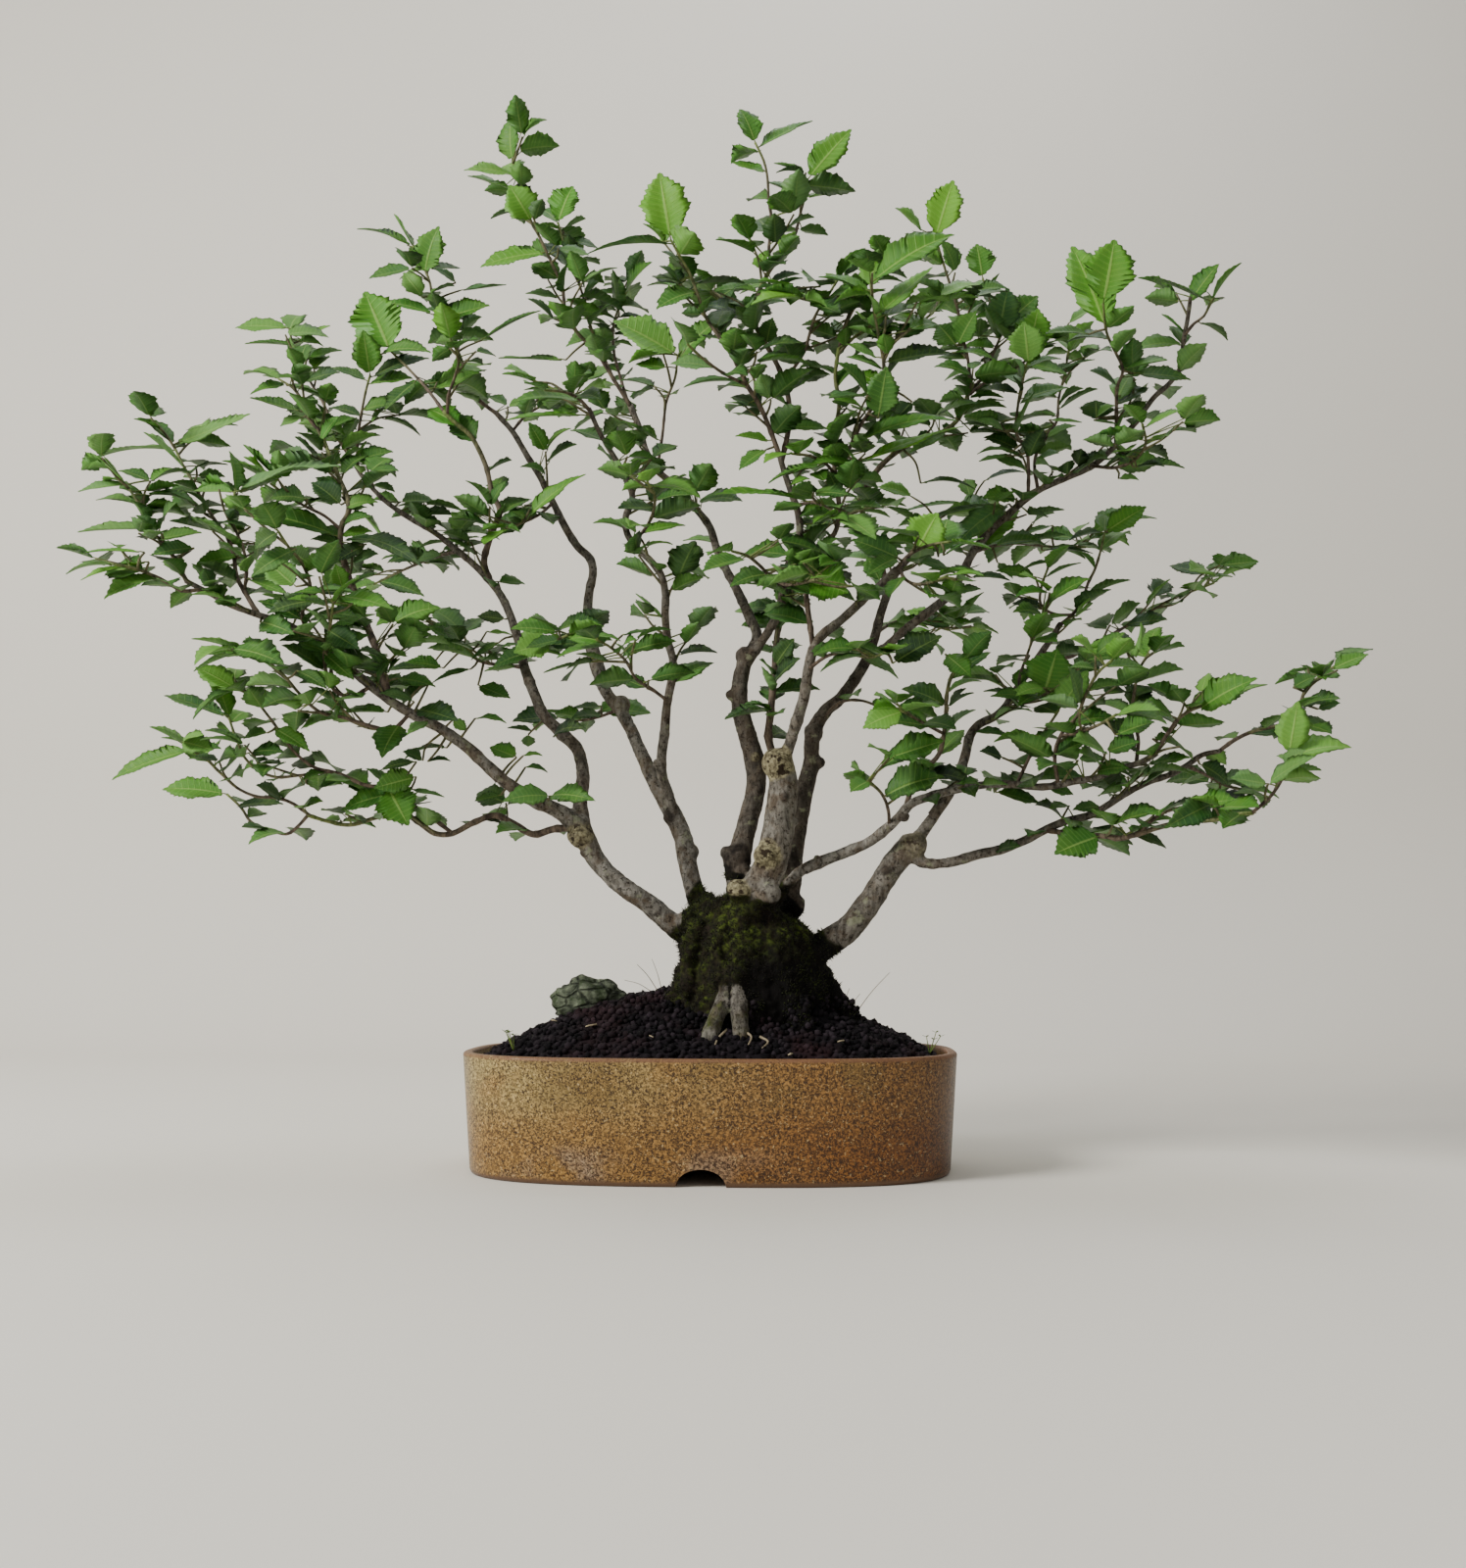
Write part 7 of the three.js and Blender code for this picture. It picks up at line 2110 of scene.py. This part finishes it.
def make_stone():
    """One low wrinkled stone."""
    shape = bmesh.new()
    bmesh.ops.create_icosphere(shape, subdivisions=5, radius=1.0)
    for vertex in shape.verts:
        p = vertex.co.copy()
        wrinkle = 1 + 0.07 * math.sin(7 * p.x + 3 * p.z) + 0.05 * math.sin(9 * p.z - 4 * p.y)
        wrinkle += 0.1 * noise.noise(p * 2.3) + 0.06 * noise.noise(p * 6.0)
        wrinkle -= 0.07 * max(0.0, 0.25 - abs(noise.noise(p * 3.4 + Vector((4, 1, 7))))) * 4
        size = Vector(STONE["size"]) * wrinkle
        vertex.co = (Vector((STONE["x"], STONE["y"], STONE["z"])) + p * size) * MM
    mesh = bpy.data.meshes.new("stone")
    shape.to_mesh(mesh)
    shape.free()
    smoothed(mesh)
    place("mossy_stone", mesh, stone_material(), "stone", ("stone",))


HAIRS = [
    # foot, tip and radius of thin dry stalks on the soil
    ((-40, -8, 131), (-56, -12, 152), 0.35), ((-44, -4, 130), (-66, -8, 140), 0.3),
    ((-38, 0, 132), (-46, 0, 156), 0.3), ((108, -12, 112), (136, -16, 146), 0.35),
    ((100, -4, 114), (106, -4, 134), 0.3), ((104, -6, 113), (114, -8, 130), 0.3),
]
ROOTLETS = [
    ((30, -66, 104), (34, -73, 101), (32, -80, 96)), ((16, -62, 106), (10, -72, 100), (8, -80, 95)),
    ((-50, -40, 113), (-62, -44, 112), (-74, -52, 106)), ((40, -70, 101), (46, -76, 98), (42, -84, 94)),
]
FLAKES = [
    # pale flakes on the soil: place, turn, size
    (-84, -56, 0.4, 4.5), (62, -88, 1.2, 3.0), (-38, -72, 2.2, 2.4), (98, -70, 0.2, 2.6),
    (-116, -30, 2.8, 2.6), (20, 82, 0.9, 3.2), (-70, 60, 1.9, 2.8),
]


BOX_FACES = [(0, 1, 2, 3), (7, 6, 5, 4), (0, 4, 5, 1), (1, 5, 6, 2), (2, 6, 7, 3), (3, 7, 4, 0)]
WEEDS = ((-140, -62, -0.2), (164, -30, 0.2))
FLAKE = ((-1, -0.6), (1, -1), (0.8, 1), (-0.7, 0.8))


def add_slab(shape, corners, thick, tone):
    """A small flat piece with four corners."""
    shape.add(corners + [p - UP * thick for p in corners], BOX_FACES, tone)


def on_soil(x, y, rise):
    return np.array([x, y, soil_height(*place_on_soil(x, y)) + rise])


def make_sprouts():
    """Tiny weeds near the rim, and dry stalks, rootlets and pale flakes on the soil."""
    sprouts = Shape()
    for x, y, lean in WEEDS:
        foot = on_soil(x, y, -1)
        for k in range(4):
            way = unit(np.array([lean + rng.uniform(-0.5, 0.5), rng.uniform(-0.4, 0.4), 1.0]))
            height = rng.uniform(9, 17)
            stem = [foot, foot + way * height * 0.6, foot + way * height]
            tip = sprouts.thread(stem, [0.45, 0.35, 0.3], 3, 5, (1, 0.5, 0, 0))[-1]
            for turn in (0.0, 2.1, 4.2):
                out = np.array([math.cos(turn + k), math.sin(turn + k), 0.4])
                side = np.cross(out, UP)
                leaf = [tip, tip + out * 1.6 + side * 0.9, tip + out * 3.0, tip + out * 1.6 - side * 0.9]
                add_slab(sprouts, leaf, 0.25, (1, 0.5, 0, 0))
    for foot, tip, size in HAIRS:
        foot, tip = np.array(foot, float), np.array(tip, float)
        middle = (foot + tip) / 2 + np.array([0, 0, 2.0])
        sprouts.thread([foot, middle, tip], [size, size * 0.8, size * 0.6], 3, 5, (0.1, 0.5, 0, 0.3))
    for points in ROOTLETS:
        sprouts.thread([np.array(p, float) for p in points], [1.0, 0.8, 0.5], 3, 6, (0, 0.5, 0, 0.55))
    for x, y, turn, size in FLAKES:
        centre = on_soil(x, y, 1.2)
        along = np.array([math.cos(turn), math.sin(turn), 0.15])
        side = unit(np.cross(along, np.array([0.2, 0.4, 1.0])))
        corners = [centre + along * size * a + side * size * 0.35 * b for a, b in FLAKE]
        add_slab(sprouts, corners, 0.8, (0, 0.5, 0, 1))
    sprouts.make("sprouts_and_rootlets", twig_material(), "leaf")


# Stage, light and camera
def plain(name, color, roughness):
    """One even colour with a very faint cloud in it."""
    m = material(name)
    soft = m.mix(m.noise(3, 2), color, tuple(c * 0.97 for c in color[:3]) + (1.0,))
    return m.surface(soft, roughness)


def make_stage():
    """A pale floor that curves up into a pale backdrop."""
    profile = [(-4.0, 0.0), (1.1, 0.0)]
    for k in range(1, 13):
        angle = math.pi / 2 * k / 12
        profile.append((1.1 + 0.5 * math.sin(angle), 0.5 - 0.5 * math.cos(angle)))
    profile.append((1.6, 5.0))
    points = [(x, y, z) for y, z in profile for x in (-6.0, 6.0)]
    faces = [(2 * i, 2 * i + 1, 2 * i + 3, 2 * i + 2) for i in range(len(profile) - 1)]
    mesh = bpy.data.meshes.new("stage_floor")
    mesh.from_pydata(points, [], faces)
    smoothed(mesh)
    floor = linked("stage_floor", mesh)
    mesh.materials.append(plain("stage_pale", srgb(226, 222, 212), 0.9))


def lamp(name, place_m, aim, size, power, color):
    """A round soft lamp that points at its aim, in metres and watts."""
    data = bpy.data.lights.new(name, "AREA")
    data.shape = "DISK"
    data.size = size
    data.energy = power
    data.color = color
    obj = linked(name, data)
    obj.location = place_m
    obj.rotation_euler = (Vector(aim) - Vector(place_m)).to_track_quat("-Z", "Y").to_euler()


def make_light():
    lamp("key", (-2.3, -1.5, 2.0), (0, 0, 0.4), 1.2, 128, (1.0, 0.98, 0.94))
    lamp("fill", (2.2, -1.6, 1.1), (0, 0, 0.4), 1.8, 5, (1.0, 0.95, 0.88))
    lamp("back", (0.4, 0.7, 2.9), (0, 0, 0.5), 1.4, 22, (0.95, 0.97, 1.0))
    world = bpy.data.worlds.new("studio")
    world.use_nodes = True
    background = world.node_tree.nodes["Background"]
    background.inputs["Color"].default_value = (0.93, 0.93, 0.95, 1.0)
    background.inputs["Strength"].default_value = 0.46
    bpy.context.scene.world = world


CAMERA = {"place": (0.0779, -1.139, 0.164), "pitch": 6.39, "yaw": 3.07, "focal": 1500 / 1600, "sensor": 36}


def make_camera():
    """The viewing point of the photograph: low in front, a little right of the trunk, looking slightly up."""
    data = bpy.data.cameras.new("view")
    data.sensor_width = CAMERA["sensor"]
    data.lens = CAMERA["focal"] * data.sensor_width
    data.clip_end = 50
    camera = linked("view", data)
    camera.location = CAMERA["place"]
    camera.rotation_euler = (math.pi / 2 + math.radians(CAMERA["pitch"]), 0, math.radians(CAMERA["yaw"]))
    bpy.context.scene.camera = camera


make_camera()
plant_extras()
skin = make_wood()
make_moss(skin)
make_sprays()
make_pot()
make_soil(skin)
make_stone()
make_sprouts()
mesh_look = plastic_material()
for node in ("drain_mesh_left", "drain_mesh_right"):
    frame["nodes"][node].material_slots[0].material = mesh_look
make_stage()
make_light()
